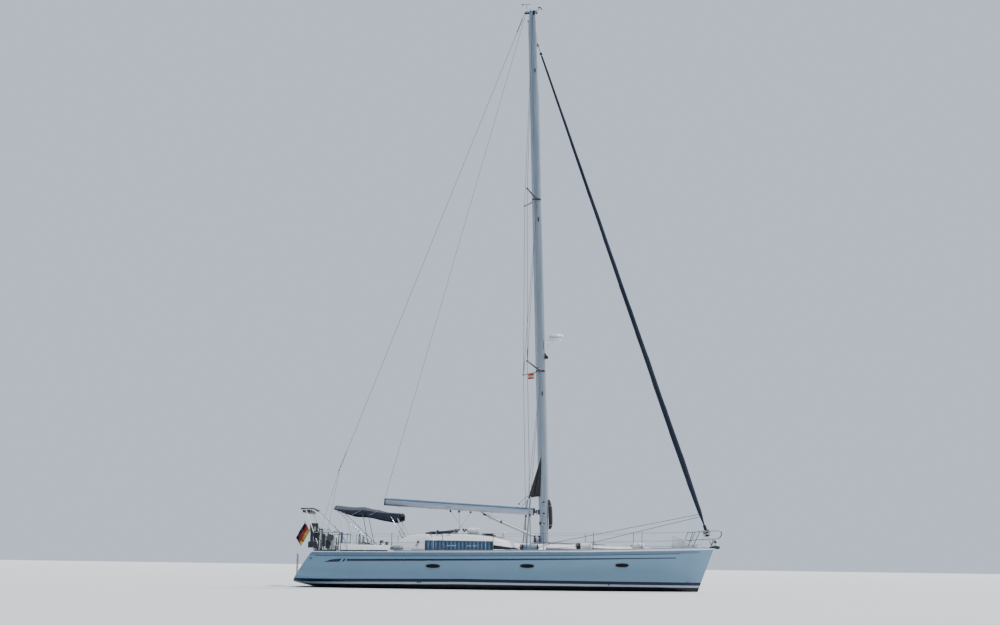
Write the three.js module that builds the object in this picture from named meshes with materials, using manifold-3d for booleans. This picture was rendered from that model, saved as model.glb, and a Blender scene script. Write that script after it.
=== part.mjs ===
// Sailing yacht: a fifteen metre cruising sloop afloat, with its rig, deck gear and moving parts.
// Millimetres, +X to the bow, +Y to port, +Z up, origin on the waterline amidships.
import * as THREE from "three";
import { mergeVertices } from "three/addons/utils/BufferGeometryUtils.js";
import Module from "manifold-3d";

const wasm = await Module();
wasm.setup();

// Hull: each row is a section that leans from its sheer point to its keel point
// Columns: sheerX, keelX, halfBeam, sheerZ, keelZ, sidePower, bottomPower
const HULL = [
  [-6610, -7318, 1815, 1222, 160, 3.0, 5.0],
  [-6200, -6500, 1885, 1224, -20, 2.8, 4.5],
  [-5500, -5600, 1985, 1230, -190, 2.5, 4.2],
  [-4500, -4500, 2090, 1240, -360, 2.2, 3.9],
  [-3000, -3000, 2200, 1255, -530, 2.0, 3.7],
  [-1500, -1500, 2245, 1277, -610, 1.9, 3.6],
  [0, 0, 2215, 1303, -620, 1.85, 3.4],
  [1500, 1500, 2095, 1335, -580, 1.8, 3.1],
  [3000, 3000, 1860, 1375, -490, 1.75, 2.7],
  [4500, 4450, 1475, 1425, -370, 1.65, 2.35],
  [5700, 5580, 1060, 1465, -250, 1.55, 2.1],
  [6600, 6330, 650, 1497, -150, 1.45, 1.95],
  [7150, 6680, 310, 1517, -90, 1.4, 1.85],
  [7475, 6860, 45, 1530, -50, 1.35, 1.8],
];
const RINGS_PER_STATION = 2;
const HULL_SIDES = 9;
const DECK_PLATE = 45;
const DECK_CAMBER = 0.032;
const SEAM = 0.4;
const SUNK = 6;

// Cockpit: a helm well, a foot well between two seats, and steps down through the transom
const HELM_WELL = { aft: -5900, fore: -4650, half: 1330, z: 700 };
const SEAT_WELL = { aft: -4660, fore: -2790, half: 1330, z: 1090 };
const FOOT_WELL = { aft: -4660, fore: -2790, half: 560, z: 700 };
// Columns: aftX, foreX, treadZ
const STEPS = [
  [-6320, -5890, 700],
  [-6720, -6310, 500],
  [-7500, -6710, 230],
];
const STEP_HALF = 420;
// Columns: x, outer half width, inner half width, topZ
const COAMING = [
  [-5950, 1650, 1345, 1400],
  [-5750, 1720, 1345, 1462],
  [-4600, 1760, 1345, 1466],
  [-3800, 1740, 1345, 1490],
  [-3640, 1732, 1345, 1640],
  [-3430, 1718, 1345, 1755],
  [-3130, 1690, 1345, 1825],
  [-2760, 1640, 1345, 1862],
  [-2580, 1615, 1345, 1800],
  [-2450, 1600, 1345, 1600],
];

// Coachroof: a raised deckhouse that runs forward into a low trunk
// Columns: x, half width at the deck, half width at the roof edge, top on the centreline
const ROOF = [
  [-2750, 1640, 1190, 1885],
  [-1500, 1560, 1170, 1912],
  [-700, 1500, 1150, 1862],
  [-250, 1470, 1130, 1800],
  [250, 1430, 1110, 1690],
  [650, 1400, 1120, 1618],
  [1700, 1290, 1110, 1600],
  [2600, 1150, 985, 1585],
  [3500, 950, 800, 1570],
  [4400, 720, 590, 1555],
  [5150, 500, 400, 1530],
];
const ROOF_WALL = 40;
const ROOF_CAMBER = 45;
const SALOON = { aft: -2705, fore: 4300, lowZ: -330, hullWall: 110 };
const COMPANIONWAY = { half: 290, sillZ: 1010, fore: -2150 };
const WASHBOARD = 25;
const SLIDE_HATCH = { aft: -2800, fore: -2128, half: 335, thick: 25, lift: 8 };
const GARAGE = { aft: -2120, fore: -1490, half: 385, inside: 50, skin: 18 };

// Side windows, columns: aftX, foreX, lowZ, highZ
// The first is open through the wall and has a pane, the others are blind recesses
const WINDOWS = [
  [-2300, -900, 1480, 1650],
  [-780, 250, 1465, 1570],
  [1680, 2480, 1425, 1500],
  [3050, 4150, 1450, 1515],
];
const PANE = 6;
const RECESS = 25;

// Deck hatches, columns: name, x, half length, half width
const HATCHES = [
  ["saloon_hatch_lid", -560, 240, 240],
  ["fore_hatch_lid", 3350, 270, 270],
];
const HATCH_CURB = 22;
const HATCH_LID = 30;

// Anchor locker under a lid that tapers forward and hinges on its port edge
const LOCKER = { aft: 6000, fore: 6900, aftHalf: 225, foreHalf: 75, z: 1090 };
const LOCKER_GAP = 6;
const LOCKER_LID = 28;
const LOCKER_OPEN = 96;
const KNUCKLE = 9;
const KNUCKLE_PLACES = [180, 660];

// Mast and its rake aft
const MAST = { x: 1445, z: 1600, length: 20040, chord: 310, width: 190, rake: 1.78 };
// Columns: name, height above the mast foot, half span, sweep in degrees, root chord, tip chord,
// and how far the tip stands above the root
const SPREADERS = [
  ["spreaders_lower", 6210, 1830, 17.6, 150, 70, 120],
  ["spreaders_upper", 12650, 1260, 18.7, 130, 60, 95],
];
const CHAINPLATE = { x: 880, y: 1960 };
const LOWER_CHAINPLATE = { x: 730, y: 1895 };
const SHROUD = 6;
const STAY = { foot: [7440, 0, 1549], head: [1000, 0, 20450], wire: 6, bore: 7 };
// Furled headsail, columns: distance along the stay, radius
const SAIL_ROLL = [
  [860, 45],
  [1500, 78],
  [3000, 105],
  [6000, 98],
  [11000, 78],
  [16000, 55],
  [19350, 36],
];
const DRUM = { from: 430, to: 640, radius: 92 };
const BACKSTAY_SPLIT = [-5937, 0, 4106];
const BACKSTAY_FOOT = { x: -6540, y: 1590 };

// Boom and rigid vang on one axis that runs along the mast
const BOOM_AXIS = { x: 1165, z: 2730 };
const BOOM = { fore: 1075, aft: -4290, high: 268, wide: 150, rise: 280 };
const VANG = { mastZ: 1835, boomX: -777 };
const PIN = 14;

// Appendages
// Columns: z, leading edge x, trailing edge x, thickness
const KEEL_FIN = [
  [-420, 1150, -1050, 260],
  [-1150, 930, -800, 230],
  [-1800, 700, -640, 200],
];
const KEEL_BULB = { fore: 1080, aft: -1120, half: 235, high: 180, z: -1830 };
const RUDDER_STOCK = { x: -5520, radius: 35, hole: 35.8, top: 300, sides: 32 };
const RUDDER = [
  [-285, -5360, -6060, 95],
  [-1000, -5370, -6000, 80],
  [-1850, -5400, -5860, 55],
];
const SAIL_DRIVE = { x: -2900, z: -960, radius: 68, fore: -2680, aft: -3114.4 };
const PROPELLER = { x: -3170, hub: 55, blade: 235, length: 110 };

// Boarding ladder, upright on two lugs at the foot of the steps
const LADDER = { x: -7300, z: 300, half: 150, tall: 830, lug: 170, tube: 12 };

// Steering wheels
const WHEEL = { x: -5060, y: 880, z: 1440, radius: 395, tube: 14, spokes: 6 };
const PEDESTAL = { aft: -5010, fore: -4800, half: 130 };
const TABLE = { aft: -4250, fore: -3350, half: 170, z: 1330 };

// Guardrails, pulpit, pushpit
const STANCHIONS = [-5400, -3870, -2140, -410, 1320, 3050, 4780];
const RAIL_INSET = 95;
const RAIL_HEIGHT = 610;
const RAIL_TUBE = 12.5;
const LIFELINE = 4;

// Bimini hood, columns: x, crown height
const BIMINI = [
  [-5870, 2850],
  [-5400, 2825],
  [-4900, 2800],
  [-4400, 2700],
  [-4000, 2640],
  [-3520, 2590],
];
const BIMINI_HALF = 1420;
const BIMINI_SKIN = 14;

// Boarding plank stowed on edge against the starboard guardrail
const GANGWAY = { aft: -2740, fore: -420, high: 350, slats: 17, inset: 198 };

// Hood roll, mainsheet track, mast bag with columns along, deep, wide, and the outboard motor
const HOOD = { roll: 56 };
const TRACK = { x: -1400, half: 760, high: 95 };
const MAST_BAG = [
  [520, 90, 110],
  [640, 150, 190],
  [1000, 165, 215],
  [1350, 140, 185],
  [1560, 80, 100],
];
const OUTBOARD = { x: -6560, y: 780, z: 1865 };

const COLOURS = {
  gelcoat: [0xe9ecee, 0.25, 0],
  deck: [0xe4e5e2, 0.4, 0],
  teak: [0x8a6a4c, 0.7, 0],
  antifoul: [0x14161c, 0.6, 0],
  spar: [0xd9dde0, 0.35, 0.6],
  steel: [0xc9ccd0, 0.2, 1],
  bronze: [0xa9895a, 0.35, 0.9],
  black: [0x17181b, 0.5, 0],
  tint: [0x1a2026, 0.1, 0],
  navy: [0x1c2742, 0.85, 0],
  blue: [0x4a6685, 0.7, 0],
  white: [0xf2f2f0, 0.45, 0],
  grey: [0x8f9aa6, 0.6, 0],
  green: [0x2c3c3a, 0.5, 0.2],
};

const MERGE = 1e-3;
const yacht = new THREE.Group();

// Solids from three.js geometry, and back
function toSolid(geometry) {
  const bare = geometry.clone();
  bare.deleteAttribute("normal");
  bare.deleteAttribute("uv");
  const merged = mergeVertices(bare, MERGE);
  const make = (index) =>
    new wasm.Manifold(
      new wasm.Mesh({
        numProp: 3,
        vertProperties: merged.attributes.position.array,
        triVerts: index,
      }),
    );
  const index = new Uint32Array(merged.index.array);
  const solid = make(index);
  return solid.volume() < 0 ? make(index.reverse()) : solid;
}

function toGeometry(solid) {
  const mesh = solid.getMesh();
  const step = mesh.numProp;
  const points = new Float32Array(mesh.numVert * 3);
  for (let i = 0; i < mesh.numVert; i++)
    points.set(mesh.vertProperties.subarray(i * step, i * step + 3), i * 3);
  const geometry = new THREE.BufferGeometry();
  geometry.setAttribute("position", new THREE.BufferAttribute(points, 3));
  geometry.setIndex(new THREE.BufferAttribute(mesh.triVerts, 1));
  geometry.computeVertexNormals();
  return geometry;
}

const join = (...solids) => solids.flat().reduce((a, b) => a.add(b));
const cut = (solid, ...tools) => tools.flat().reduce((a, b) => a.subtract(b), solid);

function addPiece(name, solid, colour, parent = yacht) {
  const [color, roughness, metalness] = COLOURS[colour];
  const material = new THREE.MeshStandardMaterial({ color, roughness, metalness });
  const mesh = new THREE.Mesh(toGeometry(solid), material);
  mesh.name = name;
  parent.add(mesh);
  return mesh;
}

function box(x0, x1, y0, y1, z0, z1) {
  const geometry = new THREE.BoxGeometry(x1 - x0, y1 - y0, z1 - z0);
  return toSolid(geometry.translate((x0 + x1) / 2, (y0 + y1) / 2, (z0 + z1) / 2));
}

// A straight rod between two points
function rod(a, b, radius, sides = 6) {
  const from = new THREE.Vector3(...a);
  const along = new THREE.Vector3(...b).sub(from);
  const geometry = new THREE.CylinderGeometry(radius, radius, along.length(), sides);
  geometry.translate(0, along.length() / 2, 0);
  const turn = new THREE.Quaternion();
  turn.setFromUnitVectors(new THREE.Vector3(0, 1, 0), along.normalize());
  return toSolid(geometry.applyQuaternion(turn).translate(...a));
}

// A bent tube through a few points
function pipe(points, radius, steps, sides = 6) {
  const path = new THREE.CatmullRomCurve3(points.map((p) => new THREE.Vector3(...p)));
  path.curveType = "centripetal";
  const corner = (i) => (2 * Math.PI * i) / sides;
  const outline = Array.from(
    { length: sides },
    (_, i) => new THREE.Vector2(radius * Math.cos(corner(i)), radius * Math.sin(corner(i))),
  );
  const shape = new THREE.Shape(outline);
  return toSolid(
    new THREE.ExtrudeGeometry(shape, { steps, bevelEnabled: false, extrudePath: path }),
  );
}

// A turned body about the Z axis from a profile of [radius, z]
function turned(profile, sides = 16) {
  const points = profile.map(([r, z]) => new THREE.Vector2(r, z));
  return toSolid(new THREE.LatheGeometry(points, sides).rotateX(Math.PI / 2));
}

// A skin over rings of equal count with flat ends, whose outlines lie along the two named axes
function loft(rings, axes) {
  const count = rings[0].length;
  const points = rings.flat(2);
  const index = [];
  for (let i = 0; i + 1 < rings.length; i++)
    for (let j = 0; j < count; j++) {
      const next = (j + 1) % count;
      const a = i * count + j;
      const b = i * count + next;
      index.push(a, b, b + count, a, b + count, a + count);
    }
  const endFaces = (ring, base, flip) => {
    const outline = ring.map((p) => new THREE.Vector2(p[axes[0]], p[axes[1]]));
    const faces = THREE.ShapeUtils.triangulateShape(outline, []);
    const area = (face) => THREE.ShapeUtils.area(face.map((k) => outline[k]));
    const total = faces.reduce((sum, face) => sum + area(face), 0);
    const same = total > 0 === THREE.ShapeUtils.area(outline) > 0;
    for (const [a, b, c] of faces) {
      const [p, q] = same === flip ? [b, c] : [c, b];
      index.push(base + a, base + p, base + q);
    }
  };
  endFaces(rings[0], 0, false);
  endFaces(rings.at(-1), (rings.length - 1) * count, true);
  const geometry = new THREE.BufferGeometry();
  geometry.setAttribute("position", new THREE.Float32BufferAttribute(points, 3));
  geometry.setIndex(index);
  return toSolid(geometry);
}

const mirrored = (ring) => [...ring, ...ring.map(([x, y, z]) => [x, -y, z]).reverse()];
const mirrorY = (solid) => solid.mirror([0, 1, 0]);
const lift = (solid, dz) => solid.translate([0, 0, dz]);

// Smooth values between the rows of a table
function between(rows, t) {
  const i = Math.min(Math.floor(t), rows.length - 2);
  const u = t - i;
  const row = (k) => rows[Math.max(0, Math.min(rows.length - 1, k))];
  return rows[i].map((_, c) => {
    const [a, b, d, e] = [row(i - 1)[c], row(i)[c], row(i + 1)[c], row(i + 2)[c]];
    const slope0 = (d - a) / 2;
    const slope1 = (e - b) / 2;
    const rise = d - b;
    return b + u * (slope0 + u * (3 * rise - 2 * slope0 - slope1 + u * (slope0 + slope1 - 2 * rise)));
  });
}

// Values in a table at a given x, with straight lines between its rows
function atX(rows, x) {
  const i = Math.max(0, Math.min(rows.length - 2, rows.findLastIndex((r) => r[0] <= x)));
  const share = (x - rows[i][0]) / (rows[i + 1][0] - rows[i][0]);
  return rows[i].map((value, c) => value + share * (rows[i + 1][c] - value));
}

const HULL_STEPS = Array.from(
  { length: (HULL.length - 1) * RINGS_PER_STATION + 1 },
  (_, i) => i / RINGS_PER_STATION,
);

function hullRing(t, topDrop, inset = 0) {
  const [sheerX, keelX, halfBeam, sheerZ, keelZ, sidePower, bottomPower] = between(HULL, t);
  const depth = sheerZ - keelZ;
  const inner = depth - inset;
  const first = Math.asin((topDrop / inner) ** (bottomPower / 2));
  const side = [];
  for (let j = 0; j <= HULL_SIDES; j++) {
    const angle = first + ((Math.PI / 2 - first) * j) / HULL_SIDES;
    const drop = inner * Math.sin(angle) ** (2 / bottomPower);
    const y = j < HULL_SIDES ? (halfBeam - inset) * Math.cos(angle) ** (2 / sidePower) : 0;
    side.push([sheerX + ((keelX - sheerX) * drop) / depth, Math.max(y, 0), sheerZ - drop]);
  }
  const other = side.slice(0, -1).map(([x, y, z]) => [x, -y, z]);
  return [...side, ...other.reverse()];
}

// Sheer and beam at a given x, and the deck's height there
const SHEER = HULL_STEPS.map((t) => {
  const [x, , halfBeam, z] = between(HULL, t);
  return [x, halfBeam, z];
});
const deckZ = (x, y = 0) => {
  const [, half, z] = atX(SHEER, x);
  return z + DECK_CAMBER * half * (1 - Math.min(1, (y / half) ** 2));
};
const deckEdge = (x) => atX(SHEER, x)[1];

function deckPlate() {
  const across = [1, 0.75, 0.5, 0.25];
  const rings = HULL_STEPS.map((t) => {
    const [sheerX, keelX, half, z, keelZ] = between(HULL, t);
    const lowX = sheerX + ((keelX - sheerX) * (DECK_PLATE - SEAM)) / (z - keelZ);
    const low = z - DECK_PLATE + SEAM;
    const top = (s) => [sheerX, s * half, z + DECK_CAMBER * half * (1 - s * s)];
    const port = across.map(top);
    const starboard = across.map((s) => top(-s)).reverse();
    return [[lowX, half, low], ...port, top(0), ...starboard, [lowX, -half, low]];
  });
  return loft(rings, [1, 2]);
}

// Port half of the deckhouse's outline at x, drawn in by a wall thickness
function roofRing(x, wall, lowZ) {
  const { foot, high, base, edge, top, camber } = roofSide(x, wall);
  const low = lowZ ?? foot - 15;
  const arch = (s) => [x, s * edge, top - camber * s * s];
  return [
    [x, 0, low],
    [x, base, low],
    [x, base, foot],
    [x, edge + 30, high],
    arch(0.97),
    arch(0.5),
    [x, 0, top],
  ];
}

function roofSide(x, wall) {
  const [, base, edge, top] = atX(ROOF, x);
  const foot = deckZ(x, base) - 10;
  const rise = top - wall - foot;
  return {
    foot,
    high: foot + rise - Math.min(2 * ROOF_CAMBER, rise / 2),
    base: base - wall,
    edge: edge - wall,
    top: top - wall,
    camber: Math.min(ROOF_CAMBER, rise / 5),
  };
}

const roofPlaces = (from, to) => {
  const inside = ROOF.map((row) => row[0]).filter((x) => x > from && x < to);
  return [from, ...inside, to];
};

function roofBody(wall, lowZ, from, to) {
  const half = loft(roofPlaces(from, to).map((x) => roofRing(x, wall, lowZ)), [1, 2]);
  return join(half, mirrorY(half));
}

function coamingBody() {
  const rings = COAMING.map(([x, outer, inner, top]) => {
    const low = deckZ(x, outer) - 30;
    return [
      [x, inner, low],
      [x, outer, low],
      [x, outer - 90, top - 25],
      [x, outer - 130, top],
      [x, inner + 25, top],
      [x, inner, top - 20],
    ];
  });
  return loft(rings, [1, 2]);
}

const wellBox = (w, top) => box(w.aft, w.fore, -w.half, w.half, w.z, top);

function cockpitCuts() {
  const steps = STEPS.map(([aft, fore, z]) => box(aft, fore, -STEP_HALF, STEP_HALF, z, 2600));
  return [wellBox(HELM_WELL, 2600), wellBox(SEAT_WELL, 2600), wellBox(FOOT_WELL, 2600), ...steps];
}

// Outline of the anchor locker, grown by a margin, as a prism
function lockerPrism(margin, low, high) {
  const half = (x) => {
    const share = (x - LOCKER.aft) / (LOCKER.fore - LOCKER.aft);
    return LOCKER.aftHalf + share * (LOCKER.foreHalf - LOCKER.aftHalf) + margin;
  };
  const ends = [LOCKER.aft - margin, LOCKER.fore + margin];
  const rings = ends.map((x) => {
    const side = [
      [x, half(x), low(x)],
      [x, half(x), high(x)],
    ];
    return mirrored(side);
  });
  return loft(rings, [1, 2]);
}

const hatchSlope = (x, half) => {
  const [aft, fore] = [atX(ROOF, x - half)[3], atX(ROOF, x + half)[3]];
  return Math.atan2(fore - aft, 2 * half);
};

// A frame on the roof at a hatch: +Z off the roof, origin at the hatch's centre on its seat
function hatchMatrix(x, half) {
  const z = (atX(ROOF, x - half)[3] + atX(ROOF, x + half)[3]) / 2 + HATCH_CURB;
  const matrix = new THREE.Matrix4().makeRotationY(-hatchSlope(x, half));
  return matrix.setPosition(x, 0, z);
}

const inFrame = (solid, matrix) => solid.transform(matrix.elements);

function hatchCurb(x, halfLength, halfWidth) {
  const curb = box(-halfLength, halfLength, -halfWidth, halfWidth, -90, 0);
  return inFrame(curb, hatchMatrix(x, halfLength));
}

function hatchHole(x, halfLength, halfWidth) {
  const hole = box(-halfLength + 45, halfLength - 45, -halfWidth + 45, halfWidth - 45, -160, 40);
  return inFrame(hole, hatchMatrix(x, halfLength));
}

function garageBody() {
  const z = atX(ROOF, GARAGE.aft)[3];
  const rise = GARAGE.inside + GARAGE.skin;
  const outer = box(GARAGE.aft, GARAGE.fore, -GARAGE.half, GARAGE.half, z - 60, z + rise);
  const inner = box(
    GARAGE.aft - 10,
    GARAGE.fore - GARAGE.skin,
    -GARAGE.half + GARAGE.skin,
    GARAGE.half - GARAGE.skin,
    z + 2,
    z + GARAGE.inside,
  );
  return { outer, inner };
}

function mastStep() {
  return box(MAST.x - 190, MAST.x + 190, -130, 130, MAST.z - 60, MAST.z + 6);
}

function doorway() {
  const { half, sillZ, fore } = COMPANIONWAY;
  return box(ROOF[0][0] - 60, fore, -half, half, sillZ, ROOF[0][3] + 120);
}

function makeDeck() {
  const garage = garageBody();
  const curbs = HATCHES.map(([, x, l, w]) => hatchCurb(x, l, w));
  const coaming = coamingBody();
  const shell = join(
    deckPlate(),
    roofBody(0, null, ROOF[0][0], ROOF.at(-1)[0]),
    coaming,
    mirrorY(coaming),
    mastStep(),
    garage.outer,
    curbs,
  );
  const open = cut(
    shell,
    roofBody(ROOF_WALL, 900, SALOON.aft, SALOON.fore),
    garage.inner,
    doorway(),
    windowCuts(),
    cockpitCuts(),
    lockerPrism(LOCKER_GAP, () => LOCKER.z, (x) => deckZ(x) + 80),
    HATCHES.map(([, x, l, w]) => hatchHole(x, l, w)),
  );
  return join(open, slideRails(), inFrame(join(knuckles(-1)), lockerHinge()));
}

function windowCuts() {
  const [open, ...blind] = WINDOWS.map(([aft, fore, low, high]) =>
    box(aft, fore, 300, 2000, low, high),
  );
  const behind = roofBody(RECESS, null, ROOF[0][0], ROOF.at(-1)[0]);
  const holes = [open, ...blind.map((hole) => cut(hole, behind))];
  return [...holes, ...holes.map(mirrorY)];
}

// Rails under the sides of the sliding hatch, on into its garage
function slideRails() {
  const { aft, half, lift: up } = SLIDE_HATCH;
  const top = slideHatchZ() - SEAM;
  const one = box(aft + 52, GARAGE.fore - GARAGE.skin, half - 25, half, top - up - 30, top);
  return [one, mirrorY(one)];
}

const slideHatchZ = () => atX(ROOF, SLIDE_HATCH.fore)[3] + SLIDE_HATCH.lift;

// The locker hinge's frame: +X along the pin, +Z off the deck
function lockerHinge() {
  const at = (x, y) => new THREE.Vector3(x, y, lockerTop(x));
  const from = at(LOCKER.aft, LOCKER.aftHalf);
  const along = at(LOCKER.fore, LOCKER.foreHalf).sub(from).normalize();
  const side = new THREE.Vector3(0, 0, 1).cross(along).normalize();
  const up = along.clone().cross(side);
  const frame = new THREE.Matrix4().makeBasis(along, side, up);
  return frame.setPosition(from.addScaledVector(up, KNUCKLE));
}

const lockerTop = (x) => deckZ(x, 200) - 1;

// Hinge knuckles and their leaves: side 1 lies on the lid, side -1 on the deck
function knuckles(side) {
  return KNUCKLE_PLACES.flatMap((s) => {
    const [from, to] = side > 0 ? [s + 0.5, s + 30] : [s - 30, s];
    const [y0, y1] = side > 0 ? [-40, 0] : [2 * SEAM, 46];
    return [
      rod([from, 0, 0], [to, 0, 0], KNUCKLE - 0.5, 10),
      box(from, to, y0, y1, -KNUCKLE - (side > 0 ? 2 : 6), -4),
    ];
  });
}

function makeHull() {
  const body = loft(HULL_STEPS.map((t) => hullRing(t, DECK_PLATE)), [1, 2]);
  const innerRings = HULL_STEPS.slice(2, -4).map((t) => hullRing(t, 1, SALOON.hullWall));
  const inside = loft(innerRings, [1, 2]).intersect(
    box(SALOON.aft, SALOON.fore, -1320, 1320, SALOON.lowZ, 3000),
  );
  const stockHole = rod(
    [RUDDER_STOCK.x, 0, -600],
    [RUDDER_STOCK.x, 0, RUDDER_STOCK.top + 6],
    RUDDER_STOCK.hole,
    RUDDER_STOCK.sides,
  );
  const locker = lockerPrism(LOCKER_GAP, () => LOCKER.z, (x) => deckZ(x) + 80);
  const hull = cut(body, inside, cockpitCuts(), doorway(), stockHole, locker);
  return { body, hull: join(hull, ladderLugs()) };
}

function toeRail() {
  const span = HULL_STEPS.filter((t) => t >= 1 && t <= HULL.length - 1.5);
  const rings = span.map((t) => {
    const [x, , half, z] = between(HULL, t);
    const at = (y, up) => [x, half - y, z + DECK_CAMBER * 2 * y + up];
    return [at(8, 0.6), at(8, 50), at(38, 50), at(48, 0.6)];
  });
  return loft(rings, [1, 2]);
}

// A streamlined section from leading to trailing edge
function foilRing(z, lead, trail, thick) {
  const shape = [
    [0, 0],
    [0.06, 0.36],
    [0.3, 0.5],
    [0.65, 0.34],
    [1, 0.03],
  ];
  const side = shape.map(([s, w]) => [lead + s * (trail - lead), w * thick, z]);
  const other = side.slice(1).map(([x, y, h]) => [x, -y, h]);
  return [...side, ...other.reverse()];
}

const foil = (rows) => loft(rows.map((r) => foilRing(...r)), [0, 1]);

function makeKeel(hullBody) {
  const { fore, aft, half, high, z } = KEEL_BULB;
  const shares = [0, 0.05, 0.2, 0.4, 0.65, 0.88, 1];
  const rings = shares.map((s) => {
    const size = Math.max(0.06, Math.sqrt(Math.sin(Math.PI * s ** 0.8)));
    return Array.from({ length: 12 }, (_, i) => {
      const angle = (i * Math.PI) / 6;
      return [
        fore + s * (aft - fore),
        half * size * Math.cos(angle),
        z + high * size * Math.sin(angle),
      ];
    });
  });
  const keel = join(foil(KEEL_FIN), loft(rings, [1, 2]));
  return cut(keel, lift(hullBody, -SEAM));
}

function makeRudder() {
  const { x, radius, top, sides } = RUDDER_STOCK;
  return join(foil(RUDDER), rod([x, 0, RUDDER[0][0] - 60], [x, 0, top], radius, sides));
}

function makeDrive(hullBody) {
  const { x, z, radius, fore, aft } = SAIL_DRIVE;
  const leg = foil([
    [-430, x + 190, x - 150, 120],
    [z, x + 150, x - 110, 100],
  ]);
  const shares = [0, 0.08, 0.3, 0.75, 1];
  const rings = shares.map((s) => {
    const size = [0.15, 0.62, 1, 1, 0.8][shares.indexOf(s)];
    return Array.from({ length: 10 }, (_, i) => {
      const angle = (i * Math.PI) / 5;
      return [
        fore + s * (aft - fore),
        radius * size * Math.cos(angle),
        z + radius * size * Math.sin(angle),
      ];
    });
  });
  return cut(join(leg, loft(rings, [1, 2])), lift(hullBody, -SEAM));
}

function makePropeller() {
  const { hub, blade, length } = PROPELLER;
  const body = turned([
    [0, -length / 2 - 30],
    [hub * 0.5, -length / 2 - 20],
    [hub * 0.9, -length / 4],
    [hub, length / 2],
    [0, length / 2],
  ]);
  const outline = new THREE.Shape();
  outline.moveTo(hub * 0.6, -28);
  outline.quadraticCurveTo(blade * 0.6, -85, blade, -30);
  outline.quadraticCurveTo(blade * 1.05, 20, blade * 0.8, 58);
  outline.quadraticCurveTo(blade * 0.5, 70, hub * 0.6, 28);
  const plate = new THREE.ExtrudeGeometry(outline, {
    depth: 8,
    bevelEnabled: false,
    curveSegments: 4,
  });
  const one = toSolid(plate.translate(0, 0, -4)).rotate([32, 0, 0]);
  return join(body, [0, 120, 240].map((a) => one.rotate([0, 0, a])));
}

const RAKE = THREE.MathUtils.degToRad(MAST.rake);
const mastMatrix = new THREE.Matrix4().makeRotationY(-RAKE).setPosition(MAST.x, 0, MAST.z);
const onMast = (along, out = 0, side = 0) =>
  new THREE.Vector3(out, side, along).applyMatrix4(mastMatrix).toArray();
const mastHeight = (z) => (z - MAST.z) / Math.cos(RAKE);

function ovalRing(along, chord, width, count = 16) {
  return Array.from({ length: count }, (_, i) => {
    const angle = ((i + 0.5) * 2 * Math.PI) / count;
    const squared = (v) => Math.sign(v) * Math.abs(v) ** 0.85;
    return [
      (chord / 2) * squared(Math.cos(angle)),
      (width / 2) * squared(Math.sin(angle)),
      along,
    ];
  });
}

// A pair of lugs with a pin between them, for a fitting that swings about the boom's axis
function pinLugs(along, half) {
  const reach = MAST.chord / 2 - 12;
  const axisOut = boomAxisOut();
  const lug = (z) => box(axisOut - 26, -reach, -34, 34, z - 7, z + 7);
  const pin = rod([axisOut, 0, along - half - 4], [axisOut, 0, along + half + 4], PIN, 12);
  return [lug(along - half - 7), lug(along + half + 7), pin];
}

// The boom axis lies this far out from the mast's centre line, in the mast's own frame
function boomAxisOut() {
  const inverse = mastMatrix.clone().invert();
  return new THREE.Vector3(BOOM_AXIS.x, 0, BOOM_AXIS.z).applyMatrix4(inverse).x;
}

function makeMast(deck) {
  const { length, chord, width } = MAST;
  const tube = loft([ovalRing(-20, chord, width), ovalRing(length, chord, width)], [0, 1]);
  const crane = box(-305, 200, -45, 45, length - 30, length + 22);
  const gooseneck = pinLugs(mastHeight(BOOM_AXIS.z), 75);
  const vangFoot = pinLugs(mastHeight(VANG.mastZ), 40);
  const mast = join(tube, crane, gooseneck, vangFoot);
  return cut(inFrame(mast, mastMatrix), lift(deck, SEAM));
}

function makeSpreaders(along, span, sweep, rootChord, tipChord, rise) {
  const { chord, width } = MAST;
  const back = Math.tan(THREE.MathUtils.degToRad(sweep));
  const root = width / 2 + 6;
  const ring = (y, c, thick) => {
    const centre = -back * (y - root);
    const up = along + (rise * (y - root)) / (span - root);
    const shape = [
      [-0.5, 0],
      [-0.2, 0.5],
      [0.3, 0.42],
      [0.5, 0],
      [0.3, -0.42],
      [-0.2, -0.5],
    ];
    return shape.map(([u, v]) => [centre + u * c, y, up + v * thick]);
  };
  const arm = loft([ring(root, rootChord, 42), ring(span, tipChord, 26)], [0, 2]);
  const band = (c, w) => ovalRing(0, c, w);
  const at = (ringPoints, dz) => ringPoints.map(([x, y]) => [x, y, along + dz]);
  const outer = band(chord + 28, width + 28);
  const inner = band(chord + 1.2, width + 1.2);
  const collar = cut(
    loft([at(outer, -32), at(outer, 32)], [0, 1]),
    loft([at(inner, -60), at(inner, 60)], [0, 1]),
  );
  return inFrame(join(arm, mirrorY(arm), collar), mastMatrix);
}

function spreaderTip(row, beyond) {
  const [, along, span, sweep, , , rise] = row;
  const back = Math.tan(THREE.MathUtils.degToRad(sweep)) * (span - MAST.width / 2 - 6);
  return onMast(along + rise, -back, span + beyond);
}

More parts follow.
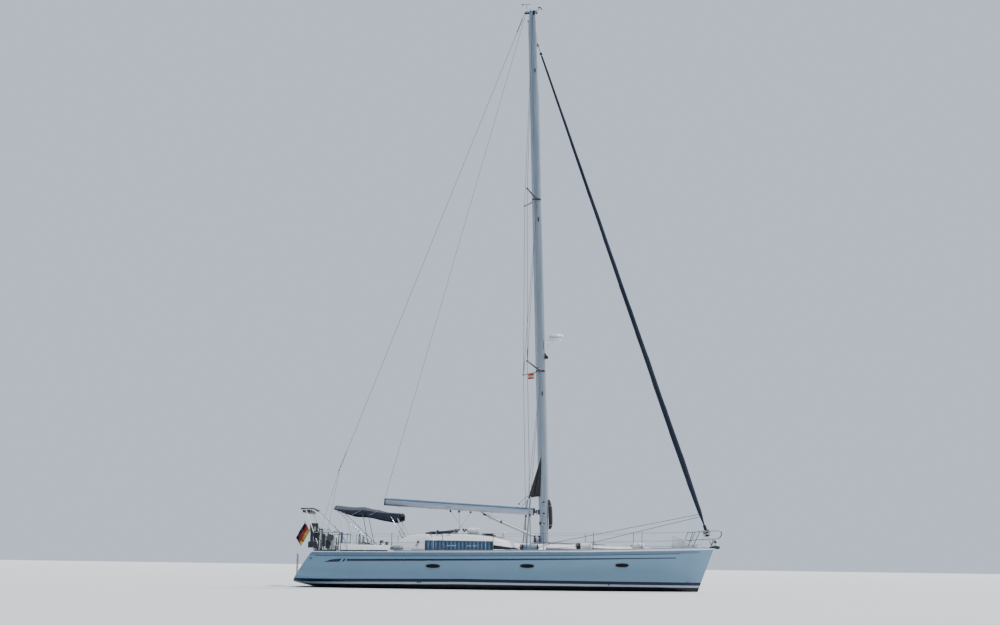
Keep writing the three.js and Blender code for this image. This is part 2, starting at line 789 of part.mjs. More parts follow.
function makeShrouds(mast) {
  const [low, high] = SPREADERS;
  const clear = SHROUD * 1.3 + 1.2;
  const foot = [CHAINPLATE.x, CHAINPLATE.y, deckZ(CHAINPLATE.x, CHAINPLATE.y) - SUNK];
  const turnbuckle = [foot[0] - 6, foot[1] - 5, foot[2] + 330];
  const tipLow = spreaderTip(low, clear);
  const tipHigh = spreaderTip(high, clear);
  const inside = MAST.width / 2 - 12;
  const head = onMast(MAST.length - 160, 0, inside);
  const diagonalHead = onMast(high[1] - 190, 0, inside);
  const knot = (p) => toSolid(new THREE.SphereGeometry(SHROUD * 1.3, 6, 4).translate(...p));
  const cap = join(
    rod(foot, turnbuckle, 13),
    rod(foot, tipLow, SHROUD, 6),
    rod(tipLow, tipHigh, SHROUD, 6),
    rod(tipHigh, head, SHROUD, 6),
    rod(tipLow, diagonalHead, SHROUD - 1, 6),
    knot(tipLow),
    knot(tipHigh),
  );
  const lowerFoot = [
    LOWER_CHAINPLATE.x,
    LOWER_CHAINPLATE.y,
    deckZ(LOWER_CHAINPLATE.x, LOWER_CHAINPLATE.y) - SUNK,
  ];
  const lowerHead = onMast(low[1] - 170, 0, inside);
  const lowerScrew = [lowerFoot[0] + 20, lowerFoot[1] - 85, lowerFoot[2] + 320];
  const lower = join(
    rod(lowerFoot, lowerHead, SHROUD, 6),
    rod(lowerFoot, lowerScrew, 12),
  );
  const besideMast = mast.translate([0, SEAM, 0]);
  return { cap: cut(cap, besideMast), lower: cut(lower, besideMast) };
}

// A frame along the forestay: +Z up the stay from its foot
function stayMatrix() {
  const foot = new THREE.Vector3(...STAY.foot);
  const along = new THREE.Vector3(...STAY.head).sub(foot).normalize();
  const turn = new THREE.Quaternion().setFromUnitVectors(new THREE.Vector3(0, 0, 1), along);
  return new THREE.Matrix4().makeRotationFromQuaternion(turn).setPosition(foot);
}

const stayLength = () =>
  new THREE.Vector3(...STAY.head).distanceTo(new THREE.Vector3(...STAY.foot));

function makeForestay(mast) {
  const length = stayLength();
  const ahead = mast.translate([SEAM, 0, 0]).transform(stayMatrix().invert().elements);
  const stay = join(
    rod([0, 0, 0], [0, 0, length], STAY.wire, 8),
    rod([0, 0, 10], [0, 0, 300], 16, 10),
    rod([0, 0, length - 420], [0, 0, length - 90], 14, 8),
  );
  return cut(stay, ahead);
}

function makeSailRoll() {
  const last = SAIL_ROLL.at(-1)[0];
  const roll = turned([
    [0, SAIL_ROLL[0][0] - 60],
    [30, SAIL_ROLL[0][0] - 60],
    ...SAIL_ROLL.map(([s, r]) => [r, s]),
    [26, last + 30],
    [26, last + 110],
    [0, last + 110],
  ], 12);
  const drum = turned([
    [0, DRUM.from],
    [DRUM.radius, DRUM.from],
    [DRUM.radius, DRUM.from + 20],
    [DRUM.radius * 0.55, DRUM.from + 26],
    [DRUM.radius * 0.55, DRUM.to - 26],
    [DRUM.radius, DRUM.to - 20],
    [DRUM.radius, DRUM.to],
    [26, DRUM.to + 6],
    [26, SAIL_ROLL[0][0]],
    [0, SAIL_ROLL[0][0]],
  ], 16);
  const bore = rod([0, 0, 300], [0, 0, last + 800], STAY.bore, 12);
  const collar = rod([0, 0, DRUM.from - 60], [0, 0, DRUM.from + 10], 24, 12);
  return cut(join(roll, drum, collar), bore);
}

function makeBackstay() {
  const top = onMast(MAST.length - 32, -285);
  const plate = BACKSTAY_SPLIT;
  const aim = new THREE.Vector3(...plate).sub(new THREE.Vector3(...top)).normalize();
  const at = (back) => new THREE.Vector3(...plate).addScaledVector(aim, -back).toArray();
  const wire = join(
    rod(top, at(60), 5, 6),
    rod(at(590), at(60), 24, 10),
    box(plate[0] - 45, plate[0] + 45, -30, 30, plate[2] + 10, plate[2] + 70),
  );
  const foot = [
    BACKSTAY_FOOT.x,
    BACKSTAY_FOOT.y,
    deckZ(BACKSTAY_FOOT.x, BACKSTAY_FOOT.y) - SUNK,
  ];
  const leg = rod([plate[0], 18, plate[2] + 6.6], foot, 5, 6);
  return { wire, leg };
}

function roundedBeam(x0, z0, x1, z1, high, wide) {
  const shape = [
    [0.5, 0.3],
    [0.36, 0.5],
    [-0.36, 0.5],
    [-0.5, 0.3],
    [-0.5, -0.34],
    [-0.25, -0.5],
    [0.25, -0.5],
    [0.5, -0.34],
  ];
  const ring = (x, z) => shape.map(([y, h]) => [x, y * wide, z + h * high]);
  return loft([ring(x0, z0), ring(x1, z1)], [1, 2]);
}

// A sleeve on the boom's axis, turning on the pin between the mast's lugs
function pinSleeve(along, half) {
  const out = boomAxisOut();
  const sleeve = cut(
    rod([out, 0, along - half], [out, 0, along + half], 32, 16),
    rod([out, 0, along - half - 5], [out, 0, along + half + 5], PIN + 1, 16),
  );
  return inFrame(sleeve, mastMatrix);
}

function makeBoom() {
  const { fore, aft, high, wide, rise } = BOOM;
  const z0 = BOOM_AXIS.z;
  const beam = roundedBeam(aft, z0 + rise, fore, z0, high, wide);
  const reach = box(fore - 10, BOOM_AXIS.x - 25, -26, 26, z0 - 55, z0 + 55);
  const vangTop = VANG.boomX;
  const underside = z0 + (rise * (fore - vangTop)) / (fore - aft) - high / 2;
  const lug = (y) => box(vangTop - 60, vangTop + 60, y - 5, y + 5, underside - 60, underside + 20);
  const sleeve = pinSleeve(mastHeight(z0), 66);
  return { boom: join(beam, reach, sleeve, lug(40), lug(-40)), underside };
}

function makeVang(underside) {
  const foot = onMast(mastHeight(VANG.mastZ), boomAxisOut());
  const head = [VANG.boomX, 0, underside - 35];
  const at = (s) => foot.map((v, i) => v + s * (head[i] - v));
  return join(
    pinSleeve(mastHeight(VANG.mastZ), 34),
    rod(at(0.014), at(0.06), 15, 8),
    rod(at(0.045), at(0.62), 38, 10),
    rod(at(0.6), at(1), 26, 10),
  );
}

const RADAR = { along: 7330, out: 610, radius: 272, high: 250 };

function makeRadar(mast) {
  const { along, out, radius, high } = RADAR;
  const dome = turned([
    [0, 0],
    [radius * 0.9, 0],
    [radius, high * 0.2],
    [radius, high * 0.5],
    [radius * 0.86, high * 0.85],
    [radius * 0.5, high],
    [0, high],
  ], 18);
  const reach = MAST.chord / 2 - 15;
  const bracket = join(
    box(reach, out + 120, -90, 90, along - 16, along - SEAM),
    box(reach, reach + 30, -70, 70, along - 240, along - SEAM),
    rod([reach + 26, 60, along - 225], [out, 60, along - 12], 12, 6),
    rod([reach + 26, -60, along - 225], [out, -60, along - 12], 12, 6),
  );
  return {
    dome: inFrame(dome.translate([out, 0, along]), mastMatrix),
    bracket: cut(inFrame(bracket, mastMatrix), mast.translate([SEAM, 0, 0])),
  };
}

// Rails
const railFoot = (x, up = 0, inset = RAIL_INSET) => {
  const y = deckEdge(x) - inset;
  return [x, y, deckZ(x, y) - SUNK + up];
};

function makeGuardrail() {
  const posts = STANCHIONS.map((x) => {
    const plate = railFoot(x);
    return join(
      rod(plate, railFoot(x, RAIL_HEIGHT), RAIL_TUBE),
      rod(plate, railFoot(x, SUNK + 8), 38, 8),
    );
  });
  const wireEnds = [-5560, ...STANCHIONS.slice(1), 6560];
  const wire = (up) =>
    wireEnds.slice(1).map((x, i) => rod(railFoot(wireEnds[i], up), railFoot(x, up), LIFELINE, 6));
  return join(posts, wire(RAIL_HEIGHT - 12), wire(RAIL_HEIGHT * 0.5));
}

function makePulpit() {
  const tube = RAIL_TUBE;
  const side = (s) => {
    const rail = [
      [6640, s * 610, 2085],
      [7150, s * 400, 2125],
      [7560, s * 190, 2150],
    ];
    const lowRail = [
      [6620, s * 600, 1800],
      [7150, s * 370, 1838],
      [7470, s * 140, 1862],
    ];
    const leg = (x, top) => {
      const [, y, z] = railFoot(x, 0, 80);
      return rod([x, s * y, z], top, tube);
    };
    return join(
      pipe(rail, tube, 4),
      pipe(lowRail, tube, 4),
      leg(6620, [6640, s * 610, 2085]),
      leg(6850, rail[0].map((v, i) => v + 0.45 * (rail[1][i] - v))),
      leg(7300, [7500, s * 225, 2146]),
    );
  };
  const front = pipe([
    [7540, 200, 2150],
    [7700, 120, 2157],
    [7752, 0, 2160],
    [7700, -120, 2157],
    [7540, -200, 2150],
  ], tube, 8);
  const lowFront = rod([7462, 150, 1862], [7462, -150, 1862], tube);
  return join(side(1), side(-1), front, lowFront);
}

function makePushpit() {
  const tube = RAIL_TUBE;
  const base = (x, y) => [x, y, deckZ(x, y) - SUNK];
  const side = (s) => {
    const rail = (up) => [
      [-5600, s * 1860, 1245 + up],
      [-6150, s * 1810, 1245 + up],
      [-6500, s * 1620, 1245 + up],
      [-6560, s * 1200, 1245 + up],
      [-6560, s * 520, 1245 + up],
    ];
    const leg = (x, y, up) => rod(base(x, s * y), [x, s * y, 1245 + up], tube);
    return join(
      pipe(rail(620), tube, 9),
      pipe(rail(320), tube, 9),
      leg(-5620, 1858, 620),
      leg(-6330, 1741, 600),
      leg(-6560, 1000, 620),
      leg(-6560, 540, 620),
    );
  };
  const gate = (up) => rod([-6560, 530, 1245 + up], [-6560, -530, 1245 + up], LIFELINE, 6);
  return join(side(1), side(-1), gate(620), gate(320));
}

// Stern arch that carries the solar panel
const ARCH = { topZ: 2660, aft: -7110, fore: -6690, half: 980 };

function makeArch() {
  const tube = 19;
  const side = (s) => {
    const foot = [-5750, s * 1690, atX(COAMING, -5750)[3] - 2 * SUNK];
    return join(
      pipe([
        foot,
        [-5830, s * 1600, 1700],
        [-6300, s * 1300, 2280],
        [-6640, s * 1040, 2610],
        [-6760, s * ARCH.half, ARCH.topZ],
        [ARCH.aft, s * ARCH.half, ARCH.topZ],
      ], tube, 10),
      rod([-6330, s * 1650, deckZ(-6330, 1650) - SUNK], [-6960, s * 985, ARCH.topZ], 14),
    );
  };
  const cross = (x) => rod([x, -ARCH.half, ARCH.topZ], [x, ARCH.half, ARCH.topZ], tube);
  return join(side(1), side(-1), cross(-6780), cross(ARCH.aft));
}

function makeSolarPanel() {
  const z = ARCH.topZ + 19 + SEAM;
  return box(ARCH.aft - 25, ARCH.fore + 20, -ARCH.half - 30, ARCH.half + 30, z, z + 35);
}

// Bimini hood and its folding frame
const biminiEdge = (crown) => crown - 175;

function makeCanopy() {
  const shares = [1, 0.8, 0.55, 0.28];
  const rings = BIMINI.map(([x, crown]) => {
    const outer = (s) => [x, s * BIMINI_HALF, crown - 175 * Math.abs(s) ** 2.2];
    const inner = (s) => {
      const [, y, z] = outer(s);
      return [x, y * (1 - BIMINI_SKIN / BIMINI_HALF), z - BIMINI_SKIN];
    };
    const skirt = biminiEdge(crown) - 150;
    const over = [...shares, 0, ...shares.map((s) => -s).reverse()];
    return [
      [x, BIMINI_HALF, skirt],
      ...over.map(outer),
      [x, -BIMINI_HALF, skirt],
      [x, -BIMINI_HALF + BIMINI_SKIN, skirt],
      ...over.map(inner).reverse(),
      [x, BIMINI_HALF - BIMINI_SKIN, skirt],
    ];
  });
  return loft(rings, [1, 2]);
}

function makeBiminiFrame() {
  const tube = 12.5;
  const foot = (x) => [x, 1560, atX(COAMING, x)[3] - SUNK];
  // Columns: top x, foot x
  const bows = [
    [-5780, -4560],
    [-4900, -4700],
    [-3640, -3900],
  ];
  const bow = ([topX, footX]) => {
    const crown = atX(BIMINI, topX)[1] - BIMINI_SKIN - tube - 0.8;
    const edge = crown - 185;
    const half = BIMINI_HALF - 40;
    const [x, y, z] = foot(footX);
    const path = (s) => [
      [x, s * y, z],
      [topX + 0.12 * (x - topX), s * (half + 8), edge - 130],
      [topX, s * (half - 30), edge - 10],
      [topX, s * 0.8 * half, crown - 110],
      [topX, s * 0.4 * half, crown - 24],
    ];
    return pipe([...path(1), [topX, 0, crown], ...path(-1).reverse()], tube, 28);
  };
  const stretch = bows.map(([topX]) => {
    const z = atX(BIMINI, topX)[1] - BIMINI_SKIN - tube - 4 - 195;
    return [topX, z];
  });
  const railAt = (s) =>
    stretch.slice(1).map(([x, z], i) =>
      rod(
        [stretch[i][0], s * (BIMINI_HALF - 70), stretch[i][1]],
        [x, s * (BIMINI_HALF - 70), z],
        tube,
      ),
    );
  return join(bows.map(bow), railAt(1), railAt(-1));
}

// Wheels
function makeWheel() {
  const { radius, tube, spokes } = WHEEL;
  const rim = toSolid(new THREE.TorusGeometry(radius, tube, 6, 24).rotateY(Math.PI / 2));
  const arms = Array.from({ length: spokes }, (_, i) => {
    const angle = (i * 2 * Math.PI) / spokes;
    return rod([0, 0, 0], [0, radius * Math.sin(angle), radius * Math.cos(angle)], 7, 6);
  });
  return join(rim, arms, rod([-22, 0, 0], [28, 0, 0], 48, 14));
}

function makePedestal() {
  const { aft, fore, half } = PEDESTAL;
  const floor = HELM_WELL.z + SEAM;
  const column = loft([
    [
      [aft, -half * 0.7, floor],
      [fore, -half * 0.7, floor],
      [fore, half * 0.7, floor],
      [aft, half * 0.7, floor],
    ],
    [
      [aft, -half, 1560],
      [fore, -half, 1500],
      [fore, half, 1500],
      [aft, half, 1560],
    ],
  ], [0, 1]);
  const boss = rod([aft + 5, 0, WHEEL.z], [WHEEL.x + 28 + 0.6, 0, WHEEL.z], 40, 14);
  return join(column, boss);
}

function makeTable() {
  const { aft, fore, half, z } = TABLE;
  return join(
    box(aft + 60, fore - 60, -60, 60, FOOT_WELL.z + SEAM, z - 30),
    box(aft, fore, -half, half, z - 40, z),
    box(aft, aft + 170, -half, half, z - 10, z + 150),
  );
}

const winch = () =>
  turned([
    [0, 0],
    [92, 0],
    [92, 28],
    [62, 50],
    [58, 105],
    [82, 140],
    [78, 162],
    [0, 168],
  ], 14);

function makeLadder() {
  const { half, tall, lug, tube } = LADDER;
  const rail = (y) => rod([0, y, 0], [0, y, tall], tube, 8);
  const treads = [140, 380, 620].map((z) => box(-14, 14, -half, half, z - 14, z + 14));
  const hinge = rod([0, 0.5 - lug, 0], [0, lug - 0.5, 0], tube, 12);
  const top = rod([0, -half, tall - 12], [0, half, tall - 12], tube, 8);
  return join(rail(half), rail(-half), treads, hinge, top);
}

function ladderLugs() {
  const { x, z, lug, tube } = LADDER;
  const one = box(x - tube, x + 130, lug, lug + 14, z - 90, z + tube);
  return [one, mirrorY(one)];
}

function makeRoller() {
  const z = deckZ(7475) + SEAM;
  return join(
    box(7150, 7560, -70, 70, z, z + 14),
    box(7330, 7720, -70, -60, z, z + 95),
    box(7330, 7720, 60, 70, z, z + 95),
    rod([7660, -64, z + 20], [7660, 64, z + 20], 48, 12),
    rod([7560, -64, z + 48], [7560, 64, z + 48], 30, 12),
  );
}

// The lid in its hinge's frame, closed
function makeLockerLid() {
  const closed = lockerPrism(0, (x) => lockerTop(x) - LOCKER_LID, lockerTop);
  const flat = inFrame(closed, lockerHinge().invert());
  return join(flat, knuckles(1));
}

function makeWindlass() {
  const z = LOCKER.z + SEAM;
  return join(
    box(6060, 6240, -80, 80, z, z + 110),
    turned([
      [0, 0],
      [72, 0],
      [50, 40],
      [50, 80],
      [72, 120],
      [60, 160],
      [0, 165],
    ], 14).translate([6150, 0, z + 108]),
  );
}

// A fender lying along the deck
const fender = (length, radius) =>
  turned([
    [0, 0],
    [26, 4],
    [28, 46],
    [radius * 0.72, 78],
    [radius, 128],
    [radius, length - 128],
    [radius * 0.72, length - 78],
    [28, length - 46],
    [26, length - 4],
    [0, length],
  ], 12).rotate([0, 90, 0]);

// Columns: name, aftX, y, length, radius, colour
const FENDERS = [
  ["fender_aft", -3930, -1905, 460, 95, "grey"],
  ["fender_waist", 500, -1600, 690, 105, "blue"],
  ["fender_fore", 2440, -1590, 600, 105, "white"],
  ["fender_bow", 4400, -1135, 560, 105, "white"],
];

function makeGangway() {
  const { aft, fore, high, slats } = GANGWAY;
  const length = fore - aft;
  const y = deckEdge((aft + fore) / 2) - GANGWAY.inset;
  const rails = [0, high - 50].map((up) => box(0, length, -25, 25, up, up + 50));
  const pitch = (length - 60) / (slats - 1);
  const ribs = Array.from({ length: slats }, (_, i) => {
    const x = 30 + i * pitch;
    return box(x - 30, x + 30, -18, 18, 20, high - 20);
  });
  const sheet = box(0, length, -9, 9, 20, high - 20);
  const tilt = Math.atan2(deckZ(fore, y) - deckZ(aft, y), length);
  const matrix = new THREE.Matrix4().makeRotationY(-tilt);
  matrix.setPosition(aft, -y, deckZ(aft, y) - SUNK / 2);
  return inFrame(join(rails, ribs, sheet), matrix);
}

// The hood folded flat: a long roll that rings the companionway and its garage
function makeFoldedHood() {
  const { roll } = HOOD;
  const onRoof = (x, y) => [x, y, atX(ROOF, x)[3] - 30 + roll * 0.6];
  const garageTop = atX(ROOF, GARAGE.aft)[3] + GARAGE.inside + GARAGE.skin;
  const side = (s) => [
    onRoof(-2700, s * 1080),
    onRoof(-2300, s * 1090),
    [-1900, s * 980, garageTop - 10],
    [-1700, s * 620, garageTop + roll - 12],
  ];
  const path = [...side(1), [-1660, 0, garageTop + roll - 2], ...side(-1).reverse()];
  return pipe(path, roll, 18, 8);
}

// The mainsheet's track, on two feet across the deckhouse
function makeTrack() {
  const { x, half, high } = TRACK;
  const top = atX(ROOF, x)[3];
  const foot = (y) => box(x - 30, x + 30, y - 35, y + 35, top - 38, top + high);
  const rail = box(x - 24, x + 24, -half, half, top + high - 30, top + high);
  return join(rail, foot(half - 60), foot(60 - half));
}

// A soft bag strapped to the front of the mast
function makeMastBag(mast) {
  const rings = MAST_BAG.map(([along, deep, wide]) =>
    Array.from({ length: 10 }, (_, i) => {
      const angle = (i * Math.PI) / 5;
      const out = MAST.chord / 2 - 12 + (deep / 2) * (1 + Math.cos(angle));
      return [out, (wide / 2) * Math.sin(angle), along];
    }),
  );
  return cut(inFrame(loft(rings, [0, 1]), mastMatrix), mast.translate([SEAM, 0, 0]));
}

// The flat pane of the large side window, in the middle of the wall's thickness
function makePane() {
  const [aft, fore, low, high] = WINDOWS[0];
  const wallY = (x, z) => {
    const side = roofSide(x, ROOF_WALL / 2);
    const share = (z - side.foot) / (side.high - side.foot);
    return side.base + share * (side.edge + 30 - side.base);
  };
  const [midX, midZ] = [(aft + fore) / 2, (low + high) / 2];
  const alongX = (wallY(fore, midZ) - wallY(aft, midZ)) / (fore - aft);
  const alongZ = (wallY(midX, high) - wallY(midX, low)) / (high - low);
  const at = (x, z, out) => {
    const y = wallY(midX, midZ) + alongX * (x - midX) + alongZ * (z - midZ);
    return [x, y + out, z];
  };
  const ring = (x) => [
    at(x, low + SEAM, PANE / 2),
    at(x, high - SEAM, PANE / 2),
    at(x, high - SEAM, -PANE / 2),
    at(x, low + SEAM, -PANE / 2),
  ];
  return loft([ring(aft + SEAM), ring(fore - SEAM)], [1, 2]);
}

// A small outboard motor clamped to the pushpit
function makeOutboard() {
  const { x, y, z } = OUTBOARD;
  return join(
    box(x - 240, x + 30, -y - 110, -y + 110, z + 60, z + 330),
    box(x - 230, x - 130, -y - 45, -y + 45, z - 420, z + 70),
    box(x - 300, x - 90, -y - 8, -y + 8, z - 520, z - 300),
    box(x - 140, x, -y - 80, -y + 80, z - 130, z + 20),
  );
}

function build() {
  const { body: hullBody, hull } = makeHull();
  const deck = makeDeck();
  const seatedOn = lift(deck, SEAM);
  const seat = (solid) => cut(solid, seatedOn);
  const addPair = (name, solid, colour) => {
    addPiece(name + "_port", solid, colour);
    addPiece(name + "_starboard", mirrorY(solid), colour);
  };
  addPiece("hull", hull, "gelcoat");
  addPiece("deck", deck, "deck");
  addPair("toe_rail", toeRail(), "teak");
  addPiece("keel", makeKeel(hullBody), "antifoul");
  addPiece("rudder", makeRudder(), "antifoul");
  addPiece("sail_drive", makeDrive(hullBody), "grey");

  const shaft = new THREE.Group();
  shaft.position.set(PROPELLER.x, 0, SAIL_DRIVE.z);
  shaft.rotation.y = Math.PI / 2;
  yacht.add(shaft);
  addPiece("propeller", makePropeller(), "bronze", shaft);

  const mast = makeMast(deck);
  addPiece("mast", mast, "spar");
  for (const [name, ...sizes] of SPREADERS) addPiece(name, makeSpreaders(...sizes), "spar");
  const { cap, lower } = makeShrouds(mast);
  addPair("cap_shroud", seat(cap), "steel");
  addPair("lower_shroud", seat(lower), "steel");

  const stay = new THREE.Group();
  stay.applyMatrix4(stayMatrix());
  yacht.add(stay);
  addPiece("forestay", makeForestay(mast), "steel", stay);
  addPiece("furled_headsail", makeSailRoll(), "navy", stay);

  const { wire, leg } = makeBackstay();
  addPiece("backstay", wire, "steel");
  addPair("backstay_leg", seat(leg), "steel");

  const { boom, underside } = makeBoom();
  addPiece("boom", boom, "spar");
  addPiece("vang", makeVang(underside), "grey");
  const { dome, bracket } = makeRadar(mast);
  addPiece("radar_dome", dome, "white");
  addPiece("radar_bracket", bracket, "spar");

  addPair("guardrail", seat(makeGuardrail()), "steel");
  addPiece("pulpit", seat(makePulpit()), "steel");
  const pushpit = seat(makePushpit());
  addPiece("pushpit", pushpit, "steel");
  const panel = makeSolarPanel();
  addPiece("stern_arch", cut(seat(makeArch()), lift(panel, -SEAM)), "steel");
  addPiece("solar_panel", panel, "black");
  const canopy = makeCanopy();
  addPiece("bimini_canopy", canopy, "navy");
  addPiece("bimini_frame", cut(seat(makeBiminiFrame()), lift(canopy, -SEAM)), "steel");

  for (const [side, y] of [["port", WHEEL.y], ["starboard", -WHEEL.y]]) {
    const hub = new THREE.Group();
    hub.position.set(WHEEL.x, y, WHEEL.z);
    yacht.add(hub);
    addPiece("wheel_" + side, makeWheel(), "steel", hub);
    addPiece("pedestal_" + side, makePedestal().translate([0, y, 0]), "white");
    const coamingTop = atX(COAMING, -4250)[3];
    addPiece(
      "winch_" + side,
      seat(winch().translate([-4250, Math.sign(y) * 1490, coamingTop - SUNK])),
      "steel",
    );
  }
  addPiece("cockpit_table", makeTable(), "teak");

  const slide = SLIDE_HATCH;
  const slideZ = slideHatchZ();
  addPiece(
    "companionway_hatch",
    box(slide.aft, slide.fore, -slide.half, slide.half, slideZ, slideZ + slide.thick),
    "tint",
  );
  addPiece(
    "washboard",
    box(
      ROOF[0][0] + 5,
      ROOF[0][0] + 5 + WASHBOARD,
      -COMPANIONWAY.half + SEAM,
      COMPANIONWAY.half - SEAM,
      COMPANIONWAY.sillZ + SEAM,
      slideZ - 14,
    ),
    "tint",
  );
  for (const [name, x, l, w] of HATCHES) {
    const cover = box(-l, l, -w, w, SEAM, HATCH_LID);
    addPiece(name, inFrame(cover, hatchMatrix(x, l)), "tint");
  }

  const hinge = new THREE.Group();
  hinge.applyMatrix4(lockerHinge());
  yacht.add(hinge);
  const lid = addPiece("anchor_locker_lid", makeLockerLid(), "deck", hinge);
  lid.rotation.x = THREE.MathUtils.degToRad(-LOCKER_OPEN);
  addPiece("windlass", makeWindlass(), "steel");
  addPiece("bow_roller", makeRoller(), "green");

  const ladder = new THREE.Group();
  ladder.position.set(LADDER.x, 0, LADDER.z);
  yacht.add(ladder);
  addPiece("swim_ladder", makeLadder(), "steel", ladder);

  for (const [name, x, y, length, radius, colour] of FENDERS) {
    const ends = [x, x + length].map((at) => deckZ(at, y));
    const place = new THREE.Matrix4().makeRotationY(-Math.atan2(ends[1] - ends[0], length));
    place.setPosition(x, y, ends[0] + radius - SUNK / 2);
    addPiece(name, seat(inFrame(fender(length, radius), place)), colour);
  }
  addPiece("gangway", seat(makeGangway()), "blue");
  addPiece("sprayhood_folded", seat(makeFoldedHood()), "navy");
  addPiece("mainsheet_track", seat(makeTrack()), "black");
  addPiece("mast_bag", makeMastBag(mast), "black");
  addPair("window", makePane(), "tint");
  const rails = [SEAM, -SEAM].map((dz) => pushpit.translate([-SEAM, 0, dz]));
  addPiece("outboard_motor", cut(makeOutboard(), rails), "white");
  addPiece("engine", box(-2600, -1800, -280, 280, SALOON.lowZ + SEAM, 330), "grey");
}

build();

export default yacht;
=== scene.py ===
"""Looks of a cruising sloop afloat, built around its packed CAD frame. Metres, +X bow, +Y port, +Z up."""

from math import atan2, copysign, cos, exp, pi, radians, sin, sqrt, tan

import bmesh
import bpy
from mathutils import Matrix, Vector


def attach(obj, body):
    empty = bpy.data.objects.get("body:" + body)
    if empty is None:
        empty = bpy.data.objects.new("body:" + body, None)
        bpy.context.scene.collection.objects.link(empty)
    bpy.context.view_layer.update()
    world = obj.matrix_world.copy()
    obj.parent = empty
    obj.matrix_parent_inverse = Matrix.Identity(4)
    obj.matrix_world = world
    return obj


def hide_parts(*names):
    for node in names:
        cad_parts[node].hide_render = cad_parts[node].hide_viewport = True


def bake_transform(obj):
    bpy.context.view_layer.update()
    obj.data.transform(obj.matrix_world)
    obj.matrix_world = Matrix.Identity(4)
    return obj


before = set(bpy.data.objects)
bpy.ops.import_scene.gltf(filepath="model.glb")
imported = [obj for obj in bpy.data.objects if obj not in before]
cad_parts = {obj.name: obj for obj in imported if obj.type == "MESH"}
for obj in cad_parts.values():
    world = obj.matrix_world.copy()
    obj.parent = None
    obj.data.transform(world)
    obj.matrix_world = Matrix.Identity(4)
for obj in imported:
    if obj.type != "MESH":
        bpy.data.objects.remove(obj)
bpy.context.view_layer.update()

bl_info = {
    "name": "Cruising sloop",
    "version": (1, 0, 0),
    "blender": (4, 5, 0),
    "location": "View3D > Sidebar > Sloop",
    "description": "Dresses the packed frame of a cruising sloop afloat",
    "category": "Object",
}

# Hull sections: sheer x, keel x, half beam, sheer z, keel z, side power, bottom power
HULL = [
    (-6.61, -7.318, 1.815, 1.222, 0.16, 3, 5),
    (-6.2, -6.5, 1.885, 1.224, -0.02, 2.8, 4.5),
    (-5.5, -5.6, 1.985, 1.23, -0.19, 2.5, 4.2),
    (-4.5, -4.5, 2.09, 1.24, -0.36, 2.2, 3.9),
    (-3, -3, 2.2, 1.255, -0.53, 2, 3.7),
    (-1.5, -1.5, 2.245, 1.277, -0.61, 1.9, 3.6),
    (0, 0, 2.215, 1.303, -0.62, 1.85, 3.4),
    (1.5, 1.5, 2.095, 1.335, -0.58, 1.8, 3.1),
    (3, 3, 1.86, 1.375, -0.49, 1.75, 2.7),
    (4.5, 4.45, 1.475, 1.425, -0.37, 1.65, 2.35),
    (5.7, 5.58, 1.06, 1.465, -0.25, 1.55, 2.1),
    (6.6, 6.33, 0.65, 1.497, -0.15, 1.45, 1.95),
    (7.15, 6.68, 0.31, 1.517, -0.09, 1.4, 1.85),
    (7.475, 6.86, 0.045, 1.53, -0.05, 1.35, 1.8),
]
HULL_STEPS = 4
DECK_CAMBER = 0.032
HULL_TOP = 0.043

# Coachroof: x, half width at the deck, half width at the roof's edge, top on the centreline
ROOF = [
    (-2.75, 1.64, 1.19, 1.885),
    (-1.5, 1.56, 1.17, 1.912),
    (-0.7, 1.5, 1.15, 1.862),
    (-0.25, 1.47, 1.13, 1.8),
    (0.25, 1.43, 1.11, 1.69),
    (0.65, 1.4, 1.12, 1.618),
    (1.7, 1.29, 1.11, 1.6),
    (2.6, 1.15, 0.985, 1.585),
    (3.5, 0.95, 0.8, 1.57),
    (4.4, 0.72, 0.59, 1.555),
    (5.15, 0.5, 0.4, 1.53),
]
# Cockpit coaming: x, outer half width, inner half width, top
COAMING = [
    (-5.95, 1.65, 1.345, 1.4),
    (-5.75, 1.72, 1.345, 1.462),
    (-4.6, 1.76, 1.345, 1.466),
    (-3.8, 1.74, 1.345, 1.49),
    (-3.64, 1.732, 1.345, 1.64),
    (-3.43, 1.718, 1.345, 1.755),
    (-3.13, 1.69, 1.345, 1.825),
    (-2.76, 1.64, 1.345, 1.862),
    (-2.58, 1.615, 1.345, 1.8),
    (-2.45, 1.6, 1.345, 1.6),
]
# Bimini hood: x, crown height
HOOD_CROWN = [
    (-5.87, 2.85),
    (-5.4, 2.825),
    (-4.9, 2.8),
    (-4.4, 2.7),
    (-4, 2.64),
    (-3.52, 2.59),
]


def vec(x, y, z):
    return Vector((x, y, z))


def shift(place):
    return Matrix.Translation(place)


QUARTER_X, QUARTER_Y = Matrix.Rotation(pi / 2, 4, "X"), Matrix.Rotation(pi / 2, 4, "Y")
BACK_Y = Matrix.Rotation(-pi / 2, 4, "Y")
SIDES = ((1, "port"), (-1, "starboard"))
MAST_FOOT = vec(1.445, 0, 1.6)
MAST_RAKE = radians(1.78)
MAST_LENGTH = 20.04
MAST_CHORD, MAST_WIDTH = 0.31, 0.19
STAY_FOOT, STAY_HEAD = vec(7.44, 0, 1.549), vec(1, 0, 20.45)
GOOSENECK_Z, VANG_Z = 2.73, 1.835
BOOM_AXIS = vec(1.165, 0, GOOSENECK_Z)
STANCHION_X = (-5.4, -3.87, -2.14, -0.41, 1.32, 3.05, 4.78)


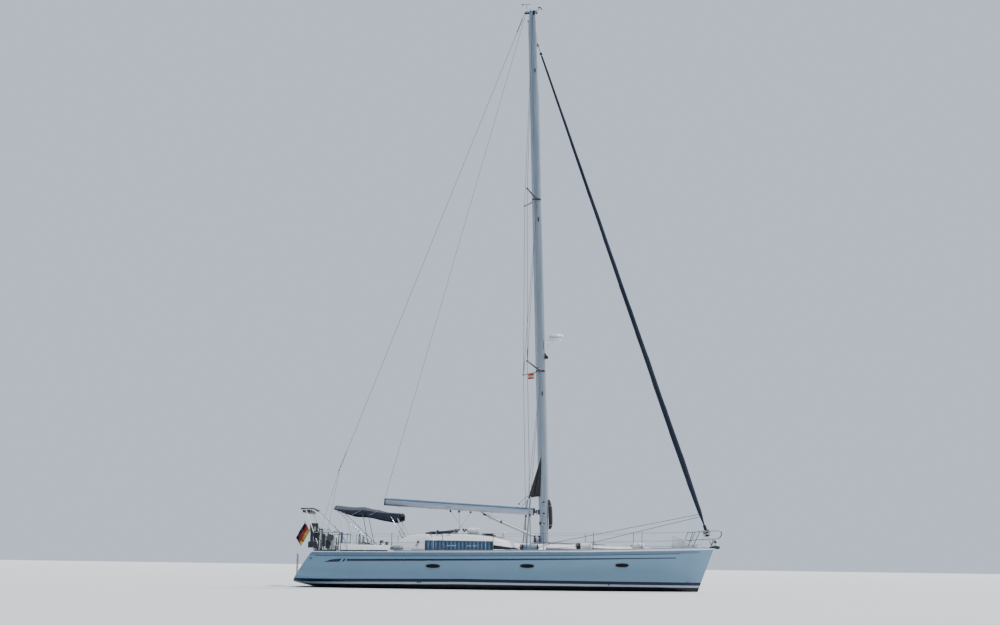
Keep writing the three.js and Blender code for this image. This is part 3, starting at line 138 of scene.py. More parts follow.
# Numbers along tables and curves
def between(rows, t):
    """Values of a table at row number t, on a smooth curve through its rows."""
    i = min(int(t), len(rows) - 2)
    u = t - i
    row = lambda k: rows[max(0, min(len(rows) - 1, k))]
    values = []
    for a, b, d, e in zip(row(i - 1), row(i), row(i + 1), row(i + 2)):
        s0, s1, rise = (d - a) / 2, (e - b) / 2, d - b
        values.append(b + u * (s0 + u * (3 * rise - 2 * s0 - s1 + u * (s0 + s1 - 2 * rise))))
    return values


def at_x(rows, x):
    """Values of a table at x, on a smooth curve through its rows."""
    i = max(0, min(len(rows) - 2, sum(r[0] <= x for r in rows) - 1))
    a, b = rows[i], rows[i + 1]
    before, after = rows[max(i - 1, 0)], rows[min(i + 2, len(rows) - 1)]
    step = b[0] - a[0]
    u = max(0, min(1, (x - a[0]) / step))
    values = [x]
    for k in range(1, len(a)):
        s0 = (b[k] - before[k]) / (b[0] - before[0]) * step
        s1 = (after[k] - a[k]) / (after[0] - a[0]) * step
        rise = b[k] - a[k]
        values.append(a[k] + u * (s0 + u * (3 * rise - 2 * s0 - s1 + u * (s0 + s1 - 2 * rise))))
    return values


def spread(start, end, count):
    """count values from start to end."""
    return [start + (end - start) * i / (count - 1) for i in range(count)]


def circle(count):
    """Angles of count points round a circle."""
    return spread(0, 2 * pi * (count - 1) / count, count)


def power(value, exponent):
    """A power that keeps the value's sign."""
    return copysign(abs(value) ** exponent, value)


def mix(a, b, share):
    """The point at a share of the way from a to b."""
    return Vector(a).lerp(Vector(b), share)


SHEER = [(r[0], r[2], r[3]) for r in (between(HULL, i / HULL_STEPS)
    for i in range(HULL_STEPS * (len(HULL) - 1) + 1))]


def deck_edge(x):
    """The deck's half width."""
    return at_x(SHEER, x)[1]


def deck_z(x, y=0):
    """The cambered deck's height."""
    _, half, z = at_x(SHEER, x)
    return z + DECK_CAMBER * half * (1 - min(1, (y / half) ** 2))


def on_deck(x, y, up=0):
    return vec(x, y, deck_z(x, y) + up)


def rail_place(x, side, up=0, inset=0.095):
    """A point over the deck's edge where the guardrail runs."""
    y = deck_edge(x) - inset
    return vec(x, side * y, deck_z(x, y) - 0.006 + up)


def roof_z(x, y=0):
    """The coachroof's height."""
    _, _, edge, top = at_x(ROOF, x)
    rise = top - deck_z(x, 1.2)
    camber = min(0.045, rise / 5)
    return top - camber * min(1.2, (y / edge) ** 2)


def on_roof(x, y, up=0):
    return vec(x, y, roof_z(x, y) + up)


def coaming_top(x):
    return at_x(COAMING, x)[3]


MAST_FRAME = shift(MAST_FOOT) @ Matrix.Rotation(-MAST_RAKE, 4, "Y")


def on_mast(along, out=0, side=0):
    """A point by height above the mast's foot, distance forward of its middle, and to port."""
    return MAST_FRAME @ vec(out, side, along)


def mast_height(z):
    """The distance up the mast at a height over the water."""
    return (z - MAST_FOOT.z) / cos(MAST_RAKE)


def frame_along(start, end):
    """A frame at start with +Z towards end."""
    turn = (Vector(end) - Vector(start)).to_track_quat("Z", "Y").to_matrix().to_4x4()
    return shift(start) @ turn


STAY_FRAME = frame_along(STAY_FOOT, STAY_HEAD)


# Shapes
def moved(bm, place):
    bmesh.ops.transform(bm, matrix=place, verts=bm.verts)
    return bm


def linked(name, data):
    """A new object in the scene."""
    obj = bpy.data.objects.new(name, data)
    bpy.context.scene.collection.objects.link(obj)
    return obj


def into(target, bm):
    """Adds one bmesh to another and frees it."""
    carrier = bpy.data.meshes.new("carrier")
    bm.to_mesh(carrier)
    bm.free()
    target.from_mesh(carrier)
    bpy.data.meshes.remove(carrier)
    return target


def skin(rings, closed=True, capped=True):
    """A surface over rings of equal count, from a grid whose points are moved to them."""
    bm = bmesh.new()
    across = len(rings[0]) if closed else len(rings[0]) - 1
    along = len(rings) - 1
    bmesh.ops.create_grid(bm, x_segments=across, y_segments=along, size=0.5)
    for v in bm.verts:
        i, j = round((v.co.x + 0.5) * across), round((v.co.y + 0.5) * along)
        v.co = rings[j][i % len(rings[0])]
    bmesh.ops.remove_doubles(bm, verts=bm.verts, dist=1e-5)
    if capped:
        bmesh.ops.holes_fill(bm, edges=[e for e in bm.edges if e.is_boundary])
    return bm


def block(low, high, bevel=0, segments=2):
    """A box between two corners with rounded edges."""
    low, high = Vector(low), Vector(high)
    size = high - low
    bm = bmesh.new()
    place = shift((low + high) / 2) @ Matrix.Diagonal((*size, 1))
    bmesh.ops.create_cube(bm, size=1, matrix=place)
    if bevel:
        bmesh.ops.bevel(
            bm, geom=list(bm.edges), offset=bevel, offset_type="OFFSET", segments=segments,
            profile=0.5, affect="EDGES", material=-1, clamp_overlap=True,
        )
    return bm


def lathe(profile, steps=24):
    """A body turned about Z from (radius, z) points that start and end on the axis or open."""
    bm = bmesh.new()
    verts = [bm.verts.new((r, 0, z)) for r, z in profile]
    edges = [bm.edges.new(pair) for pair in zip(verts, verts[1:])]
    bmesh.ops.spin(
        bm, geom=verts + edges, cent=(0, 0, 0), axis=(0, 0, 1), dvec=(0, 0, 0),
        angle=2 * pi, steps=steps, use_merge=True, use_duplicate=False,
    )
    bmesh.ops.remove_doubles(bm, verts=bm.verts, dist=1e-6)
    return bm


CURVE_STEPS = 5  # faces along a smooth tube between two of its points


def tube(points, radius, sides=8, smooth=False, closed=False):
    """A round tube through points; radius is one number or one for each point."""
    curve = bpy.data.curves.new("tube", "CURVE")
    curve.dimensions = "3D"
    curve.bevel_depth = 1
    curve.bevel_resolution = sides // 2 - 2
    curve.use_fill_caps = not closed
    curve.resolution_u = CURVE_STEPS
    spline = curve.splines.new("BEZIER" if smooth else "POLY")
    held = spline.bezier_points if smooth else spline.points
    held.add(len(points) - 1)
    radii = radius if isinstance(radius, (list, tuple)) else [radius] * len(points)
    for p, place, r in zip(held, points, radii):
        p.co = Vector(place) if smooth else (*place, 1)
        p.radius = r
        if smooth:
            p.handle_left_type = p.handle_right_type = "AUTO"
    spline.use_cyclic_u = closed
    obj = linked("tube", curve)
    bpy.context.view_layer.update()
    mesh = bpy.data.meshes.new_from_object(obj.evaluated_get(bpy.context.evaluated_depsgraph_get()))
    bm = bmesh.new()
    bm.from_mesh(mesh)
    bm.faces.ensure_lookup_table()
    bmesh.ops.remove_doubles(bm, verts=bm.verts, dist=1e-5)
    bpy.data.objects.remove(obj)
    bpy.data.curves.remove(curve)
    bpy.data.meshes.remove(mesh)
    return bm


def ball(centre, radius, steps=12):
    """A sphere."""
    bm = bmesh.new()
    bmesh.ops.create_uvsphere(
        bm, u_segments=steps, v_segments=steps // 2 + 2, radius=radius,
        matrix=shift(centre),
    )
    return bm


def sagging(a, b, sag, count=9):
    """Points of a slack line between two points."""
    a, b = Vector(a), Vector(b)
    return [a.lerp(b, s) - vec(0, 0, 4 * sag * s * (1 - s)) for s in spread(0, 1, count)]


COIL_POINTS = 14  # in each turn of a coil


def coil(centre, radius, turns, thick, tilt=None):
    """Points of a loose rope coil that lies about a centre."""
    points = []
    for i in range(int(turns * COIL_POINTS) + 1):
        angle = 2 * pi * i / COIL_POINTS
        wander = 1 + 0.08 * sin(1.7 * angle) + 0.05 * sin(0.31 * angle)
        flat = vec(cos(angle), sin(angle), 0) * radius * wander
        flat.z = thick * (i / COIL_POINTS) * 0.8
        points.append(Vector(centre) + (tilt @ flat if tilt else flat))
    return points


def size(key):
    """One of the sizes that the panel shows."""
    return getattr(bpy.context.scene.sloop_sizes, key)


SHARP = 32  # degrees between faces that show an edge


class Build:
    """One piece in the making: shapes go in, each with its finish or the piece's own, and done() makes it."""

    def __init__(self, finish=None):
        self.finish = finish
        self.mesh = bmesh.new()
        self.finishes = []

    def add(self, bm, finish=None, place=None):
        finish = finish or self.finish
        if place is not None:
            moved(bm, place)
        bmesh.ops.recalc_face_normals(bm, faces=bm.faces)
        if finish not in self.finishes:
            self.finishes.append(finish)
        index = self.finishes.index(finish)
        for face in bm.faces:
            face.material_index = index
        into(self.mesh, bm)
        return self

    def both(self, make, finish=None):
        """The shape that make(side) gives for port and for starboard."""
        for side in (1, -1):
            self.add(make(side), finish)
        return self

    def done(self, name, body, slot, replaces=(), sharp=SHARP):
        mesh = bpy.data.meshes.new(name)
        self.mesh.to_mesh(mesh)
        self.mesh.free()
        for finish in self.finishes:
            mesh.materials.append(FINISHES[finish])
        mesh.shade_smooth()
        mesh.set_sharp_from_angle(angle=radians(sharp))
        obj = linked(name, mesh)
        if body:
            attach(obj, body)
        if replaces:
            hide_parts(*([replaces] if isinstance(replaces, str) else replaces))
        return obj


def carve(obj, cutters):
    """Cuts closed shapes out of a finished mesh."""
    tools = []
    for bm in cutters:
        bmesh.ops.recalc_face_normals(bm, faces=bm.faces)
        mesh = bpy.data.meshes.new("cutter")
        bm.to_mesh(mesh)
        bm.free()
        tool = linked("cutter", mesh)
        modifier = obj.modifiers.new("carve", "BOOLEAN")
        modifier.operation = "DIFFERENCE"
        modifier.solver = "EXACT"
        modifier.object = tool
        tools.append(tool)
    bpy.context.view_layer.update()
    held = obj.evaluated_get(bpy.context.evaluated_depsgraph_get())
    carved = bpy.data.meshes.new_from_object(held)
    obj.modifiers.clear()
    old = obj.data
    obj.data = carved
    bpy.data.meshes.remove(old)
    for tool in tools:
        bpy.data.meshes.remove(tool.data)
    carved.shade_smooth()
    carved.set_sharp_from_angle(angle=radians(SHARP))
    return obj


def paint(obj, finish, chosen):
    """Gives the faces that chosen(centre, normal) picks another finish."""
    obj.data.materials.append(FINISHES[finish])
    index = len(obj.data.materials) - 1
    for face in obj.data.polygons:
        if chosen(face.center, face.normal):
            face.material_index = index


# Finishes
FINISHES = {}
WAVE_PITCH = 0.314159  # of a wave texture at scale 1


class Finish:
    """A principled shader whose colour, roughness and relief are built up in layers."""

    def __init__(self, name, colour, rough, metal=0, coat=0, sheen=0, uv=False):
        self.material = bpy.data.materials.new(name)
        self.material.use_nodes = True
        self.tree = self.material.node_tree
        self.shader = self.tree.nodes["Principled BSDF"]
        for socket, value in (
            ("Base Color", (*colour, 1)), ("Roughness", rough), ("Metallic", metal),
            ("Coat Weight", coat), ("Sheen Weight", sheen),
        ):
            self.shader.inputs[socket].default_value = value
        if coat:
            self.shader.inputs["Coat Roughness"].default_value = 0.08
        self.place = self.node("TexCoord", {}).outputs["UV" if uv else "Object"]
        self.height = None
        FINISHES[name] = self.material

    def node(self, kind, inputs, **values):
        """A node with its attributes set, and its inputs set or linked."""
        made = self.tree.nodes.new("ShaderNode" + kind)
        for key, value in values.items():
            setattr(made, key, value)
        for key, value in inputs.items():
            self.link(value, made.inputs[key])
        return made

    def link(self, source, target):
        if isinstance(source, bpy.types.NodeSocket):
            self.tree.links.new(source, target)
        else:
            target.default_value = source

    def stretched(self, stretch=(1, 1, 1), turn=(0, 0, 0)):
        inputs = {"Scale": stretch, "Rotation": turn, "Vector": self.place}
        return self.node("Mapping", inputs).outputs["Vector"]

    def noise(self, scale, detail=3, stretch=(1, 1, 1)):
        inputs = {"Scale": scale, "Detail": detail, "Vector": self.stretched(stretch)}
        return self.node("TexNoise", inputs).outputs["Fac"]

    def cells(self, scale):
        return self.node("TexVoronoi", {"Scale": scale, "Vector": self.stretched()}).outputs["Distance"]

    def wave(self, pitch, axis="X", turn=(0, 0, 0)):
        """Bands one pitch apart along an axis, from 0 to 1 and back."""
        inputs = {"Scale": WAVE_PITCH / pitch, "Vector": self.stretched(turn=turn)}
        return self.node("TexWave", inputs, bands_direction=axis).outputs["Fac"]

    def along(self, axis):
        return self.node("SeparateXYZ", {0: self.place}).outputs[axis]

    def sum(self, kind, a, b):
        return self.node("Math", {0: a, 1: b}, operation=kind).outputs[0]

    def between(self, value, low, high, to_low=0, to_high=1):
        """The value's place between low and high, held at both ends."""
        inputs = {"Value": value, "From Min": low, "From Max": high, "To Min": to_low, "To Max": to_high}
        return self.node("MapRange", inputs).outputs["Result"]

    def tint(self, colour, share):
        """Lays a colour over the present one by share."""
        base = self.shader.inputs["Base Color"]
        under = base.links[0].from_socket if base.is_linked else base.default_value
        mixer = self.node("Mix", {0: share, 6: under, 7: (*colour, 1)}, data_type="RGBA")
        self.link(mixer.outputs[2], base)
        return self

    def shade(self, source, darker, low=0.35, high=0.65):
        """Uneven colour: the source's high parts are darkened by a share."""
        colour = self.shader.inputs["Base Color"].default_value
        dark = [c * (1 - darker) for c in colour[:3]]
        return self.tint(dark, self.between(source, low, high))

    def gloss(self, source, low, high):
        self.link(self.between(source, 0.3, 0.7, low, high), self.shader.inputs["Roughness"])
        return self

    def relief(self, source, depth, strength=1):
        inputs = {"Distance": depth, "Strength": strength, "Height": source}
        if self.height:
            inputs["Normal"] = self.height
        self.height = self.node("Bump", inputs).outputs["Normal"]
        self.link(self.height, self.shader.inputs["Normal"])
        return self


STRIPE_DROP = 0.085


def hull_finish(c):
    """Gelcoat topsides over a navy and a white boot stripe, above black antifouling."""
    # c.topsides is painted shade: the white hull coloured the blue-grey of its shaded side.
    f = Finish("hull_gelcoat", c.topsides, 0.24, coat=0.1)
    f.shader.inputs["Specular IOR Level"].default_value = 0.25
    f.shade(f.noise(0.9, 4, (1, 1, 2)), 0.05)
    level = f.sum("ADD", f.along("Z"), f.sum("MULTIPLY", f.along("X"), 0.0048))
    level = f.sum("ADD", level, f.sum("MULTIPLY", f.noise(3, 3), 0.006))
    level = f.sum("ADD", level, f.between(f.along("X"), -1.5, -6.5, 0, STRIPE_DROP))
    streaks = f.sum("MULTIPLY", f.noise(2.2, 5, (3.5, 3.5, 0.25)), f.between(level, 1, 0.35))
    f.tint((0.2, 0.26, 0.3), f.between(streaks, 0.38, 0.62, 0, 0.16))
    band = f.sum("MULTIPLY", f.between(level, 0.252, 0.255), f.between(level, 0.362, 0.359))
    # c.boot is painted shade: the white boot stripe greyed as it looks in shade.
    f.tint(c.boot, f.between(level, 0.255, 0.252))
    f.tint(c.stripe, band)
    f.tint(c.antifouling, f.between(level, 0.183, 0.18))
    slime = f.sum("MULTIPLY", f.noise(7, 6, (1, 1, 0.6)), f.between(level, 0.1, -0.05))
    f.tint((0.1, 0.12, 0.08), f.between(slime, 0.4, 0.7, 0, 0.6))
    f.gloss(f.noise(1.6, 4), 0.14, 0.26)
    f.relief(f.noise(420, 2), 0.00006, 0.25)
    f.relief(f.noise(1.1, 2), 0.003, 0.12)


def gelcoat_finishes(c):
    """Gelcoat, non-skid, stripe and rub band."""
    f = Finish("gelcoat", c.gelcoat, 0.28, coat=0.25)
    f.shade(f.noise(1.3, 5), 0.07)
    f.gloss(f.noise(2, 4), 0.2, 0.38)
    f.relief(f.noise(380, 2), 0.00008, 0.3)
    f = Finish("non_skid", c.non_skid, 0.6)
    f.shade(f.noise(2.1, 6), 0.12)
    f.relief(f.cells(160), 0.0009, 0.8)
    f.gloss(f.noise(9, 3), 0.5, 0.75)
    f = Finish("cove_navy", c.stripe, 0.25, coat=0.3)
    f.shade(f.noise(5, 4), 0.25)
    f.relief(f.noise(300, 2), 0.00006, 0.3)
    # Painted shade: the rub band's darker blue stands in for the shade under the deck edge.
    f = Finish("rub_band", (0.11, 0.19, 0.27), 0.4)
    f.tint((0.17, 0.25, 0.32), f.between(f.noise(6, 6, (0.4, 1, 2)), 0.5, 0.75, 0, 0.5))
    f.relief(f.noise(140, 3, (0.2, 1, 1)), 0.0003, 0.4)


def teak_finish(name, colour, pitch):
    """Weathered planks with dark caulking between them."""
    f = Finish(name, colour, 0.62)
    grain = f.noise(9, 6, (0.6, 14, 14))
    f.shade(grain, 0.35, 0.3, 0.75)
    f.tint([1.25 * v for v in colour], f.between(f.noise(1.1, 3), 0.45, 0.7, 0, 0.5))
    seam = f.between(f.wave(pitch, "Y"), 0.03, 0)
    f.tint((0.03, 0.03, 0.032), seam)
    f.relief(f.sum("SUBTRACT", f.sum("MULTIPLY", grain, 0.3), seam), 0.0008, 0.7)
    f.gloss(grain, 0.5, 0.72)


def underwater_finish(name, colour):
    """Antifouling with slime on it."""
    f = Finish(name, colour, 0.7)
    f.shade(f.noise(3, 6), 0.4)
    f.tint((0.09, 0.11, 0.08), f.between(f.noise(5, 6, (1, 1, 0.5)), 0.52, 0.75, 0, 0.5))
    f.relief(f.noise(90, 4), 0.0006, 0.6)


def metal_finishes(c):
    """Spars, steel, wire, bronze and painted metal."""
    f = Finish("spar", c.spar, 0.36, metal=0.5)
    f.shade(f.noise(2.2, 5, (3, 3, 0.15)), 0.18)
    f.gloss(f.noise(6, 5, (8, 8, 0.2)), 0.28, 0.48)
    f.relief(f.noise(70, 3, (6, 6, 0.05)), 0.00025, 0.35)
    # boom_top is the boom paint's darker copy, painted shade for the boom's upper side.
    for name, colour in (("boom_paint", c.boom), ("boom_top", c.boom_top)):
        f = Finish(name, colour, 0.4, metal=0.3)
        f.shade(f.noise(2.2, 5, (0.2, 3, 3)), 0.16)
        f.gloss(f.noise(5, 5, (0.3, 6, 6)), 0.3, 0.5)
        f.relief(f.noise(60, 3, (0.05, 6, 6)), 0.00025, 0.3)
    f = Finish("vang_grey", (0.62, 0.64, 0.66), 0.42, metal=0.3)
    f.shade(f.noise(7, 5), 0.25)
    f.relief(f.noise(90, 3), 0.0002, 0.4)
    f = Finish("steel", (0.3, 0.33, 0.37), 0.24, metal=1)
    f.shade(f.noise(9, 5), 0.16)
    f.gloss(f.noise(24, 5), 0.1, 0.3)
    f.relief(f.noise(210, 3, (1, 1, 0.3)), 0.00008, 0.4)
    f = Finish("wire_strand", (0.06, 0.07, 0.085), 0.5, metal=0.3)
    f.shade(f.wave(0.018, "Z", (0.6, 0.5, 0)), 0.4, 0.2, 0.8)
    f.relief(f.wave(0.018, "Z", (0.6, 0.5, 0)), 0.001, 0.8)
    f = Finish("bronze", (0.52, 0.38, 0.19), 0.34, metal=1)
    f.tint((0.16, 0.22, 0.15), f.between(f.noise(14, 6), 0.5, 0.75, 0, 0.7))
    f.gloss(f.noise(30, 4), 0.25, 0.5)
    f.relief(f.noise(120, 3), 0.0002, 0.5)
    f = Finish("drive_paint", (0.4, 0.42, 0.45), 0.45, metal=0.4)
    f.shade(f.noise(8, 5), 0.3)
    f.relief(f.noise(160, 3), 0.0002, 0.4)
    f = Finish("engine_paint", (0.42, 0.46, 0.5), 0.4, metal=0.2)
    f.shade(f.noise(6, 6), 0.35)
    f.relief(f.cells(26), 0.002, 0.5)
    f = Finish("green_paint", c.roller, 0.42, metal=0.3)
    f.shade(f.noise(10, 5), 0.35)
    f.tint((0.2, 0.23, 0.21), f.between(f.noise(18, 6), 0.6, 0.75, 0, 0.6))
    f.relief(f.noise(160, 3), 0.0003, 0.4)
    f = Finish("track_black", (0.035, 0.036, 0.04), 0.35, metal=0.3)
    f.tint((0.16, 0.16, 0.17), f.between(f.noise(20, 6), 0.56, 0.72, 0, 0.5))
    f.relief(f.noise(150, 3), 0.0002, 0.4)


def cloth_finish(name, colour, weave=0.0012, sheen=0.25, fade=0.3):
    """Woven cloth: two crossing sets of threads, uneven fading and soft creases."""
    f = Finish(name, colour, 0.82, sheen=sheen)
    f.shader.inputs["Sheen Roughness"].default_value = 0.4
    threads = f.sum(
        "MULTIPLY", f.wave(weave, "X", (0, 0.5, 0.2)), f.wave(weave, "Y", (0.5, 0, 0.2))
    )
    f.tint([min(1, v * 1.9 + 0.02) for v in colour], f.between(f.noise(1.4, 5), 0.42, 0.72, 0, fade))
    f.tint([v * 0.55 for v in colour], f.between(threads, 0.5, 0, 0, 0.4))
    f.relief(f.noise(7, 4), 0.006, 0.35)
    f.relief(threads, 0.0004, 0.6)
    return f


def cloth_finishes(c):
    """Canvas, covers, webbing and flags."""
    cloth_finish("canvas", c.canvas, sheen=0.06, fade=0.18)
    cloth_finish("sail_cover", c.sail_cover, weave=0.0008, sheen=0.04, fade=0.2)
    cloth_finish("bag_cloth", (0.028, 0.028, 0.031), weave=0.0015)
    cloth_finish("webbing", (0.62, 0.64, 0.66), weave=0.002)
    for name, bands in (
        ("ensign", ((0.012, 0.012, 0.014), (0.42, 0.02, 0.02), (0.45, 0.33, 0.05))),
        ("courtesy_flag", ((0.42, 0.06, 0.08), (0.66, 0.5, 0.24), (0.42, 0.06, 0.08))),
        ("black_pennant", ((0.012, 0.012, 0.014),) * 3),
    ):
        f = Finish(name, bands[0], 0.75, sheen=0.2, uv=True)
        level = f.along("Y")
        f.tint(bands[1], f.between(level, 0.332, 0.334))
        f.tint(bands[2], f.between(level, 0.665, 0.667))
        f.tint((0.5, 0.5, 0.5), f.between(f.noise(5, 5), 0.55, 0.8, 0, 0.12))
        f.relief(f.sum("MULTIPLY", f.wave(0.003, "X"), f.wave(0.003, "Y")), 0.0003, 0.4)


def rope_finish(name, colour, fleck):
    """Laid rope with flecks."""
    f = Finish(name, colour, 0.75, sheen=0.15)
    lay = f.wave(0.016, "DIAGONAL", (0.4, 0.2, 0.9))
    f.tint([v * 0.5 for v in colour], f.between(lay, 0.35, 0, 0, 0.8))
    f.tint(fleck, f.between(f.noise(60, 2), 0.6, 0.66, 0, 0.8))
    f.relief(lay, 0.0015, 0.8)


def plain_finishes(c):
    """Plastics, rubber, glass, solar cells, leather and the floor."""
    for name, colour, rough, fine, coat in (
        ("white_plastic", (0.8, 0.81, 0.8), 0.34, 220, 0.1),
        ("black_plastic", (0.022, 0.023, 0.025), 0.45, 260, 0),
        ("grey_plastic", (0.3, 0.33, 0.36), 0.5, 260, 0),
        ("red_plastic", (0.42, 0.035, 0.03), 0.4, 200, 0.1),
        ("fender_grey", c.fender_grey, 0.42, 120, 0.15),
        ("fender_blue", (0.2, 0.27, 0.36), 0.42, 120, 0.15),
        ("fender_white", (0.8, 0.8, 0.78), 0.42, 120, 0.15),
        ("dark_rubber", (0.02, 0.021, 0.024), 0.62, 180, 0),
        ("plank_blue", c.plank, 0.5, 140, 0),
        ("dark_grey", (0.045, 0.052, 0.062), 0.5, 150, 0),
        ("plank_light", c.plank_light, 0.5, 140, 0),
        ("lid_white", (0.92, 0.93, 0.93), 0.35, 140, 0.1),
    ):
        f = Finish(name, colour, rough, coat=coat)
        f.shade(f.noise(4, 6), 0.22)
        f.tint([0.5 + 0.3 * v for v in colour], f.between(f.noise(11, 7), 0.62, 0.78, 0, 0.25))
        f.gloss(f.noise(12, 5), rough - 0.1, rough + 0.12)
        f.relief(f.noise(fine, 3), 0.00025, 0.4)
    for name, colour in (("window_glass", (0.003, 0.004, 0.006)), ("smoked_acrylic", (0.018, 0.02, 0.024))):
        f = Finish(name, colour, 0.22)
        f.shader.inputs["Specular IOR Level"].default_value = 0.12
        f.tint([2.5 * v for v in colour], f.between(f.noise(2.5, 6), 0.5, 0.8, 0, 0.5))
        f.gloss(f.noise(3, 6), 0.16, 0.3)
        f.relief(f.noise(3, 2), 0.0006, 0.2)
    f = Finish("solar_cells", (0.012, 0.018, 0.045), 0.16, coat=0.9)
    lines = f.sum("MAXIMUM", f.between(f.wave(0.125, "X"), 0.02, 0), f.between(f.wave(0.125, "Y"), 0.02, 0))
    fingers = f.between(f.wave(0.012, "Y"), 0.12, 0, 0, 0.35)
    f.shade(f.noise(8, 5), 0.3)
    f.tint((0.35, 0.37, 0.4), f.sum("MAXIMUM", lines, fingers))
    f.relief(lines, 0.0003, 0.3)
    f = Finish("stitched_leather", (0.16, 0.17, 0.19), 0.55)
    f.shade(f.noise(20, 5), 0.3)
    f.relief(f.cells(260), 0.0005, 0.6)
    f.relief(f.wave(0.012, "Y"), 0.0006, 0.3)
    f = Finish("shade_cloth", (0.05, 0.11, 0.2), 1)
    f.relief(f.noise(3, 3), 0.004, 0.08)
    f = Finish("floor", c.floor, 0.9)
    f.tint([v * 0.97 for v in c.floor], f.between(f.noise(0.4, 3), 0.4, 0.6, 0, 0.6))
    f.relief(f.noise(3, 3), 0.004, 0.08)


# Which finish a CAD node gets where it stays in view
NODE_FINISH = {
    "engine": "engine_paint",
    "outboard_motor": "dark_grey",
}


# Hull and deck
def hull_point(row, drop, side, inset=0):
    """A point on a section at a share of the way from sheer to keel."""
    sheer_x, keel_x, half, sheer_z, keel_z, side_power, bottom_power = row
    y = half * max(0, 1 - drop ** bottom_power) ** (1 / side_power)
    x = sheer_x + (keel_x - sheer_x) * drop
    return vec(x, side * max(0, y - inset), sheer_z + (keel_z - sheer_z) * drop)


def hull_drops(row, count):
    """Drop shares that crowd where the section turns into the bottom."""
    start = HULL_TOP / (row[3] - row[4])
    shares = [0.5 * s + 0.5 * sin(s * pi / 2) ** (2 / row[6]) for s in spread(0, 1, count)]
    return [start + (1 - start) * share for share in shares]


def hull_rows():
    """Sections from the transom to the rounded stem."""
    rows = [between(HULL, i / HULL_STEPS) for i in range(HULL_STEPS * (len(HULL) - 1) + 1)]
    last = rows[-1]
    for q in (0.45, 0.75, 0.93, 1):
        rounded = list(last)
        rounded[0] += 0.03 * q
        rounded[1] += 0.03 * q
        rounded[2] *= sqrt(1 - q * q)
        rows.append(rounded)
    return rows


def hull_body():
    """The whole hull as one closed skin."""
    rings = []
    for row in hull_rows():
        drops = hull_drops(row, 22)
        port = [hull_point(row, d, 1) for d in drops]
        starboard = [hull_point(row, d, -1) for d in reversed(drops)]
        rings.append(port + starboard[1:])
    return skin(rings)


def saloon_void():
    """The room inside, within the hull's inset shape."""
    rings = []
    for x in spread(-2.7, 4.25, 24):
        row = at_x(HULL, x)
        drops = hull_drops(row, 12)
        ring = [hull_point(row, d, s, 0.11) for s, ds in ((1, drops), (-1, drops[::-1])) for d in ds]
        ring = [vec(x, max(-1.32, min(1.32, p.y)), max(-0.33, p.z)) for p in ring]
        top = min(1.3, row[3] - 0.043)
        rings.append([vec(x, ring[0].y, top)] + ring + [vec(x, -ring[0].y, top)])
    return skin(rings)


WELLS = [
    ((-5.9, -1.33, 0.7), (-4.655, 1.33, 3)),
    ((-4.66, -1.33, 1.09), (-2.79, 1.33, 3)),
    ((-4.67, -0.56, 0.7), (-2.79, 0.56, 3)),
    ((-6.32, -0.42, 0.7), (-5.89, 0.42, 3)),
    ((-6.72, -0.42, 0.5), (-6.31, 0.42, 3)),
    ((-7.6, -0.42, 0.23), (-6.71, 0.42, 3)),
]
DOORWAY = ((-2.81, -0.29, 1.01), (-2.15, 0.29, 2.005))
LOCKER_AFT, LOCKER_FORE = (6, 0.225), (6.9, 0.075)
HATCHES = (("saloon", -0.56, 0.24), ("fore", 3.35, 0.27))


def locker_prism(low, high):
    """The anchor locker's opening between two heights."""
    (aft, wide), (fore, narrow) = LOCKER_AFT, LOCKER_FORE
    outline = [(aft, wide), (aft, -wide), (fore, -narrow), (fore, narrow)]
    return skin([[vec(x, y, z) for x, y in outline] for z in (low, high)])


def hatch_frame(x, half):
    """A frame on the roof under a hatch, +X forward, and its height over the roof."""
    fore, aft = roof_z(x + half), roof_z(x - half)
    turn = Matrix.Rotation(-atan2(fore - aft, 2 * half), 4, "Y")
    return shift((x, 0, (fore + aft) / 2 + 0.022)) @ turn


def well_cutters():
    """The cockpit, seats and stern steps to cut out."""
    return [block(low, high) for low, high in WELLS]


def cut_face(centre, normal):
    """Faces of the wells and rooms: floors, walls that face inwards, and bulkheads."""
    bulkhead = abs(normal.x) > 0.9 and centre.z > 0.2 and -6.95 < centre.x < 6.905
    return normal.z > 0.7 or normal.y * centre.y < -0.01 or bulkhead


def make_hull():
    """Hollow hull with its cockpit wells, doorway, room and anchor locker cut out."""
    hull = Build().add(hull_body(), "hull_gelcoat").done("hull_shell", "hull", "hull_gelcoat", "hull")
    carve(hull, well_cutters() + [saloon_void(), block(*DOORWAY), locker_prism(1.09, 3)])
    paint(hull, "gelcoat", cut_face)


def plate_ring(row):
    """A section of the deck's plate: the cambered top and the flat underside."""
    half = row[2]
    edge, low = hull_point(row, 0, 1), hull_point(row, HULL_TOP / (row[3] - row[4]), 1)
    margin = max(0, half - 0.1)
    across = [half] + spread(margin, -margin, 13) + [-half]
    top = [vec(edge.x, y, row[3] + DECK_CAMBER * half * (1 - (y / max(half, 1e-6)) ** 2)) for y in across]
    return [low] + top + [vec(low.x, -low.y, low.z)]


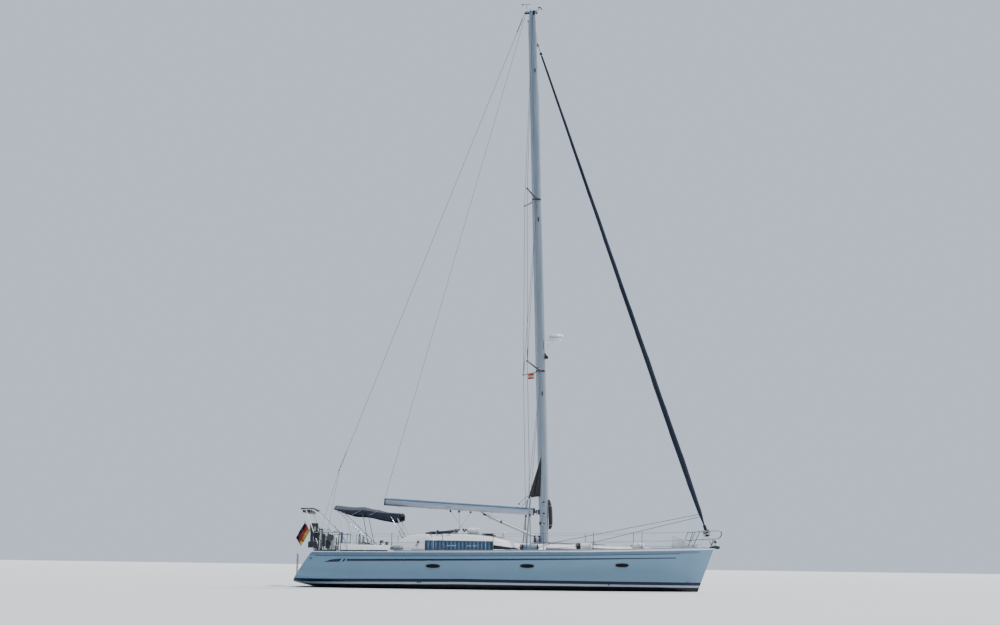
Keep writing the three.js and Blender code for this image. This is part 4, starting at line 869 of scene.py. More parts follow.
def roof_ring(x, sink=0):
    """A section of the coachroof with rounded shoulders."""
    _, base, edge, top = at_x(ROOF, x)
    foot = deck_z(x, base) - 0.01
    high = max(foot + 0.01, foot + (top - foot) - min(0.09, (top - foot) / 2) - sink)
    arch = lambda s: roof_z(x, s * edge) - sink
    wall = [vec(x, mix((base, 0, 0), (edge + 0.03, 0, 0), s).x, foot + (high - foot) * s)
        for s in (0, 0.33, 0.66)]
    start, bend, end = (edge + 0.03, high), (edge + 0.008, arch(0.97) + 0.004), (0.94 * edge, arch(0.94))
    shoulder = []
    for s in (0, 0.25, 0.5, 0.75):
        bent = mix((*start, 0), (*bend, 0), s).lerp(mix((*bend, 0), (*end, 0), s), s)
        shoulder.append(vec(x, bent.x, bent.y))
    top_line = [vec(x, s * edge, arch(s)) for s in (0.94, 0.86, 0.64, 0.43, 0.21)]
    port = [vec(x, base, foot - 0.02)] + wall + shoulder + top_line
    return port + [vec(x, 0, arch(0))] + [vec(p.x, -p.y, p.z) for p in reversed(port)]


def coachroof():
    """The roof with its rounded fore end."""
    xs = [x for a, c in zip(ROOF, ROOF[1:]) for x in spread(a[0], c[0], 6)[:-1]] + [5.15]
    rings = [roof_ring(x) for x in xs]
    for x, sink in ((5.19, 0.02), (5.215, 0.05)):
        rings.append([vec(x, p.y * (1 - sink), p.z) for p in roof_ring(5.15, sink)])
    return skin(rings)


def coaming(side):
    """The cockpit's raised side."""
    rings = []
    for x in [x for a, c in zip(COAMING, COAMING[1:]) for x in spread(a[0], c[0], 6)[:-1]] + [-2.45]:
        _, outer, inner, top = at_x(COAMING, x)
        low = deck_z(x, outer) - 0.03
        profile = [
            (inner, low), (outer, low), (outer - 0.05, low + (top - low) * 0.55),
            (outer - 0.085, top - 0.035), (outer - 0.1, top - 0.012), (outer - 0.13, top),
            (inner + 0.03, top), (inner + 0.008, top - 0.008), (inner, top - 0.03),
        ]
        rings.append([vec(x, side * y, z) for y, z in profile])
    return skin(rings)


GARAGE_X = (-2.12, -1.49)
GARAGE_TOP = roof_z(-2.12) + 0.068
SLIDE_Z = roof_z(-2.128) + 0.008


def curb(x, half):
    """A raised seat round a roof opening."""
    place = hatch_frame(x, half)
    return moved(block((-half - 0.03, -half - 0.03, -0.1), (half + 0.03, half + 0.03, 0), 0.008), place)


def make_deck():
    """Deck plate, coamings, coachroof, hatch garage, mast step and the rails of the sliding hatch."""
    b = Build()
    rows = hull_rows()
    b.add(skin([plate_ring(row) for row in rows]), "gelcoat")
    deck = b.done("deck_plate", "hull", "deck_gelcoat", "deck")
    margin = lambda c: abs(c.y) < deck_edge(c.x) - 0.098
    paint(deck, "non_skid", lambda c, n: n.z > 0.9 and margin(c) and -6.45 < c.x < 6.9)
    carve(deck, well_cutters() + [saloon_void_top(), locker_prism(1, 3)])

    b = Build().both(coaming, "gelcoat")
    b.both(lambda side: block((-3.02, side * 1.66 - 0.03, 1.55), (-2.94, side * 1.66 + 0.03, 1.62), 0.015),
        "dark_grey")
    b.done("cockpit_coamings", "hull", "deck_gelcoat", "deck")

    b = Build("gelcoat").add(coachroof())
    for _, x, half in HATCHES:
        b.add(curb(x, half))
    roof = b.done("coachroof_shell", "hull", "deck_gelcoat", "deck")
    flat = lambda c, n: n.z > 0.85 and c.z > 1.5 and c.x > -2.7 and abs(c.y) < 0.87 * at_x(ROOF, c.x)[2]
    paint(roof, "non_skid", lambda c, n: flat(c, n) and not -2.2 < c.x < -1.4)
    openings = [block(*DOORWAY), cabin_void()]
    for _, x, half in HATCHES:
        hole = block((-half + 0.03, -half + 0.03, -0.6), (half - 0.03, half - 0.03, 0.2))
        openings.append(moved(hole, hatch_frame(x, half)))
    carve(roof, openings)

    b = Build()
    z = roof_z(-2.12)
    b.add(block((GARAGE_X[0], -0.385, z - 0.06), (GARAGE_X[1], 0.385, GARAGE_TOP), 0.018, 3), "gelcoat")
    garage = b.done("hatch_garage", "hull", "deck_gelcoat", "deck")
    carve(garage, [block((-2.2, -0.367, z + 0.002), (-1.508, 0.367, z + 0.05))])

    b = Build()
    b.add(block((1.255, -0.13, 1.54), (1.635, 0.13, 1.606), 0.012), "spar")
    for side in (1, -1):
        y = side * 0.3225
        b.add(block((-2.748, y - 0.0125, 1.84), (-2.125, y + 0.0125, SLIDE_Z - 0.002), 0.003), "steel")
    b.done("mast_step_and_rails", "hull", "steel_polished", "deck")


def saloon_void_top():
    """The deck's opening under the coachroof."""
    rings = []
    for x in spread(-2.7, 4.25, 16):
        half = min(1.32, at_x(ROOF, x)[1] - 0.06, deck_edge(x) - 0.15)
        rings.append([vec(x, y, z) for y, z in ((half, 0.9), (half, 1.9), (-half, 1.9), (-half, 0.9))])
    return skin(rings)


def cabin_void():
    """The room under the coachroof, one wall thickness in."""
    rings = []
    for x in spread(-2.7, 4.25, 30):
        _, base, edge, _ = at_x(ROOF, x)
        top = lambda y: roof_z(x, y) - 0.04
        profile = [(base - 0.06, 1.2), (edge - 0.03, top(edge) - 0.05), (0.9 * edge, top(0.9 * edge))]
        profile += [(0.45 * edge, top(0.45 * edge)), (0, top(0))]
        port = [vec(x, y, z) for y, z in profile]
        rings.append(port + [vec(x, -p.y, p.z) for p in reversed(port[:-1])])
    return skin(rings)


RAIL_SECTION = [
    (-0.008, 0), (-0.008, 0.036), (-0.014, 0.048), (-0.028, 0.05), (-0.044, 0.046),
    (-0.048, 0.034), (-0.026, 0.028), (-0.024, 0.006), (-0.046, 0.004), (-0.046, 0),
]
# Spans of the aft toe rail painted black as its shade under the coaming
RAIL_SHADE_STRIPS = ((-6.54, -5.76), (-5.62, -4.79), (-4.75, -4))


def rail_loft(side, xs, section):
    """A section swept along the deck's edge."""
    return skin([
        [vec(x, side * (deck_edge(x) + out), deck_level(x) + up) for out, up in section] for x in xs
    ])


def make_toe_rails():
    """A low aluminium rail along each deck edge, with dark inlays aft and white end fittings."""
    shade_strip = [(-0.009, 0.006), (-0.005, 0.008), (-0.005, 0.044), (-0.009, 0.047)]
    for side, name in SIDES:
        b = Build().add(rail_loft(side, [row[0] for row in SHEER[4:50]], RAIL_SECTION), "spar")
        for start, end in RAIL_SHADE_STRIPS:
            # Painted shade: black strips where the aft rail lies in shadow.
            b.add(rail_loft(side, spread(start, end, 8), shade_strip), "black_plastic")
        b.add(rail_loft(side, (-3.99, -3.79), [(-0.05, 0), (-0.003, 0), (-0.003, 0.054), (-0.05, 0.054)]),
            "white_plastic")
        b.done("toe_rail_" + name + "_rail", "hull", "spar", "toe_rail_" + name)


def share(x, start, end):
    """How far x is from start to end, held between 0 and 1."""
    return max(0, min(1, (x - start) / (end - start)))


def band(x):
    """The rub band's middle and half height."""
    fore = share(x, 1, 6)
    return deck_level(x) - 0.075 - 0.035 * fore, 0.05 - 0.018 * fore


def thin_line(x):
    """The middle and half height of the line under the rub band."""
    middle, half = band(x)
    return middle - half - 0.024, 0.007


def cove(x):
    """The cove stripe's middle and half height."""
    middle = 0.938 + 0.0168 * (x + 5.36) + 0.0008 * max(0, x + 1.2) ** 2
    return middle, 0.036 - 0.02 * share(x, -3, 5)


def deck_level(x):
    return at_x(SHEER, x)[2]


COVE_MARKS = (
    [(-6.09, -0.06), (-5.6, -0.052), (-5.545, 0.052), (-5.9, 0.018)],
    [(-5.52, -0.05), (-5.45, -0.05), (-5.4, 0.048), (-5.465, 0.048)],
)
PORTLIGHTS = ((-2.444, 0.778), (0.756, 0.823), (4.066, 0.889))
THROUGH_HULLS = ((-6.5, 0.985), (-2.95, 0.225), (-2.87, 0.225), (3.62, 0.215), (6.72, 0.34))


def make_trim():
    """Rub band, thin line, cove stripe with its arrow and slash, and hull portlights."""
    b = Build("cove_navy")
    for side in (1, -1):
        # The rub band's finish is a darker blue painted as shade.
        b.add(hull_strip(side, -6.58, 6.95, band, 0.012), "rub_band")
        b.add(hull_strip(side, -6.4, 6.2, thin_line, 0.003))
        b.add(hull_strip(side, -5.37, 6.04, cove, 0.003))
        for corners in COVE_MARKS:
            b.add(hull_patch(side, [(x, cove(x)[0] + up) for x, up in corners], 0.003))
    b.done("hull_stripes", "hull", "hull_gelcoat")
    b = Build("dark_grey")
    for side in (1, -1):
        for x, z in PORTLIGHTS:
            b.add(hull_patch(side, oval(x, z, 0.245, 0.07), 0.01))
            b.add(hull_patch(side, oval(x, z, 0.225, 0.054), 0.014), "window_glass")
        for x, z in THROUGH_HULLS:
            b.add(hull_patch(side, oval(x, z, 0.026, 0.026), 0.008))
    b.done("portlights", "hull", "tinted_acrylic")


def oval(x, z, half_long, half_high):
    """A flattened oval as (x, z) points."""
    angles = circle(32)
    return [(x + half_long * cos(a), z + half_high * power(sin(a), 0.75)) for a in angles]


def hull_side(x, z, side, out=0):
    """A point on the topsides at x and z, pushed outwards."""
    row = at_x(HULL, x)
    drop = max(0, min(0.9, (row[3] - z) / (row[3] - row[4])))
    return hull_point(row, drop, side) + vec(0, side * out, 0)


def hull_strip(side, start, end, place, out):
    """A band on the topsides; place gives its middle and half height at x."""
    rings = []
    for x in spread(start, end, 64):
        middle, half = place(x)
        profile = ((-1, -0.01), (-1, out * 0.5), (-0.6, out), (0.6, out), (1, out * 0.5), (1, -0.01))
        rings.append([hull_side(x, middle + half * up, side, y) for up, y in profile])
    return skin(rings)


def hull_patch(side, corners, out):
    """A flat mark on the topsides from (x, z) corners."""
    return skin([[hull_side(x, z, side, y) for x, z in corners] for y in (-0.02, out)])


# Side windows: aft, fore, low, high, height left at the fore end
WINDOWS = [
    (-2.3, -0.9, 1.48, 1.65, 0.7), (-0.78, 0.5, 1.39, 1.56, 0.08),
    (1.45, 2.55, 1.388, 1.432, 0.8), (3.05, 4.4, 1.415, 1.462, 0.6),
]


def roof_side(x, z, side, out):
    """A point on the coachroof's side, pushed outwards."""
    _, base, edge, top = at_x(ROOF, x)
    foot = deck_z(x, base) - 0.01
    high = foot + (top - foot) - min(0.09, (top - foot) / 2)
    share = (z - foot) / (high - foot)
    return vec(x, side * (base + (edge + 0.03 - base) * share + out), z)


def make_windows():
    """Dark panes in frames along the sides of the coachroof."""
    for side, name in SIDES:
        b = Build()
        for aft, fore, low, high, left in WINDOWS:
            for grow, out, finish in ((0.014, 0.004, "dark_grey"), (0, 0.009, "window_glass")):
                rings = []
                for s in spread(0, 1, 14):
                    x = aft - grow + (fore - aft + 2 * grow) * s
                    top = low + (high - low) * (1 - (1 - left) * s) + grow
                    profile = ((low - grow, -0.02), (low - grow, out), (top, out), (top, -0.02))
                    rings.append([roof_side(x, z, side, y) for z, y in profile])
                b.add(skin(rings), finish)
        b.done("cabin_windows_" + name, "hull", "window_glass", "window_" + name)


def foil(rows):
    """A blade from rows of z, leading x, trailing x and thickness, rounded in front and sharp behind."""
    rings = []
    for z, lead, trail, thick in rows:
        chord = lead - trail
        ring = []
        for s in spread(0, 1, 18):
            c = 0.5 - 0.5 * cos(pi * s)
            y = thick * 2.6 * (0.2969 * sqrt(c) - 0.126 * c - 0.3516 * c * c
                + 0.2843 * c ** 3 - 0.1036 * c ** 4)
            ring.append((c, y))
        points = [vec(lead - chord * c, y * 1.9, z) for c, y in ring]
        points += [vec(lead - chord * c, -y * 1.9, z) for c, y in ring[-2:0:-1]]
        rings.append(points)
    return skin(rings)


def make_underwater():
    """Keel with its bulb, rudder, sail drive and propeller."""
    fin = [(-0.42, 1.15, -1.05, 0.13), (-0.8, 1.04, -0.92, 0.122), (-1.15, 0.93, -0.8, 0.115),
        (-1.8, 0.7, -0.64, 0.1)]
    b = Build("antifouling").add(foil(fin))
    rings = []
    for s in spread(0, 1, 26):
        x = 1.08 - 2.2 * s
        swell = sin(pi * s ** 0.72) ** 0.8 if 0 < s < 1 else 0
        rings.append([
            vec(x, 0.235 * swell * cos(a), -1.83 + 0.18 * swell * sin(a) - 0.02 * s)
            for a in circle(24)
        ])
    b.add(skin(rings))
    b.done("keel_and_bulb", "hull", "keel_antifouling", "keel")

    blade = [(-0.285, -5.36, -6.06, 0.048), (-0.6, -5.362, -6.035, 0.045), (-1, -5.37, -6, 0.04),
        (-1.85, -5.4, -5.86, 0.028)]
    b = Build().add(foil(blade), "antifouling")
    b.add(tube([(-5.52, 0, 0.29), (-5.52, 0, -0.4)], 0.0345, 20), "steel")
    b.done("rudder_blade", "rudder", "rudder_antifouling", "rudder")

    b = Build("drive_paint")
    leg = [(-0.43, 0.16, 0.075), (-0.6, 0.13, 0.055), (-0.8, 0.11, 0.045), (-0.96, 0.13, 0.05)]
    rings = [[vec(-2.9 + a * cos(t), c * sin(t), z) for t in circle(20)] for z, a, c in leg]
    b.add(skin(rings))
    hub = [(0, 0), (0.03, 0.002), (0.06, 0.03), (0.067, 0.1), (0.067, 0.3), (0.058, 0.42), (0.0545, 0.433),
        (0, 0.434)]
    b.add(lathe(hub), place=shift((-2.68, 0, -0.96)) @ BACK_Y)
    b.add(block((-3.05, -0.008, -1.1), (-2.78, 0.008, -0.99), 0.004))
    b.done("sail_drive_leg", "hull", "drive_leg", "sail_drive")

    b = Build()
    hub = [(0, 0), (0.045, 0.001), (0.054, 0.012), (0.054, 0.075), (0.04, 0.098), (0.018, 0.109), (0, 0.11)]
    b.add(lathe(hub), "bronze", shift((-3.115, 0, -0.96)) @ BACK_Y)
    for k in range(3):
        turn = Matrix.Rotation(2 * pi * k / 3, 4, "X")
        rings = []
        for s in spread(0, 1, 9):
            radius = 0.045 + 0.188 * s
            width = 0.055 * sqrt(max(0.02, 1 - (1.7 * s - 0.75) ** 2)) + 0.006
            pitch = atan2(0.05, radius)
            ring = []
            for u, v in ((-1, 0), (-0.5, 0.006), (0, 0.008), (0.5, 0.006), (1, 0), (0.5, -0.002),
                    (0, -0.003), (-0.5, -0.002)):
                across, thick = width * u, v * (1 - 0.6 * s)
                ring.append(vec(
                    -3.17 + across * sin(pitch) + thick * cos(pitch),
                    across * cos(pitch) - thick * sin(pitch), -0.96 + radius,
                ))
            rings.append(ring)
        blade = skin(rings)
        hub_place = shift((0, 0, -0.96))
        b.add(blade, "bronze", hub_place @ turn @ hub_place.inverted())
    b.done("propeller_blades", "propeller", "bronze", "propeller")


# Rig
def mast_ring(along, scale=1):
    """The mast's section at a height."""
    ring = []
    for a in circle(36):
        c, s = cos(a), sin(a)
        out = MAST_CHORD / 2 * scale * power(c, 0.85)
        side = MAST_WIDTH / 2 * scale * power(s, 0.85)
        ring.append(on_mast(along, out, side))
    return ring


def make_mast():
    """Mast with its track, crane, brackets, winches, cleats and deck light."""
    b = Build("track_black")
    heights = [0.002] + spread(0.3, 19, 14) + [19.6, MAST_LENGTH]
    b.add(skin([mast_ring(h, 1 if h < 19 else 1 - 0.18 * (h - 19)) for h in heights]), "spar")
    for side in (1, -1):
        y = side * 0.014
        b.add(block((-0.158, y - 0.006, 1.3), (-0.15, y + 0.006, 19.6)), place=MAST_FRAME)
    b.add(block((-0.185, -0.03, 0), (0.185, 0.03, 0.06)), "steel", MAST_FRAME)
    crane = [(-0.305, 0), (-0.3, 0.03), (-0.2, 0.05), (0.195, 0.05), (0.2, 0)]
    b.add(skin([[on_mast(20.01 + up, out, y) for out, up in crane] for y in (-0.045, 0.045)]), "spar")
    for out in (-0.27, 0.165):
        sheave = lathe([(0, -0.012), (0.036, -0.012), (0.03, -0.004), (0.03, 0.004), (0.036, 0.012),
            (0, 0.012)], 20)
        b.add(sheave, place=MAST_FRAME @ shift((out, 0, 20)) @ QUARTER_X)
    for z, gap in ((GOOSENECK_Z, 0.074), (VANG_Z, 0.047)):
        along = mast_height(z)
        for up in (-gap, gap):
            plate = block((-0.262, -0.03, along + up - 0.007), (-0.14, 0.03, along + up + 0.007), 0.003)
            b.add(plate, place=MAST_FRAME)
        b.add(block((-0.2, -0.03, along - gap), (-0.148, 0.03, along + gap), 0.004), place=MAST_FRAME)
        b.add(block((-0.168, -0.05, along - gap * 1.4), (-0.148, 0.05, along + gap * 1.4), 0.005),
            place=MAST_FRAME)
    for along in (1.05, 1.45):
        for side in (1, -1):
            place = MAST_FRAME @ shift((0, side * 0.088, along)) @ Matrix.Rotation(-side * pi / 2, 4, "X")
            b.add(winch_shape(0.055, 0.13), "steel", place)
    for along, side in ((0.75, 1), (0.75, -1), (0.62, 1), (0.62, -1)):
        cleat = tube([(0, side * 0.12, along - 0.09), (0, side * 0.125, along),
            (0, side * 0.12, along + 0.09)], [0.009, 0.013, 0.009], 8, True)
        b.add(cleat, "spar", MAST_FRAME)
        b.add(block((-0.012, min(side * 0.09, side * 0.12), along - 0.03),
            (0.012, max(side * 0.09, side * 0.12), along + 0.03), 0.004), "spar", MAST_FRAME)
    lamp = lathe([(0, 0), (0.06, 0.002), (0.066, 0.04), (0.055, 0.1), (0.03, 0.13), (0, 0.135)], 18)
    b.add(lamp, "black_plastic", MAST_FRAME @ shift((0.235, 0, 6.66)))
    b.add(block((0.14, -0.045, 6.66), (0.22, 0.045, 6.86), 0.01), "black_plastic", MAST_FRAME)
    for along in (5.3, 11.8, 17.6):
        for side in (1, -1):
            b.add(block((0.02, side * 0.088 - 0.008, along), (0.07, side * 0.088 + 0.008, along + 0.16),
                0.005), place=MAST_FRAME)
    b.done("mast_tube", "hull", "spar", "mast")


def winch_shape(radius, height):
    """A self tailing winch's profile turned round its axis."""
    r, h = radius, height
    return lathe([
        (0, 0), (r, 0), (r, 0.06 * h), (0.84 * r, 0.12 * h), (0.66 * r, 0.3 * h), (0.64 * r, 0.52 * h),
        (0.76 * r, 0.62 * h), (0.9 * r, 0.66 * h), (0.9 * r, 0.7 * h), (0.72 * r, 0.73 * h),
        (0.72 * r, 0.77 * h), (0.9 * r, 0.8 * h), (0.9 * r, 0.85 * h), (0.7 * r, 0.9 * h),
        (0.3 * r, 0.94 * h),
        (0.28 * r, h), (0.14 * r, h), (0.12 * r, 0.93 * h), (0, 0.93 * h),
    ], 28)


SPREADERS = (("lower", 6.21, 1.83, 0.15, 0.07, 17.6, 0.12), ("upper", 12.65, 1.26, 0.13, 0.06, 18.7, 0.095))


def spreader_tip(side, row):
    """Where the shroud crosses a spreader's end."""
    _, along, span, _, _, sweep, rise = row
    return on_mast(along + rise, -tan(radians(sweep)) * (span - 0.1), side * span)


def make_spreaders():
    """Two pairs of tapered arms with dark undersides, mast bands and tip ends."""
    for row in SPREADERS:
        name, along, span, root, tip, sweep, rise = row
        back = tan(radians(sweep))
        b = Build()
        for side in (1, -1):
            rings = []
            for s in spread(0, 1, 12):
                y = 0.098 + (span - 0.098) * s
                chord = root + (tip - root) * s
                thick = 0.048 - 0.02 * s
                ring = []
                for a in circle(16):
                    out = -back * (y - 0.1) + chord / 2 * cos(a)
                    ring.append(on_mast(along + rise * s + thick / 2 * sin(a), out, side * y))
                rings.append(ring)
            b.add(skin(rings), "spar")
            tip_at = spreader_tip(side, row)
            b.add(block(tip_at - vec(0.045, 0.028, 0.022), tip_at + vec(0.045, 0.02, 0.022), 0.014, 3),
                "black_plastic")
        b.add(skin([mast_ring(along - 0.034, 1.07), mast_ring(along + 0.034, 1.07)]), "track_black")
        obj = b.done("spreaders_" + name + "_pair", "hull", "spar", "spreaders_" + name)
        # Painted shade: undersides and aft faces coloured dark grey as they look in shadow.
        paint(obj, "dark_grey", lambda c, n: n.z < -0.15 or abs(n.z) < 0.5 and n.x < 0)


def turnbuckle(start, end, radius=0.013, long=0.33):
    """The rigging screw at the foot of a stay."""
    body = [(0, 0), (radius * 0.75, 0), (radius * 0.7, 0.072), (radius, 0.09), (radius, 0.2),
        (radius * 0.7, 0.215)]
    screw = lathe(body + [(radius * 0.62, long), (0, long)], 14)
    return moved(screw, frame_along(start, end))


def make_shrouds():
    """Cap and lower shrouds with their screws and covers."""
    lower, upper = SPREADERS
    for side, name in SIDES:
        plate_x, plate_y = 0.88, side * 1.96
        foot = on_deck(plate_x, plate_y, 0.02)
        low_tip, high_tip = spreader_tip(side, lower), spreader_tip(side, upper)
        head = on_mast(19.88, 0, side * 0.083)
        b = Build("wire_strand")
        b.add(tube([foot, low_tip, high_tip, head], size("wire"), 8))
        diagonal = on_mast(12.46, 0, side * 0.095)
        b.add(tube([low_tip, diagonal], size("wire"), 8))
        b.add(tube([mix(low_tip, diagonal, s) for s in (0.006, 0.012, 0.075, 0.085)],
            [0.008, 0.014, 0.014, 0.008], 10), "dark_grey")
        b.add(turnbuckle(foot, low_tip), "steel")
        b.add(block(foot - vec(0.03, 0.006, 0.03), foot + vec(0.03, 0.006, 0.035), 0.004), "steel")
        b.add(block(foot - vec(0.06, 0.035, 0.022), foot + vec(0.06, 0.035, -0.014), 0.004), "steel")
        # Painted shade: the pale shroud cover is coloured grey as it looks in shade.
        b.add(tube([mix(foot, low_tip, s) for s in (0.03, 0.036, 0.172, 0.178)],
            [0.014, 0.021, 0.021, 0.014], 12), "grey_plastic")
        b.add(tube([mix(foot, low_tip, s) for s in (0.172, 0.176, 0.186, 0.19)],
            [0.014, 0.028, 0.028, 0.014], 12), "black_plastic")
        b.done("cap_shroud_" + name + "_wire", "hull", "wire", "cap_shroud_" + name)
        foot = on_deck(0.73, side * 1.895, 0.02)
        head = on_mast(6.04, 0, side * 0.083)
        b = Build("steel")
        b.add(tube([foot, head], size("wire"), 8), "wire_strand")
        b.add(turnbuckle(foot, head))
        b.add(block(foot - vec(0.025, 0.006, 0.03), foot + vec(0.025, 0.006, 0.03), 0.004))
        # Painted shade: the pale shroud cover is coloured grey as it looks in shade.
        b.add(tube([mix(foot, head, s) for s in (0.03, 0.04, 0.285, 0.295)], [0.016, 0.03, 0.03, 0.016], 12),
            "grey_plastic")
        b.done("lower_shroud_" + name + "_wire", "hull", "wire", "lower_shroud_" + name)


SAIL_ROLL = [(0.86, 0.045), (1.5, 0.078), (3, 0.105), (6, 0.098), (11, 0.078), (16, 0.055), (19.35, 0.036)]


def make_headsail():
    """Forestay and the sail rolled round it above its drum."""
    b = Build("steel")
    b.add(tube([STAY_FOOT, STAY_HEAD], size("wire"), 8), "wire_strand")
    b.add(turnbuckle(STAY_FOOT, STAY_HEAD, 0.0155, 0.3))
    b.add(tube([mix(STAY_FOOT, STAY_HEAD, 0.99), STAY_HEAD], 0.013, 12))
    b.done("forestay_wire", "hull", "wire", "forestay")

    b = Build("spar")
    rings = []
    count = 56
    for along in spread(0.83, 19.36, 150):
        _, radius = at_x(SAIL_ROLL, along)
        radius *= min(1, 0.55 + (along - 0.83) * 1.2)
        ring = []
        for i in range(count):
            a = 2 * pi * i / count
            lap = ((a / (2 * pi) + along / 1.9) % 1)
            ripple = 0.1 * lap ** 6 + 0.035 * sin(3 * a + along * 1.3) + 0.02 * sin(7 * a - along * 2.1)
            r = radius * (0.93 + ripple)
            ring.append(STAY_FRAME @ vec(r * cos(a), r * sin(a), along))
        rings.append(ring)
    b.add(skin(rings), "sail_cover")
    b.add(tube([STAY_FRAME @ vec(0, 0, h) for h in (0.7, 0.95)], 0.024, 14))
    b.add(tube([STAY_FRAME @ vec(0, 0, h) for h in (19.3, 19.46)], 0.026, 14))
    drum = [(0.024, 0.43), (0.09, 0.43), (0.092, 0.442), (0.078, 0.452), (0.06, 0.47), (0.06, 0.6)]
    drum += [(0.078, 0.618), (0.092, 0.628), (0.09, 0.64), (0.03, 0.64), (0.028, 0.72), (0.024, 0.72),
        (0.024, 0.43)]
    b.add(lathe(drum, 32), "track_black", STAY_FRAME)
    for radius, low, high, rope in ((0.074, 0.475, 0.6, "rope_blue"), (0.118, 0.5, 0.66, "rope_blue"),
            (0.146, 0.47, 0.62, "rope_white")):
        turns = [STAY_FRAME @ vec(
            radius * cos(a), radius * sin(a), low + (high - low) * a / 32 + 0.03 * sin(1.3 * a),
        ) for a in spread(0, 32, 120)]
        b.add(tube(turns, 0.0085, 6), rope)
    b.add(tube([STAY_FRAME @ vec(0, 0, h) for h in (0.655, 0.69, 0.8, 0.86)], [0.03, 0.058, 0.058, 0.04],
        16), "dark_rubber")
    for along, radius in ((19.45, 0.054), (19.82, 0.036)):
        knob = [(0, -0.06), (radius * 0.6, -0.055), (radius, -0.02), (radius, 0.03), (radius * 0.5, 0.06),
            (0, 0.062)]
        b.add(lathe(knob, 18), "black_plastic", STAY_FRAME @ shift((0, 0, along)))
    for out in (-0.022, 0.022):
        b.add(tube([STAY_FRAME @ vec(out, 0, h) for h in (19.48, 19.8)], 0.007, 8), "dark_grey")
    b.done("furled_genoa", "furler", "sailcloth", "furled_headsail")


BACKSTAY_TOP = on_mast(20.008, -0.285)
SPLIT = vec(-5.937, 0, 4.106)


def make_backstay():
    """Backstay, its two legs and the plate between them."""
    b = Build()
    thick_end, thick_start = mix(SPLIT, BACKSTAY_TOP, 0.0037), mix(SPLIT, BACKSTAY_TOP, 0.0365)
    b.add(tube([thick_end, BACKSTAY_TOP], size("wire"), 8), "wire_strand")
    b.add(tube([thick_end, thick_start], 0.0235, 14), "spar")
    b.add(tube([mix(SPLIT, BACKSTAY_TOP, 0.955), mix(SPLIT, BACKSTAY_TOP, 0.987)], 0.016, 12), "dark_rubber")
    b.done("backstay_wire", "hull", "wire", "backstay")
    for side, name in SIDES:
        foot = vec(-6.54, side * 1.59, deck_z(-6.54, 1.59) + 0.01)
        b = Build()
        b.add(tube([foot, SPLIT + vec(0, side * 0.03, 0)], 0.0048, 8), "wire_strand")
        b.add(turnbuckle(foot, SPLIT, 0.0125, 0.28), "steel")
        b.done("backstay_leg_" + name + "_wire", "hull", "wire", "backstay_leg_" + name)
    b = Build()
    b.add(block(SPLIT + vec(-0.03, -0.044, -0.03), SPLIT + vec(0.03, 0.044, 0.03), 0.012), "steel")
    b.done("backstay_plate", "hull", "wire", "backstay")


VANG_LUG_X = -0.777
BOOM_AFT, BOOM_FORE = vec(-4.29, 0, 3.01), vec(1.075, 0, GOOSENECK_Z)


def make_boom():
    """The spar with its end castings, track, blocks and vang lugs."""
    long = (BOOM_FORE - BOOM_AFT).length
    axis = (BOOM_FORE - BOOM_AFT).normalized()
    up = vec(0, 0, 1) - axis * axis.z
    up.normalize()
    at = lambda s, y, z: BOOM_AFT + axis * s + vec(0, y, 0) + up * z
    outline = []
    for a in circle(32):
        c, s = cos(a), sin(a)
        outline.append((0.075 * power(c, 0.6), 0.132 * power(s, 0.75)))
    b = Build("track_black")
    b.add(skin([[at(s, y, z) for y, z in outline] for s in spread(0.045, long - 0.045, 12)]), "boom_paint")
    for s0, s1 in ((0, 0.055), (long - 0.055, long)):
        b.add(skin([[at(s, y * k, z * k) for y, z in outline] for s, k in ((s0, 0.94), (s0 + 0.012, 1),
            (s1 - 0.012, 1), (s1, 0.94))]))
    b.add(skin([[at(s, y, z) for y, z in ((-0.02, 0.125), (-0.02, 0.134), (0.02, 0.134), (0.02, 0.125))]
        for s in (0.2, long - 0.4)]))
    b.add(block((1.06, -0.024, GOOSENECK_Z - 0.052), (1.128, 0.024, GOOSENECK_Z + 0.052), 0.008))
    b.add(block((0.99, -0.046, 2.7), (1.108, 0.046, 2.862), 0.018, 3))
    b.add(tube([BOOM_AXIS - vec(0, 0, 0.064), BOOM_AXIS + vec(0, 0, 0.064)], 0.031, 20), "steel")
    for y in (-0.04, 0.04):
        b.add(block((VANG_LUG_X - 0.058, y - 0.0045, 2.66), (VANG_LUG_X + 0.058, y + 0.0045, 2.76), 0.004),
            "steel")
    for x in (-1.91, -1.605, -1.195, 0.79):
        base = at((x - BOOM_AFT.x) / axis.x, 0, -0.13)
        b.add(tube([base + vec(-0.03, 0, 0.005), base + vec(0, 0, -0.015), base + vec(0.03, 0, 0.005)],
            0.005, 8, True), "steel")
        b.add(pulley(base + vec(0, 0, -0.045), 0.04))
    for s in (0.14, 0.26):
        b.add(tube([at(s, -0.078, 0.02), at(s, 0.078, 0.02)], 0.012, 10), "steel")
    for y in (-0.076, 0.076):
        b.add(tube([at(2.2, y, -0.04), at(2.3, y * 1.12, -0.04), at(2.4, y, -0.04)], 0.007, 8, True))
    for s in (0.5, 1.6, 2.7, 3.8):
        b.add(tube([at(s, 0, -0.135), at(s + 0.05, 0, -0.15), at(s + 0.1, 0, -0.135)], 0.005, 6, True),
            "steel")
    boom = b.done("boom_spar", "boom", "boom_paint", "boom")
    above = lambda c: (c - BOOM_AFT).dot(up)
    # Painted shade: the boom's upper side gets the darker copy of its paint.
    paint(boom, "boom_top", lambda c, n: n.z > 0 and above(c) > 0.055 and abs(c.y) < 0.076
        and -4.24 < c.x < 1.02)


def pulley(centre, radius):
    """A block's cheeks over a sheave, as one lens shape across Y."""
    bm = lathe([(0, -0.022), (radius * 0.8, -0.02), (radius, -0.012), (radius, 0.012), (radius * 0.8, 0.02),
        (0, 0.022)], 20)
    return moved(bm, shift(centre) @ QUARTER_X)


